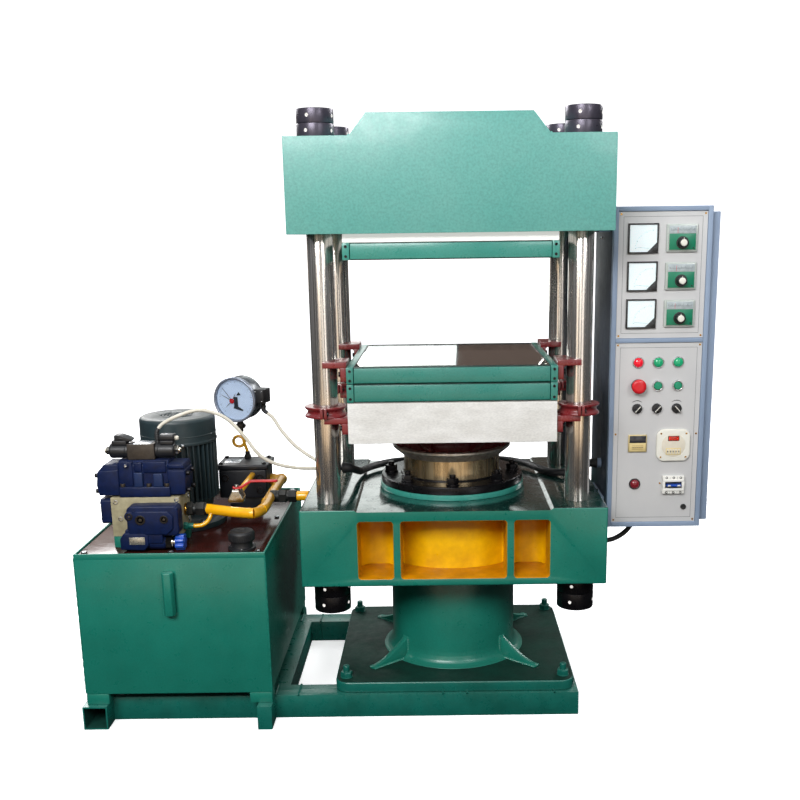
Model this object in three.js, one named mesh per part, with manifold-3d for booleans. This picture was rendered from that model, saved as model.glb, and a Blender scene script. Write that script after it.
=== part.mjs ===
// Four-column rubber vulcanizing press with two daylights, its hydraulic power unit and its control cabinet.
// Millimetres, +Z up, +X to the operator's right, +Y away from the operator.
// The origin is on the floor, under the axis of the ram.
import * as THREE from 'three';
import { mergeVertices } from 'three/addons/utils/BufferGeometryUtils.js';
import Module from 'manifold-3d';

const wasm = await Module();
wasm.setup();

// Driving dimensions

// Room left between pieces that touch, pieces that slide, and what cuts and welds run past
const gap = { seat: 0.3, slide: 0.8, cut: 5, weld: 1 };

// Sides of round shapes
const sides = { pipe: 8, bolt: 6, small: 10, knob: 12, column: 16, ring: 20, large: 30 };

// Welded floor frame of square tube
const skid = {
  tube: 65, wall: 4, halfDepth: 295, rightReach: 334, pastTank: 9, footReach: 352,
  sideFootWidth: 38, sideFootReach: 362,
};

// Anchor plate of the press
const basePlate = { halfWidth: 325.5, halfDepth: 286, thickness: 29.5, cornerRadius: 38 };
const anchor = {
  offsetX: 297, offsetY: 245, studRadius: 9, studHeight: 34, nutRadius: 17, nutHeight: 16,
};

// Round pedestal with its corner gussets
const drum = { radius: 178, wall: 12, height: 280.9, weldLeg: 8 };
const gusset = { reach: 303, height: 66, tip: 5, thickness: 12, angleDegrees: 40 };

// Lower beam with blind pockets at front and rear and a round housing for the cylinder
const lowerBeam = {
  width: 800, depth: 609, height: 208.4, recess: 6, recessPastFlange: 46, recessSlope: 10,
  glandRadius: 12, glandLength: 11,
};
const pockets = {
  sill: 20, height: 156, fromBore: 50, middleShare: 0.552, rib: 20, cornerRadius: 15, depth: 130,
};
const housing = { radius: 222 };

// Columns and their clamp nuts, set in from the sides and from the front and rear of the beams
const column = { inset: 70, frontInset: 89.5, radius: 32.5, endRadius: 30, clearLength: 696.3 };
const topNut = { radius: 46, height: 35, chamfer: 3 };
const bottomNut = { radius: 49, height: 45, chamfer: 5 };
const nutSeam = { width: 4, depth: 3 };

// Upper beam with its raised crown
const upperBeam = { height: 228.6, crownHeight: 51.2, crownFromNut: 43.25, crownSlope: 41.25 };

// Hot platens with their edge guards, which clear the columns
const platen = { depth: 520, upperThickness: 43, middleThickness: 43, lowerThickness: 47 };
const guard = { thickness: 18.2, fromColumn: 29, endPlate: 19, step: 1.6, edge: 0.6 };
const insulation = { thickness: 20.5 };

// Moving table, its guides and its seat on the ram
const table = { thickness: 107 };
const tableSeat = {
  height: 53, footRadius: 148, headRadius: 176, ribCount: 8, ribThickness: 22, ribReach: 226,
  ribFootShare: 0.3,
};
const guideArm = { halfDepth: 48, thickness: 15.5, legThickness: 16 };
const middleGuide = { aboveFace: 12, legLength: 35 };
const tableGuide = {
  belowTop: 42, legLength: 27, ringHeight: 28, ringRadius: 54, grooveDepth: 7, grooveHeight: 10,
  earHalfWidth: 9, earReach: 62,
};

// Ram with its machined head, and the cylinder it works in
const ram = {
  radius: 136, collarRadius: 140, headRadius: 167, headRim: 7, headHeight: 29, aboveGland: 55.3,
  engagedLength: 352,
};
const barrel = {
  radius: 161, floor: 26, flangeRadius: 204, flangeThickness: 14.6, sump: 20,
};
const gland = {
  radius: 201, thickness: 21.7, boltCircle: 173, boltCount: 8, boltRadius: 15, boltHeight: 16,
  washerRadius: 19, washerHeight: 4, studRadius: 9, studHeight: 10,
};

// Oil tank with its cover and fittings
const tank = {
  fromBeam: 87, width: 495, halfDepth: 337, bottom: 94, height: 391, wall: 5, rimHeight: 4, legWidth: 60,
};
const cover = { thickness: 8, sealGap: 2 };
const levelGauge = { fromLeft: 243, top: 48, width: 32, height: 116, depth: 24, flat: 18 };
const breather = {
  fromRight: 67, fromFront: 46, flangeRadius: 36, flangeHeight: 6, neckRadius: 28, capRadius: 34,
  height: 50, capHeight: 26,
};

// Vertical electric motor on its bell
const motor = {
  fromLeft: 212, fromFront: 307, flangeRadius: 120, flangeHeight: 16, bellRadius: 82, bellHeight: 62,
  finBaseRadius: 90, finRadius: 104, finCount: 22, finShare: 0.4, finHeight: 160,
  cowlRadius: 105, cowlHeight: 74, cowlDome: 8, boxWidth: 96, boxDepth: 44, boxHeight: 84,
};

// Manifold with its valves
const manifold = {
  fromLeft: 87, fromFront: 65, width: 180, depth: 107, height: 105, footHeight: 31,
  plugWidth: 29, plugHeight: 67, plugDepth: 47, plugBelowTop: 5,
};
const pilotValve = {
  overhangLeft: 42, baseInset: 6, baseHeight: 28, height: 95, endWidth: 40, endHeight: 79,
  chamfer: 12, width: 244, depth: 92, screwRadius: 6, screwHeight: 9,
};
const solenoidValve = {
  bodyWidth: 74, height: 42, depth: 46, coilRadius: 20, coilLength: 51, capRadius: 10,
  capLength: 14, plugWidth: 44, plugDepth: 32, plugHeight: 22, glandRadius: 6.5, glandHeight: 9,
  glandOnCoil: 4, fromLeft: 21,
};
const reliefValve = {
  fromLeft: 46, width: 140, depth: 50, height: 79, belowTop: 13, corner: 14, barrelRadius: 18,
  barrelLeft: 17, barrelDrop: 40, neckRadius: 9, neckLength: 12,
};
const reliefKnob = { radius: 21, length: 24, overhang: 9, lobeCount: 3, lobeShare: 0.16 };

// Block that carries the gauge, on a set-back foot and under a lid
const gaugeBlock = {
  fromRight: 53, width: 140, fromFront: 377, depth: 110, height: 149, lidHeight: 16, lidOverhang: 6,
  footHeight: 49, footInset: 24,
};
const siphon = {
  fromBlockRight: 68, fromBlockFront: 82, fittingRadius: 9.5, fittingHeight: 23, tubeRadius: 4.6,
  loopRadius: 16, riser: 60, nutRadius: 11, nutHeight: 31, loopPitch: 12, lean: 16, steps: 32,
};
const gauge = {
  radius: 65, bezelRadius: 67, depth: 68, bezelDepth: 13, dialRecess: 5, stemRadius: 7.5,
  stemLength: 4, turnDegrees: 16, boxWidth: 26, boxHeight: 42, boxDepth: 48, boxAbove: 11,
  glandRadius: 6.5, glandLength: 9,
};

// Pipes and the hand valve
const pressurePipe = {
  radius: 14, fittingRadius: 20, fittingLength: 58, elbowRadius: 17, bow: 50, elbowWidth: 30,
  runFromBlock: 32.5, inletBack: 65,
};
const feedLine = {
  teeRadius: 17, teeLength: 4, fittingRadius: 19, fittingLength: 56, pipeRadius: 14, fromTankFront: 242,
};
const handValve = {
  fromTankRight: 94, fromTankFront: 147, aboveCover: 136, width: 42, height: 36, depth: 42,
  portRadius: 9, stemRadius: 6, stemHeight: 12,
};
const lever = { hubRadius: 11, hubHeight: 5, width: 14, thickness: 5, rise: 18, riseRun: 43, length: 112 };

// Control cabinet hung on the beams
const cabinet = {
  fromBeam: 31, width: 285, depth: 275, height: 844, rise: 46.3, sheet: 3, lip: 16, front: 78,
  bracketDepth: 180, bracketSet: 30, bracketHead: 33, bracketDrop: 3, bracketGrip: 78, bracketLap: 59.4,
  glandRadius: 14, glandLength: 12,
};
const door = {
  width: 260.5, thickness: 21.6, above: 15, below: 13, border: 13, panelRecess: 4, divider: 12,
};
const meter = { fromLeft: 78, width: 80, height: 78, proud: 8, corner: 30 };
const controller = { fromLeft: 180, width: 82, height: 72, proud: 11, knobBelow: 12 };
const lamp = { radius: 14.5, proud: 12, bezelRadius: 16, bezelProud: 4 };
const controls = { firstLeft: 76, pitch: 54 };
const counter = { width: 51, height: 48, proud: 7, fromLeft: 80 };
const timer = { width: 94, height: 91, proud: 10, corner: 20, fromLeft: 178 };
const breaker = {
  fromLeft: 182, width: 60, height: 50, proud: 14, slotWidth: 46, slotHeight: 18, slotDepth: 9,
};
const doorLock = { fromLeft: 214, radius: 8, proud: 4 };

// Depths below the door's top, and the upper panel's height, as shares of the door's height
const doorShares = {
  upperPanel: 0.38073, meter: 0.09461, meterPitch: 0.11296, lamp: 0.47076, controlPitch: 0.07225,
  counter: 0.72649, timer: 0.7328, alarm: 0.85894, breaker: 0.86124, lock: 0.93578,
};

// Moving controls on the door
const shaft = { radius: 5, length: 11, clearance: 0.5 };
const stopButton = { radius: 20, neckRadius: 12, proud: 28, crown: 10, travel: 4 };
const pushButton = { radius: 10.5, proud: 10, ringRadius: 14.5, ringInner: 11.3, ringProud: 8 };
const selector = { radius: 13.5, proud: 8, barWidth: 7, barProud: 18 };
const dialKnob = { radius: 14, proud: 16, capRadius: 9, capProud: 20 };
const toggle = { width: 40, height: 10, proud: 20, pivotRadius: 3 };

// Cords: points chosen by hand along their routes
const conduit = { radius: 5 };
const harness = { radius: 10.5 };
const mainsCable = { radius: 7 };
const cordLead = 12;
const conduitRise = 18;
const harnessLead = 16;
const harnessStart = { x: -300, y: -118, z: 655 };
const harnessEnd = { y: 20, z: 628 };
const cableStart = { fromCabinetLeft: 91, y: 0 };
const cableEnd = { y: 0, z: 398 };
const conduitSpread = 5.5;

// Places worked out from the sizes above

const zSkid = skid.tube;
const zPlateBottom = zSkid + gap.seat;
const zPlateTop = zPlateBottom + basePlate.thickness;
const zDrumTop = zPlateTop + drum.height;
const zLowerBeam = zDrumTop + gap.seat;
const zLowerBeamTop = zLowerBeam + lowerBeam.height;
const zRecess = zLowerBeamTop - lowerBeam.recess;
const zUpperBeam = zLowerBeamTop + column.clearLength;
const zUpperBeamTop = zUpperBeam + upperBeam.height;
const zInsulationTop = zUpperBeam - gap.seat;
const zUpperPlatenTop = zInsulationTop - insulation.thickness - gap.seat;
const zUpperPlatenFace = zUpperPlatenTop - platen.upperThickness;
const zFlangeBottom = zRecess + gap.seat;
const zFlangeTop = zFlangeBottom + barrel.flangeThickness;
const zGland = zFlangeTop + gap.seat;
const zGlandTop = zGland + gland.thickness;
const zRamShoulder = zGlandTop + ram.aboveGland;
const zRamTop = zRamShoulder + ram.headHeight;
const zSeatBottom = zRamTop + gap.seat;
const zSeatTop = zSeatBottom + tableSeat.height;
const zTableBottom = zSeatTop + gap.seat;
const zTableTop = zTableBottom + table.thickness;
const zLowerPlatenBottom = zTableTop + gap.seat;
const zLowerPlatenTop = zLowerPlatenBottom + platen.lowerThickness;
const zMiddleBottom = zLowerPlatenTop + gap.seat;
const zMiddleTop = zMiddleBottom + platen.middleThickness;
const zRamBottom = zRamShoulder - ram.engagedLength;
const zBoreFloor = zRamBottom - barrel.sump;
const columnX = lowerBeam.width / 2 - column.inset;
const columnY = lowerBeam.depth / 2 - column.frontInset;
const guardHalfWidth = columnX - column.radius - guard.fromColumn;
const guardHalfDepth = platen.depth / 2 + gap.seat + guard.thickness;
const platenHalfWidth = guardHalfWidth - guard.thickness - gap.seat;

const tankRight = -lowerBeam.width / 2 - tank.fromBeam;
const tankLeft = tankRight - tank.width;
const tankTop = tank.bottom + tank.height;
const zCover = tankTop - tank.rimHeight;
const zOnCover = zCover + gap.seat;
const blockRight = tankRight - gaugeBlock.fromRight;
const blockLeft = blockRight - gaugeBlock.width;
const blockFront = -tank.halfDepth + gaugeBlock.fromFront;
const zBlockTop = zOnCover + gaugeBlock.height;
const manifoldLeft = tankLeft + manifold.fromLeft;
const manifoldRight = manifoldLeft + manifold.width;
const manifoldFront = -tank.halfDepth + manifold.fromFront;
const zManifoldTop = zOnCover + manifold.footHeight + manifold.height;
const zPilot = zManifoldTop + gap.seat;
const pilotLeft = manifoldLeft - pilotValve.overhangLeft;
const pilotCentre = manifoldFront + pilotValve.depth / 2;
const zSolenoid = zPilot + pilotValve.height + gap.seat;
const solenoidLeft = pilotLeft + solenoidValve.fromLeft;
const solenoidSpan = solenoidValve.bodyWidth + 2 * solenoidValve.coilLength + 2 * solenoidValve.capLength;
const siphonX = blockRight - siphon.fromBlockRight;
const siphonY = blockFront + siphon.fromBlockFront;
const gaugeX = siphonX - siphon.lean;
const zSiphonTop = zBlockTop + gap.seat + siphon.fittingHeight + siphon.riser + siphon.nutHeight;
const zGaugeStem = zSiphonTop + gap.seat;
const zGaugeCentre = zGaugeStem + gauge.stemLength + gauge.radius - gap.weld;
const zPipes = zLowerBeamTop - feedLine.pipeRadius;
const pipeRunX = blockRight + pressurePipe.runFromBlock;
const feedY = -tank.halfDepth + feedLine.fromTankFront;

const cabinetLeft = lowerBeam.width / 2 + cabinet.fromBeam;
const cabinetTop = zUpperBeam + cabinet.rise;
const cabinetBottom = cabinetTop - cabinet.height;
const cableStartX = cabinetLeft + cableStart.fromCabinetLeft;
const doorBack = -cabinet.front - gap.seat;
const doorFront = doorBack - door.thickness;
const panelFace = doorFront + door.panelRecess;
const doorTop = cabinetTop + door.above;
const doorHeight = door.above + cabinet.height + door.below;
const doorLeft = cabinetLeft;

// Finishes

function finish(color, roughness, metalness) {
  return new THREE.MeshStandardMaterial({ color, roughness, metalness });
}

const enamel = finish(0x1f6f5c, 0.35, 0.1);
const lightEnamel = finish(0x57a892, 0.35, 0.1);
const chrome = finish(0xc9c5be, 0.15, 1);
const blackOxide = finish(0x17181a, 0.4, 0.6);
const yellowEnamel = finish(0xe0a010, 0.4, 0.1);
const groundSteel = finish(0xb9babb, 0.2, 1);
const redEnamel = finish(0x8c1d22, 0.4, 0.1);
const whiteBoard = finish(0xe4e2dc, 0.8, 0);
const castGrey = finish(0x8d8b83, 0.6, 0.2);
const navyEnamel = finish(0x1b2a52, 0.45, 0.1);
const motorEnamel = finish(0x22343a, 0.5, 0.1);
const coverRed = finish(0x4a211e, 0.6, 0.1);
const blackPlastic = finish(0x141516, 0.5, 0);
const brightBlue = finish(0x1f4fb0, 0.35, 0);
const signalRed = finish(0xd0202c, 0.35, 0);
const buttonGreen = finish(0x0f8f5c, 0.35, 0);
const cabinetBlue = finish(0x7e93ad, 0.45, 0.1);
const conduitCream = finish(0xd8d0c0, 0.5, 0);
const ivoryPlastic = finish(0xe8e6dd, 0.5, 0);

// Shape helpers

// A closed solid from a three.js geometry, ready to be joined and cut
function solid(geometry) {
  const bare = geometry.clone();
  bare.deleteAttribute('normal');
  bare.deleteAttribute('uv');
  const merged = mergeVertices(bare);
  return new wasm.Manifold(new wasm.Mesh({
    numProp: 3,
    vertProperties: merged.attributes.position.array,
    triVerts: new Uint32Array(merged.index.array),
  }));
}

// The geometry of a joined or cut solid
function surface(body) {
  const data = body.getMesh();
  const geometry = new THREE.BufferGeometry();
  geometry.setAttribute('position', new THREE.BufferAttribute(data.vertProperties, 3));
  geometry.setIndex(new THREE.BufferAttribute(data.triVerts, 1));
  geometry.computeVertexNormals();
  return geometry;
}

function join(...geometries) {
  return surface(geometries.map(solid).reduce((sum, next) => sum.add(next)));
}

function cut(base, ...tools) {
  return surface(tools.map(solid).reduce((rest, tool) => rest.subtract(tool), solid(base)));
}

// A box between two limits on each axis
function slab(x0, x1, y0, y1, z0, z1) {
  const box = new THREE.BoxGeometry(Math.abs(x1 - x0), Math.abs(y1 - y0), Math.abs(z1 - z0));
  return box.translate((x0 + x1) / 2, (y0 + y1) / 2, (z0 + z1) / 2);
}

// A turned piece: radius and height pairs, upright on the axis at x, y
function turned(profile, x, y, count) {
  const points = profile.map(([r, z]) => new THREE.Vector2(r, z));
  return new THREE.LatheGeometry(points, count).rotateX(Math.PI / 2).translate(x, y, 0);
}

function rod(radius, z0, z1, x, y, count) {
  return turned([[0, z0], [radius, z0], [radius, z1], [0, z1]], x, y, count);
}

// A turned piece that stands out of a vertical panel: radius and distance from the panel
function knob(profile, x, face, z, count) {
  const points = profile.map(([r, d]) => new THREE.Vector2(r, d));
  return new THREE.LatheGeometry(points, count).rotateX(Math.PI).translate(x, face, z);
}

// A turned piece along X: radius and x pairs
function turnedAlongX(profile, y, z, count) {
  const points = profile.map(([r, x]) => new THREE.Vector2(r, x));
  return new THREE.LatheGeometry(points, count).rotateZ(-Math.PI / 2).translate(0, y, z);
}

function rodAlongX(radius, x0, x1, y, z, count) {
  return turnedAlongX([[0, x0], [radius, x0], [radius, x1], [0, x1]], y, z, count);
}

function rodAlongY(radius, y0, y1, x, z, count) {
  return knob([[0, -y1], [radius, -y1], [radius, -y0], [0, -y0]], x, 0, z, count);
}

// An outline in plan, extruded upwards
function extrudeUp(shape, z0, z1) {
  const options = { depth: z1 - z0, bevelEnabled: false, curveSegments: 3 };
  return new THREE.ExtrudeGeometry(shape, options).translate(0, 0, z0);
}

// An outline in X and Z, extruded along Y
function extrudeAlongY(shape, y0, y1) {
  const options = { depth: y1 - y0, bevelEnabled: false, curveSegments: 3 };
  return new THREE.ExtrudeGeometry(shape, options).rotateX(Math.PI / 2).translate(0, y1, 0);
}

// An outline in Y and Z, extruded along X
function extrudeAlongX(shape, x0, x1) {
  const options = { depth: x1 - x0, bevelEnabled: false, curveSegments: 3 };
  const body = new THREE.ExtrudeGeometry(shape, options);
  return body.rotateX(Math.PI / 2).rotateZ(Math.PI / 2).translate(x0, 0, 0);
}

function outline(points) {
  return new THREE.Shape(points.map(([a, b]) => new THREE.Vector2(a, b)));
}

function roundedOutline(x0, x1, y0, y1, radius) {
  const shape = new THREE.Shape();
  shape.moveTo(x0 + radius, y0);
  shape.lineTo(x1 - radius, y0);
  shape.absarc(x1 - radius, y0 + radius, radius, -Math.PI / 2, 0, false);
  shape.lineTo(x1, y1 - radius);
  shape.absarc(x1 - radius, y1 - radius, radius, 0, Math.PI / 2, false);
  shape.lineTo(x0 + radius, y1);
  shape.absarc(x0 + radius, y1 - radius, radius, Math.PI / 2, Math.PI, false);
  shape.lineTo(x0, y0 + radius);
  shape.absarc(x0 + radius, y0 + radius, radius, Math.PI, 1.5 * Math.PI, false);
  return shape;
}

// A box outline with its four corners cut off
function chamferedOutline(a0, a1, b0, b1, chamfer) {
  return outline([
    [a0 + chamfer, b0], [a1 - chamfer, b0], [a1, b0 + chamfer], [a1, b1 - chamfer],
    [a1 - chamfer, b1], [a0 + chamfer, b1], [a0, b1 - chamfer], [a0, b0 + chamfer],
  ]);
}

// A round tube along a smooth curve through points
function tubeAlong(points, radius, count, steps) {
  const path = new THREE.CatmullRomCurve3(points.map((p) => new THREE.Vector3(...p)), false, 'centripetal');
  const section = new THREE.Shape();
  section.absarc(0, 0, radius, 0, 2 * Math.PI, false);
  const ring = section.getSpacedPoints(count).slice(0, count);
  return new THREE.ExtrudeGeometry(new THREE.Shape(ring), { steps, bevelEnabled: false, extrudePath: path });
}

const press = new THREE.Group();

function add(name, geometry, material, parent = press) {
  const mesh = new THREE.Mesh(geometry, material);
  mesh.name = name;
  parent.add(mesh);
  return mesh;
}

// Floor frame and pedestal

function skidFrame() {
  const rearRail = skid.halfDepth - skid.tube;
  const left = tankLeft - skid.pastTank;
  const leftInner = left + skid.tube;
  const members = [
    slab(leftInner - gap.weld, skid.rightReach, -skid.halfDepth, -rearRail, 0, zSkid),
    slab(leftInner - gap.weld, skid.rightReach, rearRail, skid.halfDepth, 0, zSkid),
    slab(left, leftInner, -skid.footReach, skid.footReach, 0, zSkid),
  ];
  for (const centre of [tankRight, 0, skid.rightReach - skid.tube / 2]) {
    const half = skid.tube / 2;
    const reach = rearRail + gap.weld;
    members.push(slab(centre - half, centre + half, -reach, reach, 0, zSkid));
  }
  const footLeft = tankRight - skid.sideFootWidth;
  for (const side of [-1, 1]) {
    const inner = side * (skid.halfDepth - gap.weld);
    members.push(slab(footLeft, tankRight, inner, side * skid.sideFootReach, 0, zSkid));
  }
  const end = skid.footReach + gap.cut;
  const bore = slab(
    left + skid.wall, leftInner - skid.wall, -end, end, skid.wall, zSkid - skid.wall,
  );
  return cut(join(...members), bore);
}

function gussetPlate(angle) {
  const inner = drum.radius - drum.wall / 2;
  const foot = zPlateTop - gap.weld;
  const web = outline([
    [inner, foot], [gusset.reach, foot], [gusset.reach, zPlateTop + gusset.tip],
    [drum.radius, zPlateTop + gusset.height], [inner, zPlateTop + gusset.height],
  ]);
  return extrudeAlongY(web, -gusset.thickness / 2, gusset.thickness / 2).rotateZ(angle);
}

function pedestalBody() {
  const plate = extrudeUp(roundedOutline(
    -basePlate.halfWidth, basePlate.halfWidth, -basePlate.halfDepth, basePlate.halfDepth,
    basePlate.cornerRadius,
  ), zPlateBottom, zPlateTop);
  const inner = drum.radius - drum.wall;
  const shell = turned([
    [inner, zPlateTop - gap.weld], [drum.radius + drum.weldLeg, zPlateTop - gap.weld],
    [drum.radius + drum.weldLeg, zPlateTop], [drum.radius, zPlateTop + drum.weldLeg],
    [drum.radius, zDrumTop], [inner, zDrumTop], [inner, zPlateTop - gap.weld],
  ], 0, 0, sides.large);
  const pieces = [plate, shell];
  const angle = THREE.MathUtils.degToRad(gusset.angleDegrees);
  for (const turn of [angle, Math.PI - angle, Math.PI + angle, -angle]) pieces.push(gussetPlate(turn));
  for (const sx of [-1, 1]) {
    for (const sy of [-1, 1]) {
      const x = sx * anchor.offsetX;
      const y = sy * anchor.offsetY;
      const foot = zPlateTop - gap.weld;
      pieces.push(turned([
        [0, foot], [anchor.nutRadius, foot], [anchor.nutRadius, zPlateTop + anchor.nutHeight],
        [anchor.studRadius, zPlateTop + anchor.nutHeight],
        [anchor.studRadius, zPlateTop + anchor.studHeight], [0, zPlateTop + anchor.studHeight],
      ], x, y, sides.bolt));
    }
  }
  return join(...pieces);
}

// Lower beam: three pockets in the front face and three in the rear face, stopped by the round housing

function pocketCutters(side) {
  const z0 = zLowerBeam + pockets.sill;
  const z1 = z0 + pockets.height;
  const face = side * (lowerBeam.depth / 2 + gap.cut);
  const wall = side * (lowerBeam.depth / 2 - pockets.depth);
  const end = columnX - column.endRadius - pockets.fromBore;
  const half = end * pockets.middleShare;
  const spans = [[-end, -half - pockets.rib], [-half, half], [half + pockets.rib, end]];
  return spans.map(([x0, x1]) => extrudeAlongY(
    roundedOutline(x0, x1, z0, z1, pockets.cornerRadius), Math.min(face, wall), Math.max(face, wall),
  ));
}

function columnHoles(z0, z1) {
  const holes = [];
  for (const sx of [-1, 1]) {
    for (const sy of [-1, 1]) {
      const radius = column.endRadius + gap.seat;
      holes.push(rod(radius, z0 - gap.cut, z1 + gap.cut, sx * columnX, sy * columnY, sides.column));
    }
  }
  return holes;
}

function lowerBeamBody() {
  const halfWidth = lowerBeam.width / 2;
  const halfDepth = lowerBeam.depth / 2;
  const body = slab(-halfWidth, halfWidth, -halfDepth, halfDepth, zLowerBeam, zLowerBeamTop);
  const over = zLowerBeamTop + gap.cut;
  const foot = barrel.flangeRadius + lowerBeam.recessPastFlange;
  const head = foot + lowerBeam.recessSlope * (1 + gap.cut / lowerBeam.recess);
  const recess = extrudeAlongY(
    outline([[-foot, zRecess], [foot, zRecess], [head, over], [-head, over]]),
    -halfDepth - gap.cut, halfDepth + gap.cut,
  );
  const radius = barrel.radius + gap.seat;
  const well = rod(radius, zLowerBeam - gap.cut, over, 0, 0, sides.large);
  const glandEnd = halfWidth + lowerBeam.glandLength;
  const outlet = rodAlongX(
    lowerBeam.glandRadius, halfWidth - gap.weld, glandEnd, cableEnd.y, cableEnd.z, sides.small,
  );
  const core = rod(housing.radius, zLowerBeam + gap.weld, zRecess - gap.weld, 0, 0, sides.large);
  const hollowed = cut(body, recess, ...pocketCutters(-1), ...pocketCutters(1));
  const drilled = cut(join(hollowed, core), well, ...columnHoles(zLowerBeam, zLowerBeamTop));
  return join(drilled, outlet);
}

// Cylinder, gland and ram

function cylinderBarrel() {
  const bore = ram.radius + gap.slide;
  return turned([
    [0, zBoreFloor - barrel.floor], [barrel.radius, zBoreFloor - barrel.floor],
    [barrel.radius, zFlangeBottom], [barrel.flangeRadius, zFlangeBottom],
    [barrel.flangeRadius, zFlangeTop], [bore, zFlangeTop], [bore, zBoreFloor], [0, zBoreFloor],
  ], 0, 0, sides.large);
}

function glandRing() {
  const bore = ram.radius + gap.slide;
  const ring = turned([
    [bore, zGland], [gland.radius, zGland], [gland.radius, zGlandTop], [bore, zGlandTop], [bore, zGland],
  ], 0, 0, sides.large);
  const pieces = [ring];
  for (let i = 0; i < gland.boltCount; i += 1) {
    const angle = (2 * Math.PI * i) / gland.boltCount;
    const x = gland.boltCircle * Math.cos(angle);
    const y = gland.boltCircle * Math.sin(angle);
    const foot = zGlandTop - gap.weld;
    const head = zGlandTop + gland.washerHeight + gland.boltHeight;
    pieces.push(turned([
      [0, foot], [gland.washerRadius, foot], [gland.washerRadius, zGlandTop + gland.washerHeight],
      [gland.boltRadius, zGlandTop + gland.washerHeight], [gland.boltRadius, head],
      [gland.studRadius, head], [gland.studRadius, head + gland.studHeight],
      [0, head + gland.studHeight],
    ], x, y, sides.bolt));
  }
  return join(...pieces);
}

function ramBody() {
  const rim = zRamTop - ram.headRim;
  return turned([
    [0, zRamBottom], [ram.radius, zRamBottom], [ram.radius, zRamShoulder],
    [ram.collarRadius, zRamShoulder], [ram.headRadius, rim], [ram.headRadius, zRamTop], [0, zRamTop],
  ], 0, 0, sides.large);
}

// Columns with their paired clamp nuts

// Outer profile of two stacked round nuts, from their lower face to their upper face
function nutPair(size, z0, z1) {
  const seam = (z0 + z1) / 2;
  return [
    [size.radius - size.chamfer, z0], [size.radius, z0 + size.chamfer],
    [size.radius, seam - nutSeam.width / 2], [size.radius - nutSeam.depth, seam],
    [size.radius, seam + nutSeam.width / 2], [size.radius, z1 - size.chamfer],
    [size.radius - size.chamfer, z1],
  ];
}

function columnBody(x, y) {
  const lowFace = zLowerBeam - gap.seat;
  const highFace = zUpperBeamTop + gap.seat;
  const foot = lowFace - 2 * bottomNut.height;
  const head = highFace + 2 * topNut.height;
  return turned([
    [0, foot],
    ...nutPair(bottomNut, foot, lowFace),
    [column.endRadius, lowFace], [column.endRadius, zLowerBeamTop + gap.seat],
    [column.radius, zLowerBeamTop + gap.seat], [column.radius, zUpperBeam - gap.seat],
    [column.endRadius, zUpperBeam - gap.seat], [column.endRadius, highFace],
    ...nutPair(topNut, highFace, head),
    [0, head],
  ], x, y, sides.column);
}

// Upper beam with its crown, and what hangs under it

function upperBeamBody() {
  const halfWidth = lowerBeam.width / 2;
  const halfDepth = lowerBeam.depth / 2;
  const body = slab(-halfWidth, halfWidth, -halfDepth, halfDepth, zUpperBeam, zUpperBeamTop);
  const foot = columnX - topNut.radius - upperBeam.crownFromNut;
  const head = foot - upperBeam.crownSlope;
  const crownTop = zUpperBeamTop + upperBeam.crownHeight;
  const crown = extrudeAlongY(outline([
    [-foot, zUpperBeamTop - gap.weld], [foot, zUpperBeamTop - gap.weld],
    [foot, zUpperBeamTop], [head, crownTop], [-head, crownTop], [-foot, zUpperBeamTop],
  ]), -halfDepth, halfDepth);
  return cut(join(body, crown), ...columnHoles(zUpperBeam, zUpperBeamTop));
}

function insulationBoard() {
  return slab(
    -guardHalfWidth, guardHalfWidth, -guardHalfDepth, guardHalfDepth,
    zInsulationTop - insulation.thickness, zInsulationTop,
  );
}

function platenBody(z0, z1) {
  return slab(-platenHalfWidth, platenHalfWidth, -platen.depth / 2, platen.depth / 2, z0, z1);
}

// Edge guard: a frame round a platen, its front and rear strips set back between end plates
function guardFrame(z0, z1) {
  const low = z0 + guard.edge;
  const high = z1 - guard.edge;
  const outer = slab(-guardHalfWidth, guardHalfWidth, -guardHalfDepth, guardHalfDepth, low, high);
  const innerX = guardHalfWidth - guard.thickness;
  const innerY = guardHalfDepth - guard.thickness;
  const under = low - gap.cut;
  const over = high + gap.cut;
  const hole = slab(-innerX, innerX, -innerY, innerY, under, over);
  const strip = guardHalfWidth - guard.endPlate;
  const steps = [-1, 1].map((side) => slab(
    -strip, strip, side * (guardHalfDepth - guard.step), side * (guardHalfDepth + gap.cut), under, over,
  ));
  return cut(outer, hole, ...steps);
}

// Guides that run on the columns

// A flat arm with a leg against the platen side and a half round notch at the column
function guideBracket(sx, sy, zArm, legLength) {
  const x = sx * columnX;
  const y = sy * columnY;
  const root = sx * (guardHalfWidth + gap.seat);
  const zTop = zArm + guideArm.thickness;
  const arm = slab(root, x, y - guideArm.halfDepth, y + guideArm.halfDepth, zArm, zTop);
  const leg = slab(
    root, root + sx * guideArm.legThickness, y - guideArm.halfDepth, y + guideArm.halfDepth,
    zArm - legLength, zArm + gap.weld,
  );
  const notch = rod(column.radius + gap.slide, zArm - gap.cut, zTop + gap.cut, x, y, sides.ring);
  return cut(join(arm, leg), notch);
}

function middleGuideBody(sx, sy) {
  const zArm = zMiddleTop + middleGuide.aboveFace - guideArm.thickness;
  return guideBracket(sx, sy, zArm, middleGuide.legLength);
}

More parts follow.
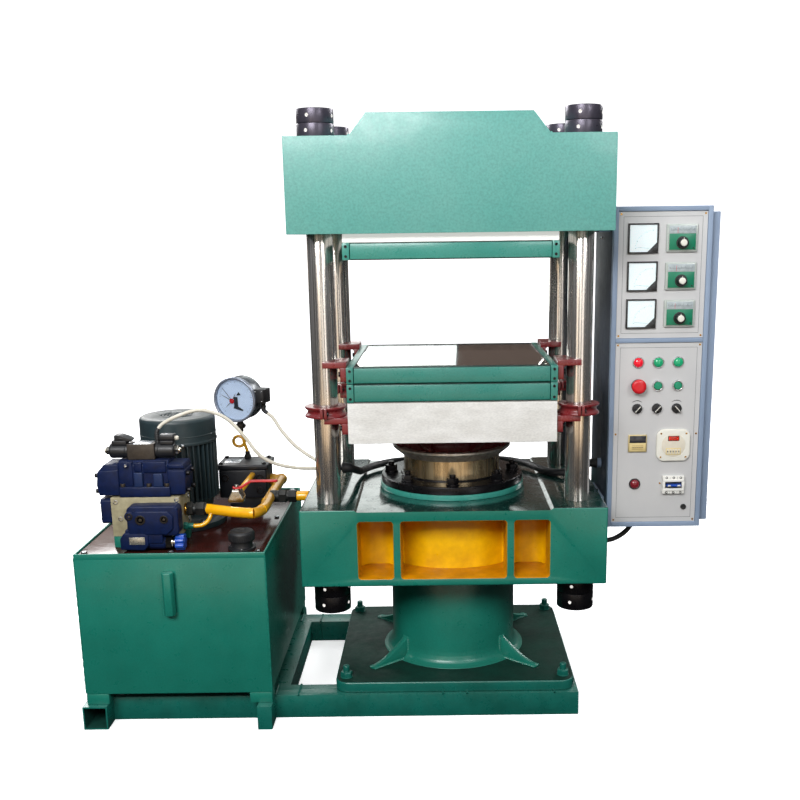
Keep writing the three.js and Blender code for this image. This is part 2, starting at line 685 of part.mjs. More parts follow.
function tableGuideBody(sx, sy) {
  const zArm = zTableTop - tableGuide.belowTop - guideArm.thickness;
  const z0 = zArm + guideArm.thickness - gap.weld;
  const z1 = z0 + tableGuide.ringHeight;
  const middle = (z0 + z1) / 2;
  const inner = column.radius + gap.slide;
  const outer = tableGuide.ringRadius;
  const x = sx * columnX;
  const y = sy * columnY;
  const ring = turned([
    [inner, z0], [outer, z0], [outer, middle - tableGuide.grooveHeight],
    [outer - tableGuide.grooveDepth, middle], [outer, middle + tableGuide.grooveHeight],
    [outer, z1], [inner, z1], [inner, z0],
  ], x, y, sides.ring);
  const pieces = [guideBracket(sx, sy, zArm, tableGuide.legLength), ring];
  for (const side of [-1, 1]) {
    pieces.push(slab(
      x - tableGuide.earHalfWidth, x + tableGuide.earHalfWidth,
      y + side * (outer - tableGuide.grooveDepth), y + side * tableGuide.earReach, z0, z1,
    ));
  }
  return join(...pieces);
}

// Moving table and the ribbed seat under it

function tableBody() {
  return slab(
    -guardHalfWidth, guardHalfWidth, -guardHalfDepth, guardHalfDepth, zTableBottom, zTableTop,
  );
}

function tableSeatBody() {
  const cone = turned([
    [0, zSeatBottom], [tableSeat.footRadius, zSeatBottom], [tableSeat.headRadius, zSeatTop], [0, zSeatTop],
  ], 0, 0, sides.ring);
  const pieces = [cone];
  const ribFoot = tableSeat.footRadius * tableSeat.ribFootShare;
  for (let i = 0; i < tableSeat.ribCount; i += 1) {
    const web = outline([
      [ribFoot, zSeatBottom], [tableSeat.footRadius + tableSeat.ribThickness / 2, zSeatBottom],
      [tableSeat.ribReach, zSeatTop], [ribFoot, zSeatTop],
    ]);
    const rib = extrudeAlongY(web, -tableSeat.ribThickness / 2, tableSeat.ribThickness / 2);
    pieces.push(rib.rotateZ((2 * Math.PI * (i + 0.5)) / tableSeat.ribCount));
  }
  return join(...pieces);
}

// Oil tank

function tankBody() {
  const left = tankLeft;
  const right = tankRight;
  const body = slab(left, right, -tank.halfDepth, tank.halfDepth, tank.bottom, tankTop);
  const pieces = [body, levelGaugeBody()];
  for (const side of [-1, 1]) {
    const y0 = side * tank.halfDepth;
    const y1 = side * (skid.halfDepth + gap.weld);
    const z0 = zSkid + gap.seat;
    const z1 = tank.bottom + gap.weld;
    pieces.push(slab(left, left + tank.legWidth, y0, y1, z0, z1));
    pieces.push(slab(right - tank.legWidth, right, y0, y1, z0, z1));
  }
  const well = slab(
    left + tank.wall, right - tank.wall, -tank.halfDepth + tank.wall, tank.halfDepth - tank.wall,
    zCover - cover.thickness - gap.seat, tankTop + gap.cut,
  );
  return cut(join(...pieces), well);
}

function coverPlate() {
  const inset = tank.wall + cover.sealGap;
  return slab(
    tankLeft + inset, tankRight - inset, -tank.halfDepth + inset, tank.halfDepth - inset,
    zCover - cover.thickness, zCover,
  );
}

// Six-sided level gauge, part of the tank front
function levelGaugeBody() {
  const x = tankLeft + levelGauge.fromLeft;
  const half = levelGauge.width / 2;
  const back = -tank.halfDepth + gap.weld;
  const front = -tank.halfDepth - levelGauge.depth;
  const side = -tank.halfDepth - levelGauge.depth / 2;
  const top = tankTop - levelGauge.top;
  const flat = levelGauge.flat / 2;
  return extrudeUp(outline([
    [x - flat, front], [x + flat, front], [x + half, side], [x + flat, back], [x - flat, back],
    [x - half, side],
  ]), top - levelGauge.height, top);
}

function breatherBody() {
  const x = tankRight - breather.fromRight;
  const y = -tank.halfDepth + breather.fromFront;
  const top = zOnCover + breather.height;
  const capFoot = top - breather.capHeight;
  const chamfer = breather.flangeHeight;
  return turned([
    [0, zOnCover], [breather.flangeRadius, zOnCover],
    [breather.flangeRadius, zOnCover + breather.flangeHeight],
    [breather.neckRadius, zOnCover + breather.flangeHeight], [breather.neckRadius, capFoot],
    [breather.capRadius, capFoot], [breather.capRadius, top - chamfer],
    [breather.capRadius - chamfer, top], [0, top],
  ], x, y, sides.knob);
}

// Motor: bell, finned frame and fan cowl, with its terminal box behind

function finnedOutline() {
  const points = [];
  const pitch = (2 * Math.PI) / motor.finCount;
  const half = (pitch * motor.finShare) / 2;
  for (let i = 0; i < motor.finCount; i += 1) {
    const angle = i * pitch;
    const ring = [
      [motor.finBaseRadius, angle - half], [motor.finRadius, angle - half],
      [motor.finRadius, angle + half], [motor.finBaseRadius, angle + half],
    ];
    for (const [r, a] of ring) points.push([r * Math.cos(a), r * Math.sin(a)]);
  }
  return outline(points);
}

function motorBody() {
  const x = tankLeft + motor.fromLeft;
  const y = -tank.halfDepth + motor.fromFront;
  const zFlange = zOnCover + motor.flangeHeight;
  const zFins = zFlange + motor.bellHeight;
  const zCowl = zFins + motor.finHeight;
  const zTop = zCowl + motor.cowlHeight;
  const core = turned([
    [0, zOnCover], [motor.flangeRadius, zOnCover], [motor.flangeRadius, zFlange],
    [motor.bellRadius, zFlange], [motor.finBaseRadius, zFins], [motor.finBaseRadius, zCowl],
    [motor.cowlRadius, zCowl], [motor.cowlRadius, zTop - motor.cowlDome],
    [motor.cowlRadius - motor.cowlDome, zTop], [0, zTop],
  ], 0, 0, sides.ring);
  const fins = extrudeUp(finnedOutline(), zFins, zCowl + gap.weld);
  const boxFoot = zFins + (motor.finHeight - motor.boxHeight) / 2;
  const box = slab(
    -motor.boxWidth / 2, motor.boxWidth / 2, motor.bellRadius, motor.finRadius + motor.boxDepth,
    boxFoot, boxFoot + motor.boxHeight,
  );
  return join(core, fins, box).translate(x, y, 0);
}

// Manifold and valves

function manifoldBody() {
  const zBlock = zOnCover + manifold.footHeight;
  const back = manifoldFront + manifold.depth;
  const block = slab(
    manifoldLeft, manifoldRight, manifoldFront, back, zOnCover, zManifoldTop,
  );
  const plugTop = zManifoldTop - manifold.plugBelowTop;
  const chamfer = manifold.plugBelowTop;
  const plug = extrudeAlongX(chamferedOutline(
    manifoldFront + chamfer, manifoldFront + chamfer + manifold.plugDepth,
    Math.max(plugTop - manifold.plugHeight, zBlock), plugTop, chamfer,
  ), manifoldLeft - manifold.plugWidth, manifoldLeft + gap.weld);
  return join(block, plug);
}

function pilotValveBody() {
  const left = pilotLeft;
  const right = left + pilotValve.width;
  const y0 = manifoldFront;
  const y1 = y0 + pilotValve.depth;
  const zBase = zPilot + pilotValve.baseHeight;
  const zTop = zPilot + pilotValve.height;
  const endInset = pilotValve.endWidth / 2;
  const foot = slab(left + endInset, right - endInset, y0, y1, zPilot, zBase);
  const bodyLeft = left + pilotValve.endWidth - gap.weld;
  const bodyRight = right - pilotValve.endWidth + gap.weld;
  const body = extrudeAlongX(chamferedOutline(
    y0 + pilotValve.baseInset, y1 - pilotValve.baseInset, zPilot, zTop, pilotValve.chamfer,
  ), bodyLeft, bodyRight);
  const zEnd = zPilot + (pilotValve.height - pilotValve.endHeight) / 2;
  const pieces = [foot, body];
  for (const [x0, x1] of [[left, bodyLeft + gap.weld], [bodyRight - gap.weld, right]]) {
    pieces.push(extrudeAlongX(chamferedOutline(
      y0 + pilotValve.chamfer, y1 - pilotValve.chamfer, zEnd, zEnd + pilotValve.endHeight,
      pilotValve.chamfer + pilotValve.baseInset,
    ), x0, x1));
  }
  const span = bodyRight - bodyLeft;
  for (const share of [-1, 0, 1]) {
    const x = (left + right) / 2 + (share * span) / 3;
    pieces.push(rod(
      pilotValve.screwRadius, zBase - gap.weld, zBase + pilotValve.screwHeight, x,
      y0 + pilotValve.screwRadius, sides.pipe,
    ));
  }
  return join(...pieces);
}

function solenoidValveBody() {
  const bodyLeft = solenoidLeft + solenoidValve.capLength + solenoidValve.coilLength;
  const bodyRight = bodyLeft + solenoidValve.bodyWidth;
  const right = solenoidLeft + solenoidSpan;
  const y = pilotCentre;
  const half = solenoidValve.depth / 2;
  const z = zSolenoid + solenoidValve.height / 2;
  const zTop = zSolenoid + solenoidValve.height;
  const pieces = [slab(bodyLeft, bodyRight, y - half, y + half, zSolenoid, zTop)];
  pieces.push(turnedAlongX([
    [0, solenoidLeft], [solenoidValve.capRadius, solenoidLeft],
    [solenoidValve.capRadius, solenoidLeft + solenoidValve.capLength],
    [solenoidValve.coilRadius, solenoidLeft + solenoidValve.capLength],
    [solenoidValve.coilRadius, right - solenoidValve.capLength],
    [solenoidValve.capRadius, right - solenoidValve.capLength], [solenoidValve.capRadius, right],
    [0, right],
  ], y, z, sides.knob));
  const plugHalf = solenoidValve.plugDepth / 2;
  const glandX = bodyRight + solenoidValve.glandOnCoil;
  for (const x of [bodyLeft - solenoidValve.plugWidth, glandX + solenoidValve.glandRadius]) {
    pieces.push(slab(
      x, x + solenoidValve.plugWidth, y - plugHalf, y + plugHalf, z, zTop + solenoidValve.plugHeight,
    ));
  }
  pieces.push(rod(
    solenoidValve.glandRadius, z, zTop + solenoidValve.glandHeight, glandX, y, sides.small,
  ));
  return join(...pieces);
}

function reliefPlaces() {
  const left = manifoldLeft + reliefValve.fromLeft;
  const back = manifoldFront - gap.seat;
  const top = zManifoldTop - reliefValve.belowTop;
  const z = top - reliefValve.height - reliefValve.barrelDrop + reliefValve.barrelRadius;
  const right = left + reliefValve.width + reliefKnob.overhang - reliefKnob.length;
  return { left, back, top, z, right, y: back - reliefValve.depth / 2 };
}

function reliefValveBody() {
  const at = reliefPlaces();
  const block = extrudeAlongY(roundedOutline(
    at.left, at.left + reliefValve.width, at.top - reliefValve.height, at.top, reliefValve.corner,
  ), at.back - reliefValve.depth, at.back);
  const barrelRight = at.right - reliefValve.neckLength;
  const barrelBody = turnedAlongX([
    [0, at.left - reliefValve.barrelLeft], [reliefValve.barrelRadius, at.left - reliefValve.barrelLeft],
    [reliefValve.barrelRadius, barrelRight], [reliefValve.neckRadius, barrelRight],
    [reliefValve.neckRadius, at.right - gap.seat], [0, at.right - gap.seat],
  ], at.y, at.z, sides.knob);
  const saddle = slab(
    at.left, barrelRight - reliefValve.neckLength, at.back - reliefValve.depth, at.back,
    at.z, at.top - reliefValve.corner,
  );
  return join(block, barrelBody, saddle);
}

function reliefKnobBody() {
  const at = reliefPlaces();
  const points = [];
  const count = sides.large;
  for (let i = 0; i < count; i += 1) {
    const angle = (2 * Math.PI * i) / count;
    const wave = 1 - (reliefKnob.lobeShare * (1 - Math.cos(reliefKnob.lobeCount * angle))) / 2;
    const r = reliefKnob.radius * wave;
    points.push([at.y + r * Math.cos(angle), at.z + r * Math.sin(angle)]);
  }
  return extrudeAlongX(outline(points), at.right, at.right + reliefKnob.length);
}

// Gauge block, siphon and contact gauge

function gaugeBlockBody() {
  const back = blockFront + gaugeBlock.depth;
  const zBody = zOnCover + gaugeBlock.footHeight;
  const zLid = zBlockTop - gaugeBlock.lidHeight;
  const inset = gaugeBlock.footInset;
  const over = gaugeBlock.lidOverhang;
  return join(
    slab(
      blockLeft + inset, blockRight - inset, blockFront + inset, back - inset, zOnCover, zBody + gap.weld,
    ),
    slab(blockLeft, blockRight, blockFront, back, zBody, zLid + gap.weld),
    slab(blockLeft - over, blockRight + over, blockFront - over, back + over, zLid, zBlockTop),
  );
}

// One turn of tube beside its leaning riser, drawn out sideways so that it clears itself
function siphonTube(zFoot, zHead) {
  const points = [];
  const centre = (zFoot + zHead) / 2;
  const riserX = (siphonX + gaugeX) / 2;
  points.push([siphonX, siphonY, zFoot - gap.weld]);
  for (let i = 0; i <= siphon.steps / 2; i += 1) {
    const turn = i / (siphon.steps / 2);
    const angle = -2 * Math.PI * turn;
    const x = riserX - siphon.loopRadius + siphon.loopRadius * Math.cos(angle);
    const z = centre - siphon.loopRadius * Math.sin(angle);
    points.push([x, siphonY - siphon.loopPitch * (0.5 - turn), z]);
  }
  points.push([gaugeX, siphonY, zHead + gap.weld]);
  return tubeAlong(points, siphon.tubeRadius, sides.pipe, siphon.steps);
}

function siphonBody() {
  const zFoot = zBlockTop + gap.seat;
  const zTube = zFoot + siphon.fittingHeight;
  const zNut = zTube + siphon.riser;
  return join(
    rod(siphon.fittingRadius, zFoot, zTube, siphonX, siphonY, sides.bolt),
    siphonTube(zTube, zNut),
    rod(siphon.nutRadius, zNut, zSiphonTop, gaugeX, siphonY, sides.bolt),
  );
}

// The case faces -Y in its own group, which is turned a little to the left
function gaugeCase() {
  const half = gauge.depth / 2;
  const face = half;
  const body = new THREE.LatheGeometry([
    [0, -half], [gauge.radius, -half], [gauge.radius, half - gauge.bezelDepth],
    [gauge.bezelRadius, half - gauge.bezelDepth], [gauge.bezelRadius, face],
    [gauge.bezelRadius - gauge.dialRecess, face],
    [gauge.bezelRadius - gauge.dialRecess, face - gauge.dialRecess], [0, face - gauge.dialRecess],
  ].map(([r, d]) => new THREE.Vector2(r, d)), sides.ring).rotateX(Math.PI);
  const stem = rod(gauge.stemRadius, -gauge.radius - gauge.stemLength + gap.weld, 0, 0, 0, sides.small);
  const box = slab(
    gauge.radius - gauge.stemRadius, gauge.radius + gauge.boxWidth, -gauge.boxDepth / 2,
    gauge.boxDepth / 2, gauge.boxAbove - gauge.boxHeight / 2, gauge.boxAbove + gauge.boxHeight / 2,
  );
  const boxFoot = gauge.boxAbove - gauge.boxHeight / 2;
  const glandX = gauge.radius + gauge.boxWidth / 2;
  const outlet = rod(
    gauge.glandRadius, boxFoot - gauge.glandLength, boxFoot + gap.weld, glandX, 0, sides.small,
  );
  return join(body, stem, box, outlet);
}

// Pipes and hand valve

// Places along the bowed first leg of the pipe, and how far it has bowed out there, as shares
const legShares = [0.28, 0.52, 0.78];
const bowShares = [0.4, 0.72, 0.96];

function pressurePipeBody() {
  const y = manifoldFront + manifold.depth / 2;
  const start = manifoldRight + gap.seat;
  const first = start + pressurePipe.fittingLength;
  const fitting = rodAlongX(pressurePipe.fittingRadius, start, first, y, zPipes, sides.bolt);
  const inletY = blockFront + pressurePipe.inletBack;
  const corner = y - pressurePipe.bow;
  const reach = pipeRunX - first;
  const leg = legShares.map((share, i) => [
    first + reach * share, y - pressurePipe.bow * bowShares[i], zPipes,
  ]);
  const half = pressurePipe.elbowWidth / 2;
  const pipe = tubeAlong([
    [first - gap.weld, y, zPipes], ...leg, [pipeRunX - half, corner, zPipes],
    [pipeRunX, corner + pressurePipe.elbowWidth, zPipes], [pipeRunX, feedY, zPipes],
    [pipeRunX, inletY - pressurePipe.radius, zPipes], [pipeRunX, inletY, zPipes],
  ], pressurePipe.radius, sides.pipe, 24);
  const elbow = new THREE.SphereGeometry(pressurePipe.elbowRadius, sides.small, sides.pipe)
    .translate(pipeRunX, inletY, zPipes);
  const neck = rodAlongX(
    pressurePipe.elbowRadius - gap.weld, blockRight + gap.seat, pipeRunX, inletY, zPipes, sides.small,
  );
  const tee = rodAlongX(
    feedLine.teeRadius, pipeRunX, pipeRunX + pressurePipe.radius + feedLine.teeLength, feedY, zPipes,
    sides.small,
  );
  return join(fitting, pipe, elbow, neck, tee);
}

// Branch from the tee of the pressure pipe into the side of the lower beam
function feedLineBody() {
  const start = pipeRunX + pressurePipe.radius + feedLine.teeLength + gap.seat;
  const step = start + feedLine.fittingLength;
  const end = -lowerBeam.width / 2 - gap.seat;
  return join(
    rodAlongX(feedLine.fittingRadius, start, step, feedY, zPipes, sides.bolt),
    rodAlongX(feedLine.pipeRadius, step - gap.weld, end, feedY, zPipes, sides.small),
  );
}

function handValvePlaces() {
  return {
    x: tankRight - handValve.fromTankRight,
    y: -tank.halfDepth + handValve.fromTankFront,
    top: zCover + handValve.aboveCover,
  };
}

function handValveBody() {
  const at = handValvePlaces();
  const z = at.top - handValve.height / 2;
  const halfWidth = handValve.width / 2;
  const halfDepth = handValve.depth / 2;
  return join(
    slab(at.x - halfWidth, at.x + halfWidth, at.y - halfDepth, at.y + halfDepth,
      at.top - handValve.height, at.top),
    rodAlongY(handValve.portRadius, at.y, blockFront - gap.seat, at.x, z, sides.small),
    rod(handValve.stemRadius, at.top - gap.weld, at.top + handValve.stemHeight, at.x, at.y, sides.small),
  );
}

function leverBody() {
  const at = handValvePlaces();
  const z0 = at.top + gap.seat;
  const z1 = z0 + lever.hubHeight;
  const t = lever.thickness;
  const strip = extrudeAlongY(outline([
    [at.x, z0], [at.x + lever.hubRadius, z0], [at.x + lever.riseRun, z0 + lever.rise],
    [at.x + lever.length, z0 + lever.rise], [at.x + lever.length, z0 + lever.rise + t],
    [at.x + lever.riseRun - t, z0 + lever.rise + t], [at.x + lever.hubRadius - t, z0 + t], [at.x, z0 + t],
  ]), at.y - lever.width / 2, at.y + lever.width / 2);
  const hub = rod(lever.hubRadius, z0, z1, at.x, at.y, sides.small);
  const hole = rod(handValve.stemRadius + gap.slide, z0 - gap.cut, z1 + gap.cut, at.x, at.y, sides.small);
  return cut(join(strip, hub), hole);
}

// Control cabinet

function cabinetShell() {
  const right = cabinetLeft + cabinet.width;
  const y0 = -cabinet.front;
  const y1 = y0 + cabinet.depth;
  const sheet = cabinet.sheet;
  const outer = slab(cabinetLeft, right, y0, y1, cabinetBottom, cabinetTop);
  const inside = slab(
    cabinetLeft + sheet, right - sheet, y0 + sheet, y1 - sheet, cabinetBottom + sheet, cabinetTop - sheet,
  );
  const lip = cabinet.lip;
  const mouth = slab(
    cabinetLeft + lip, cabinetLeft + door.width - lip, y0 - gap.cut, y0 + sheet + gap.weld,
    cabinetBottom + lip, cabinetTop - lip,
  );
  const bracketHeights = [
    [zUpperBeam - cabinet.bracketDrop, zUpperBeam + cabinet.bracketHead],
    [zLowerBeamTop - cabinet.bracketGrip, cabinetBottom + cabinet.bracketLap],
  ];
  const start = y0 + cabinet.bracketSet;
  const brackets = bracketHeights.map(([z0, z1]) => slab(
    lowerBeam.width / 2 + gap.seat, cabinetLeft + sheet, start, start + cabinet.bracketDepth, z0, z1,
  ));
  const sideGland = rodAlongX(
    cabinet.glandRadius, cabinetLeft - cabinet.glandLength, cabinetLeft + sheet, harnessEnd.y,
    harnessEnd.z, sides.small,
  );
  const bottomGland = rod(
    cabinet.glandRadius, cabinetBottom - cabinet.glandLength, cabinetBottom + sheet, cableStartX,
    cableStart.y, sides.small,
  );
  return join(cut(outer, inside, mouth), ...brackets, sideGland, bottomGland);
}

// Places on the door, measured from its upper left corner
function onDoor(fromLeft, fromTop) {
  return [doorLeft + fromLeft, doorTop - fromTop];
}

function raised(fromLeft, fromTop, width, height, proud) {
  const [x, z] = onDoor(fromLeft, fromTop);
  const back = panelFace + gap.weld;
  return slab(x - width / 2, x + width / 2, panelFace - proud, back, z - height / 2, z + height / 2);
}

function ringProud(fromLeft, fromTop, outer, inner, proud) {
  const [x, z] = onDoor(fromLeft, fromTop);
  return knob([
    [inner, -gap.weld], [outer, -gap.weld], [outer, proud], [inner, proud], [inner, -gap.weld],
  ], x, panelFace, z, sides.knob);
}

function lampProud(fromLeft, fromTop) {
  const [x, z] = onDoor(fromLeft, fromTop);
  return knob([
    [0, -gap.weld], [lamp.bezelRadius, -gap.weld], [lamp.bezelRadius, lamp.bezelProud],
    [lamp.radius, lamp.bezelProud], [lamp.radius, lamp.proud / 2],
    [lamp.radius / 2, lamp.proud], [0, lamp.proud],
  ], x, panelFace, z, sides.small);
}

const meterRows = [0, 1, 2].map((i) => doorHeight * (doorShares.meter + i * doorShares.meterPitch));
const controlColumns = [0, 1, 2].map((i) => controls.firstLeft + i * controls.pitch);
const lampRow = doorHeight * doorShares.lamp;
const buttonRow = lampRow + doorHeight * doorShares.controlPitch;
const selectorRow = buttonRow + doorHeight * doorShares.controlPitch;
const counterRow = doorHeight * doorShares.counter;
const timerRow = doorHeight * doorShares.timer;
const alarmRow = doorHeight * doorShares.alarm;
const breakerRow = doorHeight * doorShares.breaker;
const lockRow = doorHeight * doorShares.lock;

function meterBody(fromTop) {
  const [x, z] = onDoor(meter.fromLeft, fromTop);
  const x1 = x + meter.width / 2;
  const z0 = z - meter.height / 2;
  const corner = extrudeAlongY(outline([
    [x1 + gap.cut, z0 - gap.cut], [x1 + gap.cut, z0 + meter.corner], [x1 - meter.corner, z0 - gap.cut],
  ]), panelFace - meter.proud - gap.cut, panelFace - meter.proud / 2);
  return cut(raised(meter.fromLeft, fromTop, meter.width, meter.height, meter.proud), corner);
}

function timerBody() {
  const [x, z] = onDoor(timer.fromLeft, timerRow);
  const w = timer.width / 2;
  const h = timer.height / 2;
  return extrudeAlongY(
    roundedOutline(x - w, x + w, z - h, z + h, timer.corner), panelFace - timer.proud, panelFace + gap.weld,
  );
}

// Blind bores for the shafts of the moving controls
function shaftBore(fromLeft, fromTop, face) {
  const [x, z] = onDoor(fromLeft, fromTop);
  const depth = shaft.length + door.panelRecess + gap.slide;
  const r = shaft.radius + shaft.clearance;
  return knob([[0, -depth], [r, -depth], [r, gap.cut], [0, gap.cut]], x, face, z, sides.small);
}

function breakerSlot() {
  const [x, z] = onDoor(breaker.fromLeft, breakerRow);
  const face = panelFace - breaker.proud;
  const w = breaker.slotWidth / 2;
  const h = breaker.slotHeight / 2;
  return slab(x - w, x + w, face - gap.cut, face + breaker.slotDepth, z - h, z + h);
}

function doorBody() {
  const right = doorLeft + door.width;
  const bottom = doorTop - doorHeight;
  const slabBody = slab(doorLeft, right, doorFront, doorBack, bottom, doorTop);
  const b = door.border;
  const recessFront = doorFront - gap.cut;
  const upperFoot = doorTop - b - doorHeight * doorShares.upperPanel;
  const recesses = [
    slab(doorLeft + b, right - b, recessFront, panelFace, upperFoot, doorTop - b),
    slab(doorLeft + b, right - b, recessFront, panelFace, bottom + b, upperFoot - door.divider),
  ];
  const added = [timerBody(), raised(counter.fromLeft, counterRow, counter.width, counter.height,
    counter.proud)];
  for (const row of meterRows) {
    added.push(meterBody(row));
    added.push(raised(controller.fromLeft, row, controller.width, controller.height, controller.proud));
  }
  for (const left of controlColumns) added.push(lampProud(left, lampRow));
  added.push(lampProud(controlColumns[0], alarmRow));
  for (const left of controlColumns.slice(1)) {
    added.push(ringProud(left, buttonRow, pushButton.ringRadius, pushButton.ringInner, pushButton.ringProud));
  }
  added.push(raised(breaker.fromLeft, breakerRow, breaker.width, breaker.height, breaker.proud));
  const [lockX, lockZ] = onDoor(doorLock.fromLeft, lockRow);
  added.push(rodAlongY(doorLock.radius, panelFace - doorLock.proud, panelFace + gap.weld, lockX, lockZ,
    sides.small));
  const bores = controlColumns.flatMap((left) => [
    shaftBore(left, buttonRow, panelFace), shaftBore(left, selectorRow, panelFace),
  ]);
  for (const row of meterRows) {
    bores.push(shaftBore(controller.fromLeft, row + controller.knobBelow, panelFace - controller.proud));
  }
  return cut(join(cut(slabBody, ...recesses), ...added), ...bores, breakerSlot());
}

// Knob profiles on a shaft that enters the door
function shaftEnd() {
  return [[0, -shaft.length], [shaft.radius, -shaft.length], [shaft.radius, gap.seat]];
}

function stopButtonBody() {
  const [x, z] = onDoor(controlColumns[0], buttonRow);
  const rim = stopButton.proud - stopButton.crown;
  return knob([
    [0, -shaft.length], [shaft.radius, -shaft.length],
    [shaft.radius, stopButton.travel + gap.seat], [stopButton.neckRadius, stopButton.travel + gap.seat],
    [stopButton.neckRadius, rim - stopButton.travel], [stopButton.radius, rim],
    [stopButton.radius, rim + stopButton.crown / 2], [stopButton.neckRadius, stopButton.proud],
    [0, stopButton.proud],
  ], x, panelFace, z, sides.knob);
}

function pushButtonBody(fromLeft) {
  const [x, z] = onDoor(fromLeft, buttonRow);
  return knob([
    [0, -shaft.length], [shaft.radius, -shaft.length], [shaft.radius, pushButton.proud / 2],
    [pushButton.radius, pushButton.proud / 2], [pushButton.radius, pushButton.proud], [0, pushButton.proud],
  ], x, panelFace, z, sides.knob);
}

function selectorBody(fromLeft) {
  const [x, z] = onDoor(fromLeft, selectorRow);
  const disc = knob([
    ...shaftEnd(), [selector.radius, gap.seat], [selector.radius, selector.proud], [0, selector.proud],
  ], 0, 0, 0, sides.knob);
  const bar = slab(
    -selector.barWidth / 2, selector.barWidth / 2, -selector.barProud, -selector.proud + gap.weld,
    -selector.radius, selector.radius,
  );
  return join(disc, bar).translate(x, panelFace, z);
}

function dialKnobBody(row) {
  const [x, z] = onDoor(controller.fromLeft, row + controller.knobBelow);
  return knob([
    ...shaftEnd(), [dialKnob.radius, gap.seat], [dialKnob.radius, dialKnob.proud],
    [dialKnob.capRadius, dialKnob.proud], [dialKnob.capRadius, dialKnob.capProud], [0, dialKnob.capProud],
  ], x, panelFace - controller.proud, z, sides.knob);
}

// The breaker's handle turns on a bar deep in its slot
function toggleBody() {
  const [x, z] = onDoor(breaker.fromLeft, breakerRow);
  const pivot = togglePivot();
  const half = toggle.width / 2;
  const handle = slab(
    x - half, x + half, panelFace - toggle.proud, pivot, z - toggle.height / 4, z + toggle.height / 4,
  );
  const bar = rodAlongX(toggle.pivotRadius, x - half, x + half, pivot, z, sides.pipe);
  return join(handle, bar);
}

function togglePivot() {
  return panelFace - breaker.proud + breaker.slotDepth - toggle.pivotRadius - gap.slide;
}

// Cords held along their routes

const solenoidPlugX = solenoidLeft + solenoidValve.capLength + solenoidValve.coilLength
  + solenoidValve.bodyWidth + solenoidValve.glandOnCoil;
const conduitStartZ = zSolenoid + solenoidValve.height + solenoidValve.glandHeight + gap.seat;
const gaugeTurn = THREE.MathUtils.degToRad(-gauge.turnDegrees);
const outletReach = gauge.radius + gauge.boxWidth / 2;
const gaugeOutlet = {
  x: gaugeX + outletReach * Math.cos(gaugeTurn),
  y: siphonY + outletReach * Math.sin(gaugeTurn),
  z: zGaugeCentre + gauge.boxAbove - gauge.boxHeight / 2 - gauge.glandLength - gap.seat,
};

// Route points measured along X from the tank's right side, and from the beams' right side
const besideTank = (points) => points.map(([x, y, z]) => [tankRight + x, y, z]);
const besideBeam = (points) => points.map(([x, y, z]) => [lowerBeam.width / 2 + x, y, z]);

const valveConduitRoute = [
  [solenoidPlugX, pilotCentre, conduitStartZ], [solenoidPlugX, pilotCentre, conduitStartZ + conduitRise],
  ...besideTank([
    [-275, -223, 799], [-254, -221, 812], [-229.5, -220, 822.6], [-191, -216, 834.7],
    [-165, -212, 835.5], [-140, -208, 828.7], [-118, -204, 818.3], [-97, -200, 801.3],
    [-61, -195, 757], [-30, -188, 711], [6, -176, 684], [60, -150, 664], [112, -132, 657],
  ]),
  [harnessStart.x - harnessLead, harnessStart.y - conduitSpread, harnessStart.z],
  [harnessStart.x - gap.seat, harnessStart.y - conduitSpread, harnessStart.z],
];
const gaugeConduitRoute = [
  [gaugeOutlet.x, gaugeOutlet.y, gaugeOutlet.z], [gaugeOutlet.x, gaugeOutlet.y, gaugeOutlet.z - cordLead],
  ...besideTank([
    [-37, 90, 762], [-7, 50, 732], [19, 10, 714], [45, -30, 700], [84, -70, 682], [130, -100, 664],
  ]),
  [harnessStart.x - harnessLead, harnessStart.y + conduitSpread, harnessStart.z],
  [harnessStart.x - gap.seat, harnessStart.y + conduitSpread, harnessStart.z],
];
const harnessRoute = [
  [harnessStart.x, harnessStart.y, harnessStart.z], [-286, harnessStart.y, harnessStart.z],
  [-270, -80, 640], [-264, -20, 622], [-262, 60, 604], [-240, 150, 595], [-180, 215, 595],
  [-90, 240, 595], [0, 246, 595], [90, 240, 595], [170, 215, 596], [228, 160, 596], [262, 90, 596],
  ...besideBeam([
    [-100, 40, 596], [-50, 20, 606], [-14, 20, 622], [4, harnessEnd.y, harnessEnd.z],
    [cabinet.fromBeam - cabinet.glandLength - gap.seat, harnessEnd.y, harnessEnd.z],
  ]),
];
const mainsRoute = [
  [cableStartX, cableStart.y, cabinetBottom - cabinet.glandLength - gap.seat],
  ...besideBeam([
    [122, 0, 456], [114, 0, 438], [94, 0, 418], [68, 0, 404], [40, 0, 398.5],
    [26, cableEnd.y, cableEnd.z], [lowerBeam.glandLength + gap.seat, cableEnd.y, cableEnd.z],
  ]),
];

// Assembly

add('base_skid', skidFrame(), enamel);
add('pedestal', pedestalBody(), enamel);
add('lower_beam', lowerBeamBody(), enamel);
add('cylinder_barrel', cylinderBarrel(), enamel);
add('gland_ring', glandRing(), blackOxide);
for (const [sx, side] of [[-1, 'left'], [1, 'right']]) {
  for (const [sy, end] of [[-1, 'front'], [1, 'rear']]) {
    add(`column_${end}_${side}`, columnBody(sx * columnX, sy * columnY), chrome);
    add(`middle_guide_${end}_${side}`, middleGuideBody(sx, sy), redEnamel);
    add(`table_guide_${end}_${side}`, tableGuideBody(sx, sy), redEnamel);
  }
}
add('upper_beam', upperBeamBody(), lightEnamel);
add('upper_insulation', insulationBoard(), whiteBoard);
add('upper_platen', platenBody(zUpperPlatenFace, zUpperPlatenTop), groundSteel);
add('upper_guard', guardFrame(zUpperPlatenFace, zUpperPlatenTop), enamel);
add('middle_platen', platenBody(zMiddleBottom, zMiddleTop), groundSteel);
add('middle_guard', guardFrame(zMiddleBottom, zMiddleTop), enamel);
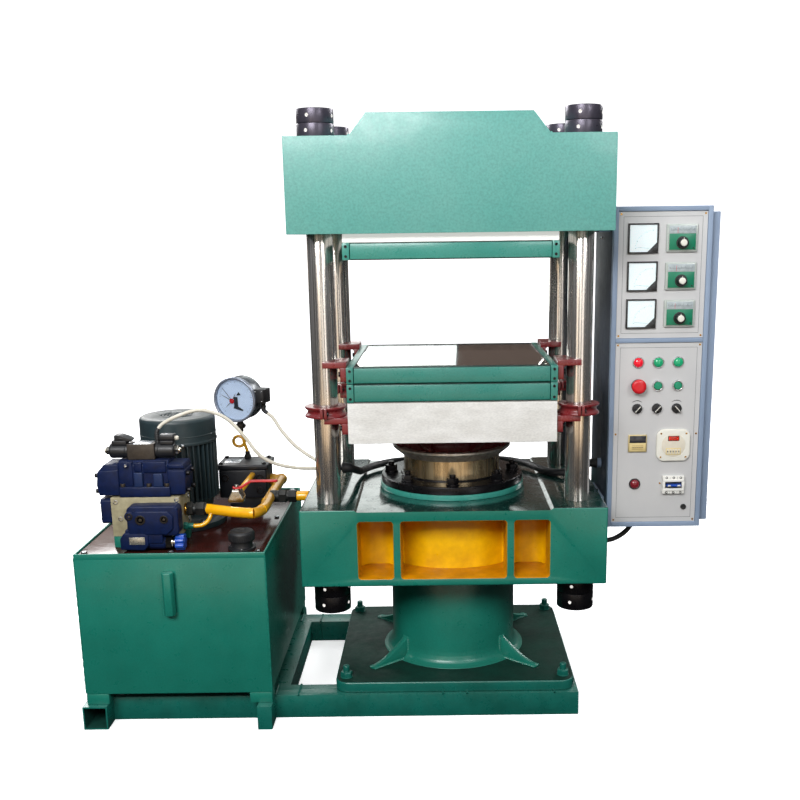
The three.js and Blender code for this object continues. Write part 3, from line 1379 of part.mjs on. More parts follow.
add('lower_platen', platenBody(zLowerPlatenBottom, zLowerPlatenTop), groundSteel);
add('lower_guard', guardFrame(zLowerPlatenBottom, zLowerPlatenTop), enamel);
add('moving_table', tableBody(), whiteBoard);
add('table_seat', tableSeatBody(), redEnamel);
add('ram', ramBody(), chrome);

add('oil_tank', tankBody(), enamel);
add('tank_cover', coverPlate(), coverRed);
add('filler_breather', breatherBody(), blackPlastic);
add('motor', motorBody(), motorEnamel);
add('manifold_block', manifoldBody(), castGrey);
add('pilot_valve', pilotValveBody(), navyEnamel);
add('solenoid_valve', solenoidValveBody(), blackPlastic);
add('relief_valve', reliefValveBody(), navyEnamel);
add('relief_knob', reliefKnobBody(), brightBlue);
add('gauge_block', gaugeBlockBody(), navyEnamel);
add('gauge_siphon', siphonBody(), yellowEnamel);
const gaugeTurned = new THREE.Group();
gaugeTurned.position.set(gaugeX, siphonY, zGaugeCentre);
gaugeTurned.rotation.z = gaugeTurn;
press.add(gaugeTurned);
add('pressure_gauge', gaugeCase(), blackPlastic, gaugeTurned);
add('pressure_pipe', pressurePipeBody(), yellowEnamel);
add('feed_line', feedLineBody(), yellowEnamel);
add('hand_valve', handValveBody(), castGrey);
add('hand_valve_lever', leverBody(), signalRed);

add('cabinet_body', cabinetShell(), cabinetBlue);
add('cabinet_door', doorBody(), cabinetBlue);
add('emergency_stop', stopButtonBody(), signalRed);
add('button_up', pushButtonBody(controlColumns[1]), buttonGreen);
add('button_down', pushButtonBody(controlColumns[2]), buttonGreen);
['left', 'middle', 'right'].forEach((place, i) => {
  add(`selector_${place}`, selectorBody(controlColumns[i]), blackPlastic);
});
['upper', 'middle', 'lower'].forEach((place, i) => {
  add(`temperature_knob_${place}`, dialKnobBody(meterRows[i]), ivoryPlastic);
});
add('breaker_toggle', toggleBody(), brightBlue);

add('valve_conduit', tubeAlong(valveConduitRoute, conduit.radius, sides.pipe, 30), conduitCream);
add('gauge_conduit', tubeAlong(gaugeConduitRoute, conduit.radius, sides.pipe, 20), conduitCream);
add('platen_harness', tubeAlong(harnessRoute, harness.radius, sides.pipe, 32), blackPlastic);
add('mains_cable', tubeAlong(mainsRoute, mainsCable.radius, sides.pipe, 12), blackPlastic);

export default press;
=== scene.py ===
"""Looks of a four-column rubber vulcanizing press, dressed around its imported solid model.

All lengths are metres in the press's own frame: +X to the operator's right, +Y away from the operator,
+Z up, with the origin on the floor under the ram.
"""

import logging
import math
import random
from dataclasses import dataclass
from enum import Enum
from typing import Callable, Sequence

import bmesh
import bpy
from mathutils import Matrix, Vector


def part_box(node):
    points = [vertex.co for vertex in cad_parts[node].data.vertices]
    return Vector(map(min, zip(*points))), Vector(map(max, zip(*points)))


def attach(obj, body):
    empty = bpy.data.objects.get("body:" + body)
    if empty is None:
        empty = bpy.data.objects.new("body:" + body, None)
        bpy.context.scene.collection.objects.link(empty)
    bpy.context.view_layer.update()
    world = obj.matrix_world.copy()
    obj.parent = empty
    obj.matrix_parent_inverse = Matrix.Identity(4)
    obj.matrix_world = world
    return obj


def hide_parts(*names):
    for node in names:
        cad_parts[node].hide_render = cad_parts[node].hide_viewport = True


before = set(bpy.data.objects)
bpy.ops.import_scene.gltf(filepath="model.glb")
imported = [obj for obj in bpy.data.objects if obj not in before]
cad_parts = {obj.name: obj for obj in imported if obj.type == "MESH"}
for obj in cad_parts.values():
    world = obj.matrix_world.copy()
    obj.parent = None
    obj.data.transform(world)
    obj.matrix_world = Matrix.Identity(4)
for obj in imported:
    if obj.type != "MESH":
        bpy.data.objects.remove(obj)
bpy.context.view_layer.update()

LOG = logging.getLogger("press")
Point = Sequence[float]
Profile = list[tuple[float, float]]

# Lengths below the first count as nothing, points closer than the second are one point, in metres.
NOTHING = 1e-7
ONE_POINT = 1e-5
# Edges flatter than the first are shaded smooth; prisms and solids are eased where they are sharper than
# the others, in degrees.
SMOOTH_DEG = 32.0
PRISM_SHARP_DEG = 25.0
SOLID_SHARP_DEG = 30.0
# A route with more points than this is dense enough to be followed as it is.
DENSE_ROUTE = 40
# Flecks of a speckled paint are this much wider than its grain.
FLECK_SHARE = 1.3

# Room left between a piece and the one it sits on.
SEAT = 0.0003
# Axes of the columns and the bare shaft's radius.
COLUMN_X, COLUMN_Y, COLUMN_RADIUS = 0.33, 0.215, 0.0325
# The four columns with their sides: -1 is left or front.
CORNERS = (("front_left", -1, -1), ("rear_left", -1, 1), ("front_right", 1, -1), ("rear_right", 1, 1))


class Body(Enum):
    """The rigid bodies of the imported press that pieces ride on."""

    FRAME = "press_frame"
    TABLE = "table_unit"
    MIDDLE = "middle_daylight_unit"
    DOOR = "cabinet_door"
    KNOB = "relief_knob"
    LEVER = "hand_valve_lever"


class Axis(Enum):
    """The direction in which a turned or extruded form grows."""

    X = 0
    Y = 1
    Z = 2


# ---- colour and shader nodes


def linear(code: str, alpha: float = 1.0) -> tuple[float, float, float, float]:
    """Turns an sRGB hex colour into the linear colour that a shader socket takes.

    Args:
        code: the colour as "#rrggbb".
        alpha: the fourth component.

    Returns:
        Linear red, green, blue and alpha.
    """
    parts = [int(code[i : i + 2], 16) / 255 for i in (1, 3, 5)]
    r, g, b = (p / 12.92 if p <= 0.04045 else ((p + 0.055) / 1.055) ** 2.4 for p in parts)
    return (r, g, b, alpha)


def add_node(
    tree: bpy.types.NodeTree, kind: str, settings: dict, links: dict | None = None,
) -> bpy.types.Node:
    """Adds one node with its settings and its incoming links.

    Args:
        tree: the material's or world's node tree.
        kind: the node's Blender type name.
        settings: node attributes by lower-case name, and socket values by socket name or number.
        links: output sockets that feed this node, by its socket name or number.

    Returns:
        The new node.
    """
    node = tree.nodes.new(kind)
    for key, value in settings.items():
        if isinstance(key, str) and hasattr(node, key):
            setattr(node, key, value)
        else:
            node.inputs[key].default_value = value
    for key, source in (links or {}).items():
        tree.links.new(source, node.inputs[key])
    return node


# ---- finishes


@dataclass(frozen=True)
class Finish:
    """A surface as it left the workshop: its colour, its gloss and the texture of how it was made.

    Sizes in millimetres are real ones: mottle_mm is the width of the patches in which the colour drifts
    towards shade, and grain_mm is the width of the relief that catches the light.
    """

    name: str
    colour: str
    roughness: float = 0.4
    metallic: float = 0.0
    ior: float = 1.5
    shade: str = ""
    mottle_mm: float = 90.0
    mottle: float = 0.6
    grain_mm: float = 2.5
    grain: float = 0.1
    grain_height_mm: float = 0.1
    rough_spread: float = 0.06
    stretch: tuple[float, float, float] = (1.0, 1.0, 1.0)
    coat: float = 0.0
    coat_roughness: float = 0.1
    dust: float = 0.0
    dust_colour: str = "#8f8a80"
    slot: str = "enamel"
    speckle: float = 0.0

    def material(self) -> bpy.types.Material:
        """Returns the finish's material, made once.

        Returns:
            The Blender material of this name.
        """
        found = bpy.data.materials.get(self.name)
        if found is not None:
            return found
        made = bpy.data.materials.new(self.name)
        made.use_nodes = True
        tree = made.node_tree
        tree.nodes.clear()
        shader = self.shader(tree)
        add_node(tree, "ShaderNodeOutputMaterial", {}, {"Surface": shader.outputs[0]})
        made.diffuse_color = linear(self.colour)
        return made

    def coordinates(self, tree: bpy.types.NodeTree) -> bpy.types.NodeSocket:
        """Gives the piece's own coordinates in metres, stretched where the surface has a direction.

        Args:
            tree: the material's node tree.

        Returns:
            The coordinates' output.
        """
        place = add_node(tree, "ShaderNodeTexCoord", {})
        return add_node(
            tree, "ShaderNodeMapping", {"Scale": self.stretch}, {0: place.outputs["Object"]},
        ).outputs[0]

    def base_colour(self, tree: bpy.types.NodeTree, where: bpy.types.NodeSocket) -> bpy.types.NodeSocket:
        """Mixes the colour with its shade in soft patches.

        Args:
            tree: the material's node tree.
            where: the coordinates of the pattern.

        Returns:
            The colour output.
        """
        patches = add_node(
            tree, "ShaderNodeTexNoise", {"Scale": 1000 / self.mottle_mm, "Detail": 5.0, "Roughness": 0.6},
            {"Vector": where},
        )
        share = add_node(
            tree, "ShaderNodeMapRange", {1: 0.35, 2: 0.7, 3: 0.0, 4: self.mottle}, {0: patches.outputs[0]},
        )
        mixed = add_node(
            tree, "ShaderNodeMix",
            {"data_type": "RGBA", 6: linear(self.colour), 7: linear(self.shade or self.colour)},
            {0: share.outputs[0]},
        )
        if self.speckle <= 0:
            return mixed.outputs[2]
        flecks = add_node(
            tree, "ShaderNodeTexNoise", {"Scale": 1000 / (FLECK_SHARE * self.grain_mm), "Detail": 2.0},
            {"Vector": where},
        )
        wave = add_node(
            tree, "ShaderNodeMapRange",
            {1: 0.3, 2: 0.7, 3: 1 - self.speckle * 0.5, 4: 1 + self.speckle * 0.5}, {0: flecks.outputs[0]},
        )
        toned = add_node(
            tree, "ShaderNodeHueSaturation", {}, {"Value": wave.outputs[0], "Color": mixed.outputs[2]},
        )
        return toned.outputs[0]

    def relief(self, tree: bpy.types.NodeTree, where: bpy.types.NodeSocket) -> bpy.types.NodeSocket:
        """Raises the grain as a bump.

        Args:
            tree: the material's node tree.
            where: the coordinates of the pattern.

        Returns:
            The normal output.
        """
        grain = add_node(
            tree, "ShaderNodeTexNoise", {"Scale": 1000 / self.grain_mm, "Detail": 3.0, "Roughness": 0.5},
            {"Vector": where},
        )
        return self.bumped(tree, grain)

    def bumped(self, tree: bpy.types.NodeTree, pattern: bpy.types.Node) -> bpy.types.NodeSocket:
        """Turns a pattern into a bump of the grain's height.

        Args:
            tree: the material's node tree.
            pattern: the texture node that gives the height.

        Returns:
            The normal output.
        """
        settings = {"Strength": self.grain, "Distance": self.grain_height_mm / 1000}
        return add_node(tree, "ShaderNodeBump", settings, {"Height": pattern.outputs[0]}).outputs[0]

    def gloss(self, tree: bpy.types.NodeTree, where: bpy.types.NodeSocket) -> bpy.types.NodeSocket:
        """Lets the roughness drift a little, as handling and dust leave it.

        Args:
            tree: the material's node tree.
            where: the coordinates of the pattern.

        Returns:
            The roughness output.
        """
        drift = add_node(
            tree, "ShaderNodeTexNoise", {"Scale": 35.0, "Detail": 6.0, "Roughness": 0.7}, {"Vector": where},
        )
        low = max(0.02, self.roughness - self.rough_spread)
        high = min(1.0, self.roughness + self.rough_spread)
        return add_node(
            tree, "ShaderNodeMapRange", {1: 0.3, 2: 0.7, 3: low, 4: high}, {0: drift.outputs[0]},
        ).outputs[0]

    def dusted(self, tree: bpy.types.NodeTree, colour: bpy.types.NodeSocket) -> bpy.types.NodeSocket:
        """Lays pale dust on the faces that look up.

        Args:
            tree: the material's node tree.
            colour: the clean colour.

        Returns:
            The dusty colour.
        """
        if self.dust <= 0:
            return colour
        geometry = add_node(tree, "ShaderNodeNewGeometry", {})
        split = add_node(tree, "ShaderNodeSeparateXYZ", {}, {0: geometry.outputs["Normal"]})
        place = add_node(tree, "ShaderNodeTexCoord", {})
        clouds = add_node(
            tree, "ShaderNodeTexNoise", {"Scale": 14.0, "Detail": 8.0, "Roughness": 0.65},
            {0: place.outputs["Object"]},
        )
        upward = add_node(
            tree, "ShaderNodeMapRange", {1: 0.55, 2: 0.95, 3: 0.0, 4: self.dust}, {0: split.outputs[2]},
        )
        share = add_node(
            tree, "ShaderNodeMath", {"operation": "MULTIPLY"}, {0: upward.outputs[0], 1: clouds.outputs[0]},
        )
        mixed = add_node(
            tree, "ShaderNodeMix", {"data_type": "RGBA", 7: linear(self.dust_colour)},
            {0: share.outputs[0], 6: colour},
        )
        return mixed.outputs[2]

    def shader(self, tree: bpy.types.NodeTree) -> bpy.types.Node:
        """Builds the surface shader.

        Args:
            tree: the material's node tree.

        Returns:
            The shader node.
        """
        where = self.coordinates(tree)
        return add_node(
            tree, "ShaderNodeBsdfPrincipled",
            {
                "Metallic": self.metallic, "IOR": self.ior, "Coat Weight": self.coat,
                "Coat Roughness": self.coat_roughness,
            },
            {
                "Base Color": self.dusted(tree, self.base_colour(tree, where)),
                "Roughness": self.gloss(tree, where), "Normal": self.relief(tree, where),
            },
        )


@dataclass(frozen=True)
class TurnedSteel(Finish):
    """Steel off the lathe: fine rings around its axis that draw the light out."""

    axis: Axis = Axis.Z
    pitch_mm: float = 1.2
    across: float = 0.02

    def relief(self, tree: bpy.types.NodeTree, where: bpy.types.NodeSocket) -> bpy.types.NodeSocket:
        """Cuts the lathe's rings as a bump across the axis.

        Args:
            tree: the material's node tree.
            where: the coordinates of the pattern.

        Returns:
            The normal output.
        """
        squeeze = [self.across] * 3
        squeeze[self.axis.value] = 1.0
        along = add_node(tree, "ShaderNodeMapping", {"Scale": tuple(squeeze)}, {0: where})
        rings = add_node(
            tree, "ShaderNodeTexNoise", {"Scale": 1000 / self.pitch_mm, "Detail": 2.0},
            {"Vector": along.outputs[0]},
        )
        return self.bumped(tree, rings)


@dataclass(frozen=True)
class Glow(Finish):
    """A part with a weak light of its own: a lens, a display segment, a diffuser, and surfaces whose glow is
    painted light.
    """

    strength: float = 0.4

    def shader(self, tree: bpy.types.NodeTree) -> bpy.types.Node:
        """Adds a weak light of its own to the plain finish.

        Args:
            tree: the material's node tree.

        Returns:
            The shader node.
        """
        node = super().shader(tree)
        node.inputs["Emission Color"].default_value = linear(self.colour)
        node.inputs["Emission Strength"].default_value = self.strength
        return node


@dataclass(frozen=True)
class ClearGlass(Finish):
    """Thin window glass: nearly all light goes through, and only its gloss shows."""

    def shader(self, tree: bpy.types.NodeTree) -> bpy.types.Node:
        """Mixes a clear pane with its mirror gloss by the angle of view.

        Args:
            tree: the material's node tree.

        Returns:
            The shader node.
        """
        clear = add_node(tree, "ShaderNodeBsdfTransparent", {"Color": linear(self.colour)})
        wipes = self.gloss(tree, self.coordinates(tree))
        mirror = add_node(tree, "ShaderNodeBsdfGlossy", {}, {"Roughness": wipes})
        share = add_node(tree, "ShaderNodeFresnel", {"IOR": 1.45})
        return add_node(
            tree, "ShaderNodeMixShader", {}, {0: share.outputs[0], 1: clear.outputs[0], 2: mirror.outputs[0]},
        )


# Each row gives: name, colour, roughness, metallic, ior, shade, mottle_mm, mottle, grain_mm, grain,
# grain_height_mm and rough_spread, then by name what differs from the defaults.

# Sprayed alkyd enamel on welded steel: an orange peel some 3 mm wide breaks up its reflections.
GREEN = Finish(
    "alkyd_enamel_green", "#187564", 0.32, 0.0, 1.5, "#136656", 140, 0.7, 3.2, 0.45, 0.16, 0.07, coat=0.12,
    dust=0.05, speckle=0.18,
)
# The same enamel on the upper beam, painted lighter as painted light from above.
LIT_GREEN = Finish(
    "alkyd_enamel_lit_green", "#5f9f95", 0.36, 0.0, 1.5, "#509a90", 160, 0.7, 4.2, 0.75, 0.3, 0.07, coat=0.1,
    dust=0.05, slot="light_enamel", speckle=0.22,
)
# Enamel of the guards round the platens, painted between the two in tone: lighter than the lower beam's
# green, as painted light.
MID_GREEN = Finish(
    "alkyd_enamel_mid_green", "#378e80", 0.3, 0.0, 1.5, "#2f8173", 120, 0.6, 3.0, 0.4, 0.14, 0.06, coat=0.15,
    speckle=0.2,
)
# The lowest enamel, painted darker as painted shade for the shadow of the press, and scuffed by boots and
# pallets.
SHADED_GREEN = Finish(
    "alkyd_enamel_shaded_green", "#12665a", 0.32, 0.0, 1.5, "#0c4f44", 110, 0.8, 3.0, 0.4, 0.16, 0.1, coat=0.15,
    dust=0.08, speckle=0.15,
)
# Chrome yellow enamel inside the pockets of the lower beam, brushed on thick.
YELLOW = Finish(
    "chrome_yellow_enamel", "#f2bd00", 0.34, 0.0, 1.5, "#cf9500", 45, 0.8, 4.0, 0.35, 0.2, 0.08, coat=0.1,
    slot="yellow_enamel",
)
# Mustard enamel on the pipes, with darker runs.
MUSTARD = Finish(
    "mustard_pipe_enamel", "#c9930f", 0.33, 0.0, 1.5, "#a87408", 22, 0.8, 2.0, 0.3, 0.12, 0.1, coat=0.2,
    slot="yellow_enamel",
)
# Hard chrome on ground rod: bright, with fine dark streaks along the stroke painted in its colour as painted
# reflections, and a gloss that drifts a little.
CHROME_WITH_PAINTED_STREAKS = Finish(
    "hard_chrome_painted_streaks", "#f4efe9", 0.2, 0.92, 1.5, "#857d75", 4, 1.0, 1.5, 0.3, 0.03, 0.05,
    stretch=(1, 1, 0.008), slot="chrome",
)
# Turned steel of the ram's head ring, satin bright.
RAM_STEEL = TurnedSteel(
    "turned_ram_steel", "#d8d2c8", 0.38, 0.55, 1.5, "#a3978a", 12, 0.7, 1.5, 0.35, 0.05, 0.06,
    stretch=(1, 1, 0.3), slot="chrome", pitch_mm=1.6,
)
# Ground platen face, polished by use until it mirrors the room.
PLATEN = Finish(
    "ground_platen_steel", "#dfe2e0", 0.07, 1.0, 1.5, "#c4c9c6", 90, 0.4, 1.2, 0.08, 0.02, 0.05,
    stretch=(1, 0.1, 1), slot="ground_steel",
)
# Blackened steel of nuts and gland, oiled, so it is dark and half glossy.
BLACKED = TurnedSteel(
    "black_oxide_steel", "#121114", 0.3, 0.6, 1.5, "#1d1c20", 25, 0.6, 1.5, 0.2, 0.04, 0.1,
    slot="black_oxide",
)
# Top nuts: the same steel run to a violet grey by the blueing bath, with a soft sheen.
VIOLET_STEEL = TurnedSteel(
    "blued_nut_steel", "#4e4955", 0.34, 0.5, 1.5, "#3f3a45", 25, 0.6, 1.5, 0.25, 0.04, 0.08,
    slot="black_oxide",
)
# Bare steel inside the tommy bar holes, with a weak glow of its own as painted light.
GLOWING_HOLE_STEEL = Glow(
    "drilled_steel_painted_light", "#e6e4e2", 0.4, 0.3, 1.5, "#cfcdca", 3, 0.5, 0.5, 0.2, 0.03, 0.06,
    slot="black_oxide", strength=0.35,
)
# Plain zinc plated screws and washers.
ZINC = Finish(
    "zinc_plated_steel", "#b9bcc0", 0.28, 1.0, 1.5, "#9a9ea4", 8, 0.6, 0.8, 0.15, 0.03, 0.08,
    slot="ground_steel",
)
# Oxblood enamel on the guides and the seat, glossy and rather thin.
OXBLOOD = Finish(
    "oxblood_enamel", "#7c2226", 0.3, 0.0, 1.5, "#5e181b", 45, 0.7, 2.4, 0.35, 0.12, 0.08, coat=0.3,
    slot="red_enamel",
)
# Pressed mineral board, chalk white with a fibrous skin, with a glow of its own as painted light.
GLOWING_BOARD = Glow(
    "pressed_mineral_board_painted_light", "#f4f3ee", 0.75, 0.0, 1.5, "#dedbd3", 30, 0.6, 1.4, 0.6, 0.25, 0.08,
    slot="insulation_board", strength=0.6,
)
# White paint rolled over the board and the steel of the moving table.
WHITE = Finish(
    "rolled_white_paint", "#e6e4df", 0.5, 0.0, 1.5, "#cbc8c1", 70, 0.95, 3.0, 0.35, 0.15, 0.08,
    slot="white_enamel", stretch=(0.6, 1, 1.5), speckle=0.16,
)
# Darker upper edge of the white paint, a painted shade where the guard above meets it.
EDGE_SHADE_WHITE = Finish(
    "white_paint_edge_painted_shade", "#5d574e", 0.7, 0.0, 1.4, "#2d2924", 6, 1.0, 1.0, 0.4, 0.1, 0.1, slot="white_enamel",
)
# Green enamel darkened as painted shade: in the joint between a guard strip and its frame, and inside the
# open end of the skid's tube.
JOINT_SHADE_GREEN = Finish("green_enamel_painted_shade", "#0f3b33", 0.5, 0.0, 1.4, "#0a2b25", 30, 0.7, 2.0, 0.3, 0.1, 0.08)
# Guards near the table: the same enamel in a tone set by the light at their height, as painted light, a shade
# deeper than the upper one.
GUARD_GREEN = Finish(
    "alkyd_enamel_guard_green", "#2f7d70", 0.3, 0.0, 1.5, "#287064", 120, 0.6, 3.0, 0.4, 0.14, 0.06,
    coat=0.15, speckle=0.2,
)
# Dark rim round the top of a hot platen, where the ground face ends.
DARK_PLATEN_RIM = Finish(
    "dark_platen_rim", "#1d1b1a", 0.5, 0.3, 1.5, "#2c2725", 10, 0.8, 1.0, 0.4, 0.08, 0.1,
    slot="ground_steel",
)
# Darker yellow on the pocket's floor, painted shade for the light that the pocket's walls keep out.
POCKET_FLOOR_SHADE = Finish(
    "yellow_enamel_floor_painted_shade", "#cc8700", 0.42, 0.0, 1.4, "#a86c00", 35, 0.9, 4.0, 0.35, 0.2, 0.1,
    slot="yellow_enamel",
)
# The same painted shade on the pocket's sides, a little paler.
POCKET_SIDE_SHADE = Finish(
    "yellow_enamel_side_painted_shade", "#cf9500", 0.45, 0.0, 1.4, "#a87400", 35, 0.9, 4.0, 0.35, 0.2, 0.1,
    slot="yellow_enamel",
)
# Grey hydraulic manifold, phosphated iron with machining marks.
MANIFOLD = Finish(
    "phosphated_iron", "#a89f80", 0.55, 0.1, 1.4, "#857d63", 18, 0.8, 1.0, 0.35, 0.08, 0.1, dust=0.1,
    slot="cast_grey",
)
# Navy enamel over cast iron: the sand of the mould still shows under the paint.
NAVY = Finish(
    "navy_enamel_on_cast_iron", "#0a1b42", 0.45, 0.0, 1.27, "#06112c", 16, 0.8, 1.6, 0.6, 0.22, 0.1,
    coat=0.05, dust=0.06, slot="navy_enamel",
)
# Teal motor enamel, dull with dust between the fins.
TEAL = Finish(
    "teal_motor_enamel", "#263539", 0.42, 0.0, 1.5, "#1f2c30", 30, 0.7, 1.8, 0.45, 0.15, 0.1, dust=0.35,
    slot="motor_enamel",
)
# Red oxide primer on the tank's cover, under oil and pale dust.
PRIMER = Finish(
    "red_oxide_primer", "#3a140f", 0.16, 0.0, 1.4, "#200b08", 60, 0.9, 2.5, 0.12, 0.05, 0.06, dust=0.03,
    dust_colour="#84706a", slot="cover_red",
)
# Deck of the cylinder beam: green enamel painted dark as painted shade from the parts above it, smooth enough
# to mirror the window.
SHADED_DECK = Finish(
    "green_deck_painted_shade", "#08302a", 0.22, 0.0, 1.5, "#06241f", 120, 0.8, 4.0, 0.4, 0.2, 0.12, coat=0.8,
    coat_roughness=0.1, speckle=0.2,
)
# Dull anchor plate enamel, walked on until its gloss has gone, and painted dark as painted shade under the
# cylinder beam.
SHADED_PLATE_GREEN = Finish(
    "plate_green_painted_shade", "#0b3229", 0.45, 0.0, 1.2, "#07241e", 70, 0.9, 3.0, 0.4, 0.16, 0.12, dust=0.03,
    speckle=0.25,
)
# Moulded black thermoplastic: coils, plugs, knobs.
BLACK_PLASTIC = Finish(
    "moulded_black_plastic", "#1a1b1d", 0.42, 0.0, 1.46, "#232427", 12, 0.5, 0.6, 0.25, 0.05, 0.08,
    slot="black_plastic",
)
# Glossy bright blue thermoplastic.
BLUE_PLASTIC = Finish(
    "moulded_blue_plastic", "#174bb0", 0.3, 0.0, 1.46, "#184aa6", 12, 0.5, 0.6, 0.15, 0.04, 0.05,
    slot="blue_plastic",
)
# Signal red thermoplastic, glossy.
RED_PLASTIC = Finish(
    "moulded_red_plastic", "#d8222b", 0.25, 0.0, 1.46, "#bb1820", 14, 0.5, 0.6, 0.12, 0.04, 0.05,
    slot="red_plastic",
)
# Dipped red vinyl on the valve lever.
RED_VINYL = Finish(
    "dipped_red_vinyl", "#c01c22", 0.35, 0.0, 1.5, "#9c151a", 14, 0.6, 1.0, 0.2, 0.06, 0.08,
    slot="red_plastic",
)
# Green thermoplastic of buttons.
GREEN_PLASTIC = Finish(
    "moulded_green_plastic", "#0f8f68", 0.25, 0.0, 1.46, "#0c7a58", 10, 0.5, 0.6, 0.12, 0.04, 0.05,
    slot="green_plastic",
)
# Ivory thermoplastic of instrument cases.
IVORY = Finish(
    "moulded_ivory_plastic", "#e9e6da", 0.4, 0.0, 1.46, "#dcd8ca", 20, 0.4, 0.6, 0.15, 0.04, 0.05,
    slot="ivory_plastic",
)
# Side sheet of the cabinet that faces the hot platens, painted dark as painted shade.
SHADED_SIDE = Finish(
    "powder_coat_painted_shade", "#434b57", 0.55, 0.0, 1.4, "#363d48", 90, 0.8, 1.2, 0.45, 0.1, 0.06,
    slot="cabinet_enamel",
)
# Clear polycarbonate surround over a grey carrier, as pale as its edges.
CLEAR_SURROUND = Finish(
    "clear_controller_surround", "#b9bfb9", 0.22, 0.0, 1.58, "#a3aba5", 9, 0.7, 0.6, 0.15, 0.04, 0.05,
    coat=0.3, slot="ivory_plastic",
)
# Printed scale of the controllers, grey behind its window.
SCALE_CARD = Finish(
    "grey_scale_card", "#b4bdbf", 0.4, 0.0, 1.5, "#8f9a9d", 8, 0.8, 0.5, 0.08, 0.02, 0.05, coat=0.3,
    slot="ivory_plastic",
)
# Cream printed card of the cure timer.
TIMER_CARD = Finish(
    "cream_timer_card", "#e2dac8", 0.5, 0.0, 1.5, "#d3c8b2", 15, 0.6, 0.5, 0.08, 0.02, 0.05,
    slot="ivory_plastic",
)
# Cream polyamide conduit.
CREAM = Finish(
    "polyamide_conduit", "#d9d3c4", 0.45, 0.0, 1.5, "#c2bbaa", 25, 0.6, 0.8, 0.2, 0.05, 0.08,
    slot="conduit_plastic",
)
# Black rubber cable sheath, slightly chalky.
SHEATH = Finish(
    "rubber_cable_sheath", "#17181a", 0.55, 0.0, 1.52, "#242528", 20, 0.6, 0.8, 0.3, 0.06, 0.1,
    slot="cable_rubber",
)
# Structured powder coat of the cabinet, a cold blue grey with a fine stipple.
POWDER = Finish(
    "blue_grey_powder_coat", "#8b9cb3", 0.5, 0.0, 1.5, "#7f90a8", 90, 0.5, 1.2, 0.45, 0.1, 0.06,
    slot="cabinet_enamel",
)
# Silver grey overlay of the operator panels, satin and even.
PANEL = Finish(
    "satin_silver_overlay", "#c9c9c9", 0.38, 0.15, 1.5, "#bdbec0", 120, 0.5, 0.7, 0.12, 0.03, 0.05,
    slot="cabinet_enamel",
)
# Printed dark line round the panels.
PRINTED_LINE = Finish(
    "screen_printed_grey", "#4b5158", 0.45, 0.0, 1.5, "#41464c", 20, 0.4, 0.5, 0.1, 0.02, 0.04,
    slot="cabinet_enamel",
)
# Printed ink on dials and scales.
INK = Finish(
    "printing_ink", "#20242a", 0.5, 0.0, 1.5, "#181b20", 5, 0.4, 0.4, 0.05, 0.01, 0.04, slot="black_plastic",
)
# Flat glass of meters and gauge.
GLASS = ClearGlass("window_glass", "#f4f7f8", 0.03, rough_spread=0.015, slot="ivory_plastic")
# Brass of glands and fittings.
BRASS = Finish(
    "turned_brass", "#b58a3e", 0.25, 1.0, 1.5, "#8f6a2b", 8, 0.6, 0.8, 0.2, 0.04, 0.08, slot="yellow_enamel",
)
# Lamp lenses, lit weakly by the room behind their facets.
RED_LENS = Glow(
    "red_lamp_lens", "#e3122b", 0.12, 0.0, 1.49, "#b50e22", 6, 0.5, 0.8, 0.2, 0.1, 0.03, coat=0.5,
    slot="red_plastic", strength=0.35,
)
GREEN_LENS = Glow(
    "green_lamp_lens", "#12a06c", 0.12, 0.0, 1.49, "#0c7f55", 6, 0.5, 0.8, 0.2, 0.1, 0.03, coat=0.5,
    slot="green_plastic", strength=0.25,
)
# Bronze-brown oil film on the ram's shaft over fine turning rings, with dark upright streaks painted in its
# colour as painted reflections.
RAM_BRONZED = TurnedSteel(
    "oiled_ram_steel", "#cdb994", 0.27, 0.8, 1.5, "#6a5538", 11, 0.8, 1.5, 0.3, 0.04, 0.05,
    stretch=(1, 1, 0.03), slot="chrome", pitch_mm=1.4,
)
# Blackened steel body of the pilot stage, grey brown where it is milled.
BLACKED_BODY = Finish(
    "milled_valve_steel", "#4a443e", 0.4, 0.6, 1.5, "#38332e", 10, 0.7, 0.8, 0.3, 0.06, 0.08,
    slot="black_plastic",
)
# Near black enamel of the gauge block.
DARK_BLOCK = Finish(
    "blue_black_enamel", "#11151c", 0.4, 0.0, 1.4, "#0b0d13", 20, 0.7, 1.4, 0.4, 0.14, 0.1, coat=0.05,
    dust=0.08, slot="navy_enamel",
)
# Grey enamelled steel of the gauge case.
CASE_GREY = Finish(
    "gauge_case_enamel", "#4d5257", 0.28, 0.35, 1.5, "#3d4146", 12, 0.5, 0.8, 0.2, 0.05, 0.06,
    slot="black_plastic",
)
# Nickel plated brass of the ball valve.
NICKEL = Finish(
    "nickel_plated_brass", "#a9a69d", 0.22, 1.0, 1.5, "#8b8880", 8, 0.6, 0.8, 0.25, 0.05, 0.08,
    slot="cast_grey",
)
# White card behind the meter windows, with a glow of its own as painted light.
METER_CARD = Glow(
    "white_meter_card", "#f4f7f6", 0.55, 0.0, 1.5, "#ecf1f1", 15, 0.4, 0.5, 0.08, 0.02, 0.04,
    slot="ivory_plastic", strength=0.42,
)
# Thin grey ink of the meter scales.
FAINT_INK = Finish(
    "grey_scale_ink", "#5d666b", 0.5, 0.0, 1.5, "#525b60", 4, 0.3, 0.4, 0.05, 0.01, 0.03,
    slot="ivory_plastic",
)
# Green face plate of the temperature controllers.
CONTROL_GREEN = Finish(
    "controller_face_green", "#117a59", 0.33, 0.0, 1.46, "#0d6b4d", 10, 0.5, 0.6, 0.15, 0.04, 0.05,
    slot="green_plastic",
)
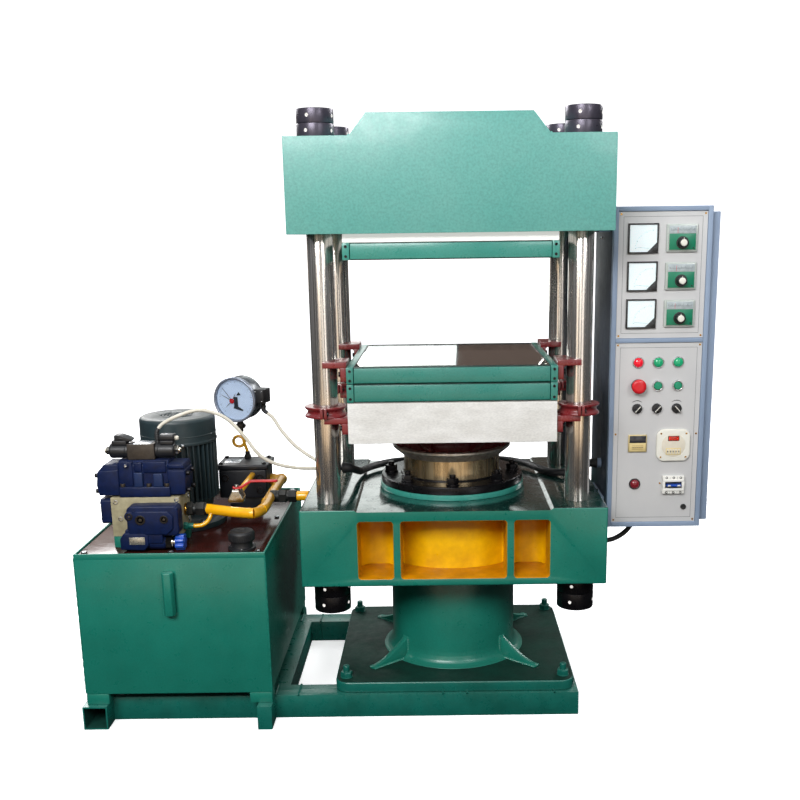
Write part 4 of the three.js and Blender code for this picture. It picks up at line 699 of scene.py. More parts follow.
# Dark red alarm lens.
ALARM_LENS = Glow(
    "alarm_lens", "#7d0f20", 0.14, 0.0, 1.49, "#5e0a17", 6, 0.5, 0.8, 0.2, 0.1, 0.03, coat=0.5,
    slot="red_plastic", strength=0.1,
)
# Bright collars of the push buttons.
BRIGHT_RING = Finish(
    "chromed_collar", "#d5d8da", 0.12, 1.0, 1.5, "#bfc3c6", 6, 0.5, 0.5, 0.1, 0.02, 0.04, slot="chrome",
)
# Brassy frame and sandy face of the counter.
BRASS_FRAME = Finish(
    "pale_gold_frame", "#c9b889", 0.35, 0.4, 1.5, "#b5a373", 8, 0.5, 0.5, 0.15, 0.03, 0.05,
    slot="ivory_plastic",
)
SAND = Finish(
    "sand_plastic", "#dcc78d", 0.42, 0.0, 1.46, "#cdb67a", 8, 0.5, 0.5, 0.15, 0.03, 0.05,
    slot="ivory_plastic",
)
SAND_DARK = Finish(
    "sand_plastic_shade", "#b9a06a", 0.45, 0.0, 1.46, "#a68e5b", 8, 0.5, 0.5, 0.15, 0.03, 0.05,
    slot="ivory_plastic",
)
# Smoked window of the counter.
DARK_WINDOW = Finish(
    "smoked_window", "#34363b", 0.12, 0.0, 1.49, "#2c2e33", 12, 0.4, 0.5, 0.05, 0.02, 0.03,
    slot="black_plastic",
)
# Red filter of the timer's display and its lit segments.
DISPLAY_RED = Finish(
    "red_display_filter", "#4a1712", 0.12, 0.0, 1.49, "#3d110d", 8, 0.4, 0.5, 0.05, 0.02, 0.03,
    slot="red_plastic",
)
SEGMENT_RED = Glow(
    "lit_red_segment", "#ff3b24", 0.3, 0.0, 1.49, "#f0301c", 4, 0.3, 0.5, 0.05, 0.02, 0.03,
    slot="red_plastic", strength=1.6,
)
# White urea moulding of the breaker.
BREAKER_WHITE = Finish(
    "white_urea_moulding", "#eceae3", 0.38, 0.0, 1.46, "#e0ddd4", 10, 0.4, 0.6, 0.15, 0.04, 0.05,
    slot="ivory_plastic",
)
# Navy enamel rubbed pale on the machined faces of the casting.
NAVY_WORN = Finish(
    "navy_enamel_rubbed", "#172a50", 0.5, 0.0, 1.32, "#1f2a49", 10, 0.8, 1.4, 0.5, 0.18, 0.1, coat=0.05,
    dust=0.1, slot="navy_enamel",
)
# Bright zinc of the coil nuts and the adjusting spindle.
NUT_SILVER = Finish(
    "bright_zinc_nut", "#c9c4b8", 0.2, 1.0, 1.5, "#a9a397", 6, 0.6, 0.8, 0.2, 0.03, 0.06, slot="ground_steel",
)
# Black socket screws and nuts whose oil shows brown.
SOCKET_BLACK = Finish(
    "oiled_black_steel", "#100f10", 0.34, 0.4, 1.5, "#1d1a17", 6, 0.7, 0.8, 0.25, 0.05, 0.1,
    slot="black_oxide",
)
# Blackened couplings of the pipework, dull and dusty.
COUPLING = Finish(
    "black_pipe_coupling", "#1e2021", 0.42, 0.5, 1.5, "#2b2c2a", 12, 0.7, 1.0, 0.35, 0.08, 0.1, dust=0.2,
    slot="black_oxide",
)
# Fresh yellow enamel on the pipes, thick enough to run.
PIPE_YELLOW = Finish(
    "fresh_yellow_pipe_enamel", "#f3b20c", 0.22, 0.0, 1.5, "#dd9406", 18, 0.6, 5.0, 0.3, 0.2, 0.06, coat=0.4,
    coat_roughness=0.05, slot="yellow_enamel",
)
# Blank tin plate on the relief valve, its lettering worn away.
BARE_PLATE = Finish(
    "blank_tin_plate", "#b9b7ac", 0.3, 0.7, 1.5, "#8d8a7d", 3, 0.8, 0.7, 0.3, 0.03, 0.1, slot="navy_enamel",
)
# Grey ring round the gauge's glass.
BEZEL_GREY = Finish(
    "bezel_grey_enamel", "#8d94a3", 0.25, 0.5, 1.5, "#727988", 20, 0.5, 0.8, 0.15, 0.03, 0.06,
    slot="black_plastic",
)
# Pale blue card of the gauge, with a weak glow of its own as painted light.
GAUGE_CARD = Glow(
    "pale_blue_gauge_card", "#cfd9ee", 0.55, 0.0, 1.5, "#c0cbe4", 22, 0.6, 0.5, 0.08, 0.02, 0.04,
    slot="ivory_plastic", strength=0.22,
)
# Pale ink of the gauge's scale.
FAINT_BLUE = Finish(
    "pale_scale_ink", "#8f9ab3", 0.5, 0.0, 1.5, "#848fa8", 4, 0.3, 0.4, 0.05, 0.01, 0.03,
    slot="ivory_plastic",
)
# Dark plate that carries the gauge's contacts.
DARK_METER_PLATE = Finish(
    "contact_plate_grey", "#30333c", 0.4, 0.2, 1.5, "#3f4148", 6, 0.6, 0.5, 0.15, 0.03, 0.06,
    slot="black_plastic",
)
# Browned brass of the gauge's hands.
BRONZE_HAND = Finish(
    "browned_brass_hand", "#6d6460", 0.35, 0.5, 1.5, "#544b45", 4, 0.5, 0.4, 0.1, 0.02, 0.05,
    slot="black_plastic",
)


# ---- building forms


def disc(radius: float, end: float, start: float = 0.0) -> Profile:
    """Gives the profile of a plain disc or rod.

    Args:
        radius: its radius.
        end: where it ends on its axis.
        start: where it starts.

    Returns:
        Radius and distance pairs.
    """
    return [(0, start), (radius, start), (radius, end), (0, end)]


def tapered(radius: float, shoulder: float, tip: float, end: float, start: float = 0.0) -> Profile:
    """Gives the profile of a rod whose end narrows, such as a stud, a boss or a plug.

    Args:
        radius: its radius.
        shoulder: where it starts to narrow.
        tip: the radius of its end face.
        end: where it ends on its axis.
        start: where it starts.

    Returns:
        Radius and distance pairs.
    """
    return [(0, start), (radius, start), (radius, shoulder), (tip, end), (0, end)]


def spun(at: Point, angle: float, axis: str = "Z") -> Matrix:
    """Gives the matrix that turns a form about a point.

    Args:
        at: the point.
        angle: the turn in radians.
        axis: the letter of the axis.

    Returns:
        The matrix.
    """
    return Matrix.Translation(Vector(at)) @ Matrix.Rotation(angle, 4, axis)


def sharp_edges(part: bmesh.types.BMesh, degrees: float) -> list[bmesh.types.BMEdge]:
    """Finds the edges between two faces that meet at more than an angle.

    Args:
        part: the mesh.
        degrees: the angle.

    Returns:
        The edges.
    """
    limit = math.radians(degrees)
    return [e for e in part.edges if len(e.link_faces) == 2 and e.calc_face_angle(0) > limit]


def bevelled(
    part: bmesh.types.BMesh, edges: list[bmesh.types.BMEdge], width: float, steps: int, clamp: bool = True,
) -> None:
    """Rounds edges.

    Args:
        part: the mesh.
        edges: its edges to round.
        width: the width of the rounding.
        steps: its segments.
        clamp: whether neighbouring roundings stop each other.
    """
    bmesh.ops.bevel(
        part, geom=edges, offset=width, segments=steps, profile=0.5, affect="EDGES", clamp_overlap=clamp,
    )


def eased(profile: Profile, radius: float, steps: int = 3) -> Profile:
    """Rounds the corners of an open profile so that its edges catch the light.

    Args:
        profile: radius and height pairs.
        radius: the largest ease at a corner.
        steps: points on each rounded corner.

    Returns:
        The profile with rounded corners.
    """
    if radius <= 0 or len(profile) < 3:
        return list(profile)
    out: Profile = [profile[0]]
    for before, here, after in zip(profile, profile[1:], profile[2:]):
        a, p, b = Vector(before), Vector(here), Vector(after)
        reach = min(radius, 0.45 * (p - a).length, 0.45 * (b - p).length)
        if reach < 1e-6:
            out.append(here)
            continue
        start, end = p + (a - p).normalized() * reach, p + (b - p).normalized() * reach
        for i in range(steps):
            t = i / (steps - 1)
            q = start * (1 - t) ** 2 + p * (2 * t * (1 - t)) + end * t**2
            out.append((q.x, q.y))
    out.append(profile[-1])
    return out


def smooth_route(points: Sequence[Point], step: float) -> list[Vector]:
    """Runs a centripetal spline through given points.

    Args:
        points: the points of the route.
        step: the spacing of the result.

    Returns:
        Evenly spaced points of the smooth route.
    """
    given = [Vector(p) for p in points]
    ring = [given[0] * 2 - given[1], *given, given[-1] * 2 - given[-2]]
    dense: list[Vector] = []
    for p0, p1, p2, p3 in zip(ring, ring[1:], ring[2:], ring[3:]):
        knots = [0.0]
        for a, b in ((p0, p1), (p1, p2), (p2, p3)):
            knots.append(knots[-1] + max((b - a).length, 1e-9) ** 0.5)
        t0, t1, t2, t3 = knots
        for i in range(24):
            t = t1 + (t2 - t1) * i / 24
            a1 = p0 * ((t1 - t) / (t1 - t0)) + p1 * ((t - t0) / (t1 - t0))
            a2 = p1 * ((t2 - t) / (t2 - t1)) + p2 * ((t - t1) / (t2 - t1))
            a3 = p2 * ((t3 - t) / (t3 - t2)) + p3 * ((t - t2) / (t3 - t2))
            b1 = a1 * ((t2 - t) / (t2 - t0)) + a2 * ((t - t0) / (t2 - t0))
            b2 = a2 * ((t3 - t) / (t3 - t1)) + a3 * ((t - t1) / (t3 - t1))
            dense.append(b1 * ((t2 - t) / (t2 - t1)) + b2 * ((t - t1) / (t2 - t1)))
    dense.append(given[-1])
    lengths = [0.0]
    for a, b in zip(dense, dense[1:]):
        lengths.append(lengths[-1] + (b - a).length)
    count = max(2, round(lengths[-1] / step))
    out, j = [], 0
    for i in range(count + 1):
        want = lengths[-1] * i / count
        while j < len(lengths) - 2 and lengths[j + 1] < want:
            j += 1
        span = lengths[j + 1] - lengths[j] or 1.0
        out.append(dense[j].lerp(dense[j + 1], (want - lengths[j]) / span))
    return out


class Form:
    """One piece under construction, to which blocks, turned bodies, prisms and tubes are added."""

    def __init__(self) -> None:
        """Starts an empty form."""
        self.mesh = bmesh.new()
        self.finishes: list[Finish] = []

    def slot_of(self, finish: Finish) -> int:
        """Gives the number of a finish in this form, adding it when it is new.

        Args:
            finish: the finish.

        Returns:
            Its place in the list of finishes.
        """
        if finish not in self.finishes:
            self.finishes.append(finish)
        return self.finishes.index(finish)

    def take(self, part: bmesh.types.BMesh, finish: Finish, turn: Matrix | None = None) -> "Form":
        """Adds a part's faces under a finish.

        Args:
            part: the faces to add; it is emptied.
            finish: what they are painted or made of.
            turn: a matrix laid on them first.

        Returns:
            The form itself.
        """
        if turn is not None:
            bmesh.ops.transform(part, matrix=turn, verts=part.verts)
        index = self.slot_of(finish)
        for face in part.faces:
            face.material_index = index
        carrier = bpy.data.meshes.new("carrier")
        part.to_mesh(carrier)
        part.free()
        self.mesh.from_mesh(carrier)
        bpy.data.meshes.remove(carrier)
        return self

    def block(
        self, low: Point, high: Point, finish: Finish, ease: float = 0.0008, turn: Matrix | None = None,
        steps: int = 2,
    ) -> "Form":
        """Adds a box with eased edges.

        Args:
            low: one corner.
            high: the opposite corner.
            finish: its finish.
            ease: the width of the eased edges.
            turn: a matrix laid on the finished box.
            steps: segments of the eased edges.

        Returns:
            The form itself.
        """
        part = bmesh.new()
        lo = Vector([min(a, b) for a, b in zip(low, high)])
        hi = Vector([max(a, b) for a, b in zip(low, high)])
        size = hi - lo
        bmesh.ops.create_cube(part, size=1.0)
        bmesh.ops.transform(
            part, matrix=Matrix.Translation((lo + hi) / 2) @ Matrix.Diagonal((*size, 1)), verts=part.verts,
        )
        reach = min(ease, 0.45 * min(size))
        if reach > 0:
            bevelled(part, part.edges[:], reach, steps, False)
        return self.take(part, finish, turn)

    def turned(
        self, profile: Profile, at: Point, finish: Finish, axis: Axis = Axis.Z, sides: int = 64,
        ease: float = 0.0006, turn: Matrix | None = None, phase: float = 0.0,
    ) -> "Form":
        """Adds a body turned about an axis.

        Args:
            profile: radius and distance along the axis, from one end to the other.
            at: a point of the axis, where the distance is zero.
            finish: its finish.
            axis: the direction of the axis.
            sides: how many flats stand in for the round.
            ease: the rounding of the profile's corners.
            turn: a matrix laid on the finished body.
            phase: the turn of the first flat, in radians.

        Returns:
            The form itself.
        """
        part = bmesh.new()
        rings = []
        for r, h in eased(profile, ease):
            if r < NOTHING:
                rings.append([part.verts.new((0, 0, h))])
                continue
            ring = []
            for i in range(sides):
                a = phase + 2 * math.pi * i / sides
                ring.append(part.verts.new((r * math.cos(a), r * math.sin(a), h)))
            rings.append(ring)
        for low, high in zip(rings, rings[1:]):
            for i in range(sides):
                j = (i + 1) % sides
                corners = [low[i % len(low)], low[j % len(low)], high[j % len(high)], high[i % len(high)]]
                unique = list(dict.fromkeys(corners))
                if len(unique) > 2:
                    part.faces.new(unique)
        bmesh.ops.remove_doubles(part, verts=part.verts, dist=NOTHING)
        bmesh.ops.recalc_face_normals(part, faces=part.faces)
        stand = {
            Axis.X: Matrix.Rotation(math.pi / 2, 4, "Y"), Axis.Y: Matrix.Rotation(-math.pi / 2, 4, "X"),
            Axis.Z: Matrix.Identity(4),
        }[axis]
        bmesh.ops.transform(part, matrix=Matrix.Translation(at) @ stand, verts=part.verts)
        return self.take(part, finish, turn)

    def prism(
        self, outline: Sequence[Point], axis: Axis, start: float, end: float, finish: Finish,
        ease: float = 0.0008, turn: Matrix | None = None, steps: int = 2,
    ) -> "Form":
        """Adds an outline pulled along an axis.

        Args:
            outline: its points in the two other directions, in X, Y, Z order.
            axis: the direction of the pull.
            start: where it starts on the axis.
            end: where it ends.
            finish: its finish.
            ease: the width of the eased edges.
            turn: a matrix laid on the finished prism.
            steps: segments of the eased edges.

        Returns:
            The form itself.
        """
        part = bmesh.new()
        place = {
            Axis.X: lambda a, b, d: (d, a, b), Axis.Y: lambda a, b, d: (a, d, b),
            Axis.Z: lambda a, b, d: (a, b, d),
        }[axis]
        foot = [part.verts.new(place(a, b, start)) for a, b in outline]
        head = [part.verts.new(place(a, b, end)) for a, b in outline]
        part.faces.new(foot)
        part.faces.new(head)
        count = len(outline)
        for i in range(count):
            j = (i + 1) % count
            part.faces.new((foot[i], foot[j], head[j], head[i]))
        bmesh.ops.recalc_face_normals(part, faces=part.faces)
        if ease > 0:
            bevelled(part, sharp_edges(part, PRISM_SHARP_DEG), ease, steps)
        return self.take(part, finish, turn)

    def tube(
        self, points: Sequence[Point], radius: float | Callable[[float], float], finish: Finish,
        sides: int = 16, step: float = 0.004, smooth: bool = True,
    ) -> "Form":
        """Adds a round tube along a route, closed at both ends.

        Args:
            points: the route.
            radius: the tube's radius, or a function of the distance along it.
            finish: its finish.
            sides: flats around the tube.
            step: spacing of its rings.
            smooth: whether the route is smoothed first.

        Returns:
            The form itself.
        """
        route = smooth_route(points, step) if smooth else [Vector(p) for p in points]
        part = bmesh.new()
        tangent = (route[1] - route[0]).normalized()
        side = tangent.orthogonal().normalized()
        rings, run = [], 0.0
        for i, here in enumerate(route):
            ahead = route[min(i + 1, len(route) - 1)] - route[max(i - 1, 0)]
            fresh = ahead.normalized()
            side = (side - fresh * side.dot(fresh)).normalized()
            up = fresh.cross(side)
            run += (here - route[i - 1]).length if i else 0.0
            r = radius(run) if callable(radius) else radius
            rings.append(
                [
                    part.verts.new(here + (side * math.cos(a) + up * math.sin(a)) * r)
                    for a in (2 * math.pi * k / sides for k in range(sides))
                ]
            )
        for low, high in zip(rings, rings[1:]):
            for k in range(sides):
                m = (k + 1) % sides
                part.faces.new((low[k], low[m], high[m], high[k]))
        part.faces.new(rings[0])
        part.faces.new(rings[-1])
        bmesh.ops.recalc_face_normals(part, faces=part.faces)
        return self.take(part, finish)

    def copy_of(self, node: str, finish: Finish, ease: float = 0.002, steps: int = 3) -> "Form":
        """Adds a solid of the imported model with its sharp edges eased.

        Args:
            node: the solid's name.
            finish: its finish.
            ease: the width of the eased edges.
            steps: segments of the eased edges.

        Returns:
            The form itself.
        """
        part = bmesh.new()
        part.from_mesh(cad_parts[node].data)
        bmesh.ops.remove_doubles(part, verts=part.verts, dist=ONE_POINT)
        bmesh.ops.dissolve_limit(part, angle_limit=math.radians(0.6), verts=part.verts, edges=part.edges)
        if ease > 0:
            bevelled(part, sharp_edges(part, SOLID_SHARP_DEG), ease, steps)
        return self.take(part, finish)

    def repaint(self, finish: Finish, chosen: Callable[[Vector, Vector], bool]) -> "Form":
        """Gives some faces another finish.

        Args:
            finish: the new finish.
            chosen: says of a face, by its middle and its normal, whether it is repainted.

        Returns:
            The form itself.
        """
        index = self.slot_of(finish)
        self.mesh.normal_update()
        for face in self.mesh.faces:
            if chosen(face.calc_center_median(), face.normal):
                face.material_index = index
        return self

    def weld(self, points: Sequence[Point], width: float, finish: Finish, seed: int = 1) -> "Form":
        """Adds a weld bead with its ripples along a line.

        Args:
            points: the corner that the bead fills.
            width: the bead's width.
            finish: its finish.
            seed: fixes the unevenness of the ripples.

        Returns:
            The form itself.
        """
        wobble = random.Random(seed)
        phase = wobble.uniform(0, 6)

        def girth(run: float) -> float:
            """Swells and narrows the bead along its run.

            Args:
                run: the distance from its start.

            Returns:
                The bead's radius there.
            """
            return width / 2 * (
                1 + 0.12 * math.sin(run * 1800 + phase) + 0.1 * math.sin(run * 260 + 2 * phase)
            )

        return self.tube(points, girth, finish, sides=8, step=0.0014, smooth=len(points) <= DENSE_ROUTE)

    def screw(
        self, at: Point, radius: float, height: float, finish: Finish, axis: Axis = Axis.Y,
        outward: float = -1.0,
    ) -> "Form":
        """Adds a socket head cap screw.

        Args:
            at: the middle of the head's seat.
            radius: the head's radius.
            height: how far the head stands out.
            finish: its finish.
            axis: the screw's axis.
            outward: which way along the axis the head stands.

        Returns:
            The form itself.
        """
        o = outward
        rim = [
            (0.0, 0.0), (radius, 0.0), (radius, o * height), (radius * 0.56, o * height),
            (radius * 0.5, o * height * 0.45), (0.0, o * height * 0.4),
        ]
        return self.turned(rim, at, finish, axis, 20, 0.0004)

    def hexagon(
        self, at: Point, radius: float, height: float, finish: Finish, axis: Axis = Axis.Z,
        outward: float = 1.0, phase: float = 0.0,
    ) -> "Form":
        """Adds a hexagon nut or bolt head with chamfered corners.

        Args:
            at: the middle of its seat.
            radius: the radius over its corners.
            height: how far it stands out.
            finish: its finish.
            axis: its axis.
            outward: which way along the axis it stands.
            phase: its turn in radians.

        Returns:
            The form itself.
        """
        o = outward
        c = radius * 0.1
        return self.turned(
            [
                (0.0, 0.0), (radius, 0.0), (radius, o * (height - c)), (radius - c, o * height),
                (0.0, o * height),
            ], at, finish, axis, 6, 0.0003, phase=phase,
        )

    def piece(
        self, name: str, body: Body | str, stands_for: Sequence[str] = (), smooth_deg: float = SMOOTH_DEG,
    ) -> bpy.types.Object:
        """Closes the form into a named piece that rides on a body.

        Args:
            name: the piece's name.
            body: the body that carries it.
            stands_for: the solids that it replaces.
            smooth_deg: edges flatter than this are shaded smooth.

        Returns:
            The new object.
        """
        mesh = bpy.data.meshes.new(name)
        self.mesh.to_mesh(mesh)
        self.mesh.free()
        for finish in self.finishes:
            mesh.materials.append(finish.material())
        mesh.shade_smooth()
        mesh.set_sharp_from_angle(angle=math.radians(smooth_deg))
        made = bpy.data.objects.new(name, mesh)
        bpy.context.scene.collection.objects.link(made)
        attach(made, body.value if isinstance(body, Body) else body)
        if stands_for:
            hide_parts(*stands_for)
        LOG.info("%s: %d faces on %s", name, len(mesh.polygons), body)
        return made


def carved(piece: bpy.types.Object, tools: Form) -> bpy.types.Object:
    """Cuts a form out of a piece.

    Args:
        piece: the piece that loses material.
        tools: the form of what is cut away.

    Returns:
        The piece.
    """
    mesh = bpy.data.meshes.new("cutter")
    tools.mesh.to_mesh(mesh)
    tools.mesh.free()
    mesh.materials.append(piece.data.materials[0])
    cutter = bpy.data.objects.new("cutter", mesh)
    bpy.context.scene.collection.objects.link(cutter)
    cut = piece.modifiers.new("cut", "BOOLEAN")
    cut.operation = "DIFFERENCE"
    cut.solver = "EXACT"
    cut.object = cutter
    bpy.context.view_layer.update()
    done = bpy.data.meshes.new_from_object(piece.evaluated_get(bpy.context.evaluated_depsgraph_get()))
    piece.modifiers.clear()
    piece.data = done
    done.shade_smooth()
    done.set_sharp_from_angle(angle=math.radians(SMOOTH_DEG))
    bpy.data.objects.remove(cutter)
    return piece


# ---- frame of the press


def rounded_box(x0: float, x1: float, z0: float, z1: float, radius: float, steps: int = 6) -> list[Point]:
    """Outlines a rectangle with round corners.

    Args:
        x0: its low side.
        x1: its high side.
        z0: its foot.
        z1: its head.
        radius: the corner radius.
        steps: points on each corner.

    Returns:
        The points of the outline.
    """
    points = []
    for cx, cz, start in (
        (x1 - radius, z1 - radius, 0), (x0 + radius, z1 - radius, 90), (x0 + radius, z0 + radius, 180),
        (x1 - radius, z0 + radius, 270),
    ):
        for i in range(steps + 1):
            a = math.radians(start + 90 * i / steps)
            points.append((cx + radius * math.cos(a), cz + radius * math.sin(a)))
    return points


@dataclass(frozen=True)
class Skid:
    """Welded square tube under the whole press."""

    height: float = 0.065
    rail: float = 0.295
    joints: tuple[float, ...] = (-0.0325, 0.0325, -0.487, -0.4245, 0.269, -0.926)

    def build(self) -> None:
        """Makes the frame with its weld beads."""
        form = Form().copy_of("base_skid", SHADED_GREEN, 0.0045, 3)
        for x in self.joints:
            for side in (-1, 1):
                inner = side * (self.rail - self.height)
                form.weld(
                    [(x, inner - side * 0.001, 0.006), (x, inner - side * 0.001, 0.06)], 0.007, SHADED_GREEN, 3,
                )
                form.weld([(x, inner, self.height), (x, side * self.rail, self.height)], 0.006, SHADED_GREEN, 4)
        # The inside of the tube's open end is painted darker, as painted shade.
        form.repaint(
            JOINT_SHADE_GREEN,
            lambda at, normal: -0.989 < at.x < -0.928 and 0.003 < at.z < 0.062 and abs(normal.y) < 0.5,
        )
        form.piece("floor_frame", Body.FRAME, ["base_skid"])


@dataclass(frozen=True)
class Pedestal:
    """Anchor plate, drum and corner gussets that carry the cylinder beam."""

    plate: tuple[float, float, float, float] = (0.3255, 0.286, 0.0653, 0.0948)
    radius: float = 0.178
    inner: float = 0.166
    top: float = 0.3757
    gusset_angle: float = 40.0
    gusset_reach: float = 0.303
    half_gusset: float = 0.0085
    anchor: tuple[float, float] = (0.297, 0.245)

    def build(self) -> None:
        """Makes the plate with its nuts and the drum with its gussets."""
        half_x, half_y, low, high = self.plate
        form = Form().prism(
            rounded_box(-half_x, half_x, -half_y, half_y, 0.038, 8), Axis.Z, low, high, SHADED_GREEN, 0.004,
            steps=4,
        )
        drum = [
            (self.inner, high - 0.0005), (self.radius + 0.027, high - 0.0005),
            (self.radius + 0.026, high + 0.001), (self.radius + 0.017, high + 0.003),
            (self.radius + 0.010, high + 0.007), (self.radius + 0.005, high + 0.014),
            (self.radius + 0.0015, high + 0.025), (self.radius, high + 0.038), (self.radius, self.top),
            (self.inner, self.top), (self.inner, high - 0.0005),
        ]
        form.turned(drum, (0, 0, 0), GREEN, Axis.Z, 128, 0.002)
        for angle in (
            self.gusset_angle, 180 - self.gusset_angle, 180 + self.gusset_angle, -self.gusset_angle,
        ):
            self.gusset(form, angle, high)
        for sx in (-1, 1):
            for sy in (-1, 1):
                self.bolt(form, sx * self.anchor[0], sy * self.anchor[1], high)
        # The plate's upper face takes the darker enamel, a painted shade.
        form.repaint(SHADED_PLATE_GREEN, lambda at, normal: normal.z > 0.9 and abs(at.z - high) < 0.0006)
        form.piece("pedestal_casting", Body.FRAME, ["pedestal"])

    def gusset(self, form: Form, angle: float, foot: float) -> None:
        """Adds one curved gusset from the drum to a corner of the plate.

        Args:
            form: the pedestal's form.
            angle: its direction in degrees.
            foot: the height of the plate's face.
        """
        turn = Matrix.Rotation(math.radians(angle), 4, "Z")
        sweep = []
        for i in range(13):
            t = i / 12
            x = self.radius - 0.004 + (self.gusset_reach - self.radius + 0.004) * t
            sweep.append((x, foot + 0.005 + 0.061 * (1 - t) ** 1.7))
        outline = [(self.radius - 0.006, foot - 0.0005), (self.gusset_reach, foot - 0.0005), *reversed(sweep)]
        form.prism(outline, Axis.Y, -self.half_gusset, self.half_gusset, GREEN, 0.002, turn)
        for side in (-1, 1):
            y = side * 0.009
            along = [turn @ Vector((0.182 + 0.118 * k / 20, y, foot + 0.0005)) for k in range(21)]
            form.weld(along, 0.008, GREEN, 7)
            rise = [
                turn @ Vector((self.radius + 0.0005, y, foot + 0.004 + 0.058 * k / 12)) for k in range(13)
            ]
            form.weld(rise, 0.008, GREEN, 8)

    def bolt(self, form: Form, x: float, y: float, foot: float) -> None:
        """Adds one anchor bolt with its nut and washer.

        Args:
            form: the pedestal's form.
            x: its place across.
            y: its place in depth.
            foot: the height of the plate's face.
        """
        form.turned(disc(0.0165, 0.0025), (x, y, foot - 0.0004), SHADED_GREEN, Axis.Z, 40)
        form.hexagon((x, y, foot + 0.002), 0.0165, 0.014, SHADED_GREEN, Axis.Z, 1, 0.3)
        form.turned(tapered(0.009, 0.0165, 0.0075, 0.018), (x, y, foot + 0.0155), SHADED_GREEN, Axis.Z, 28)


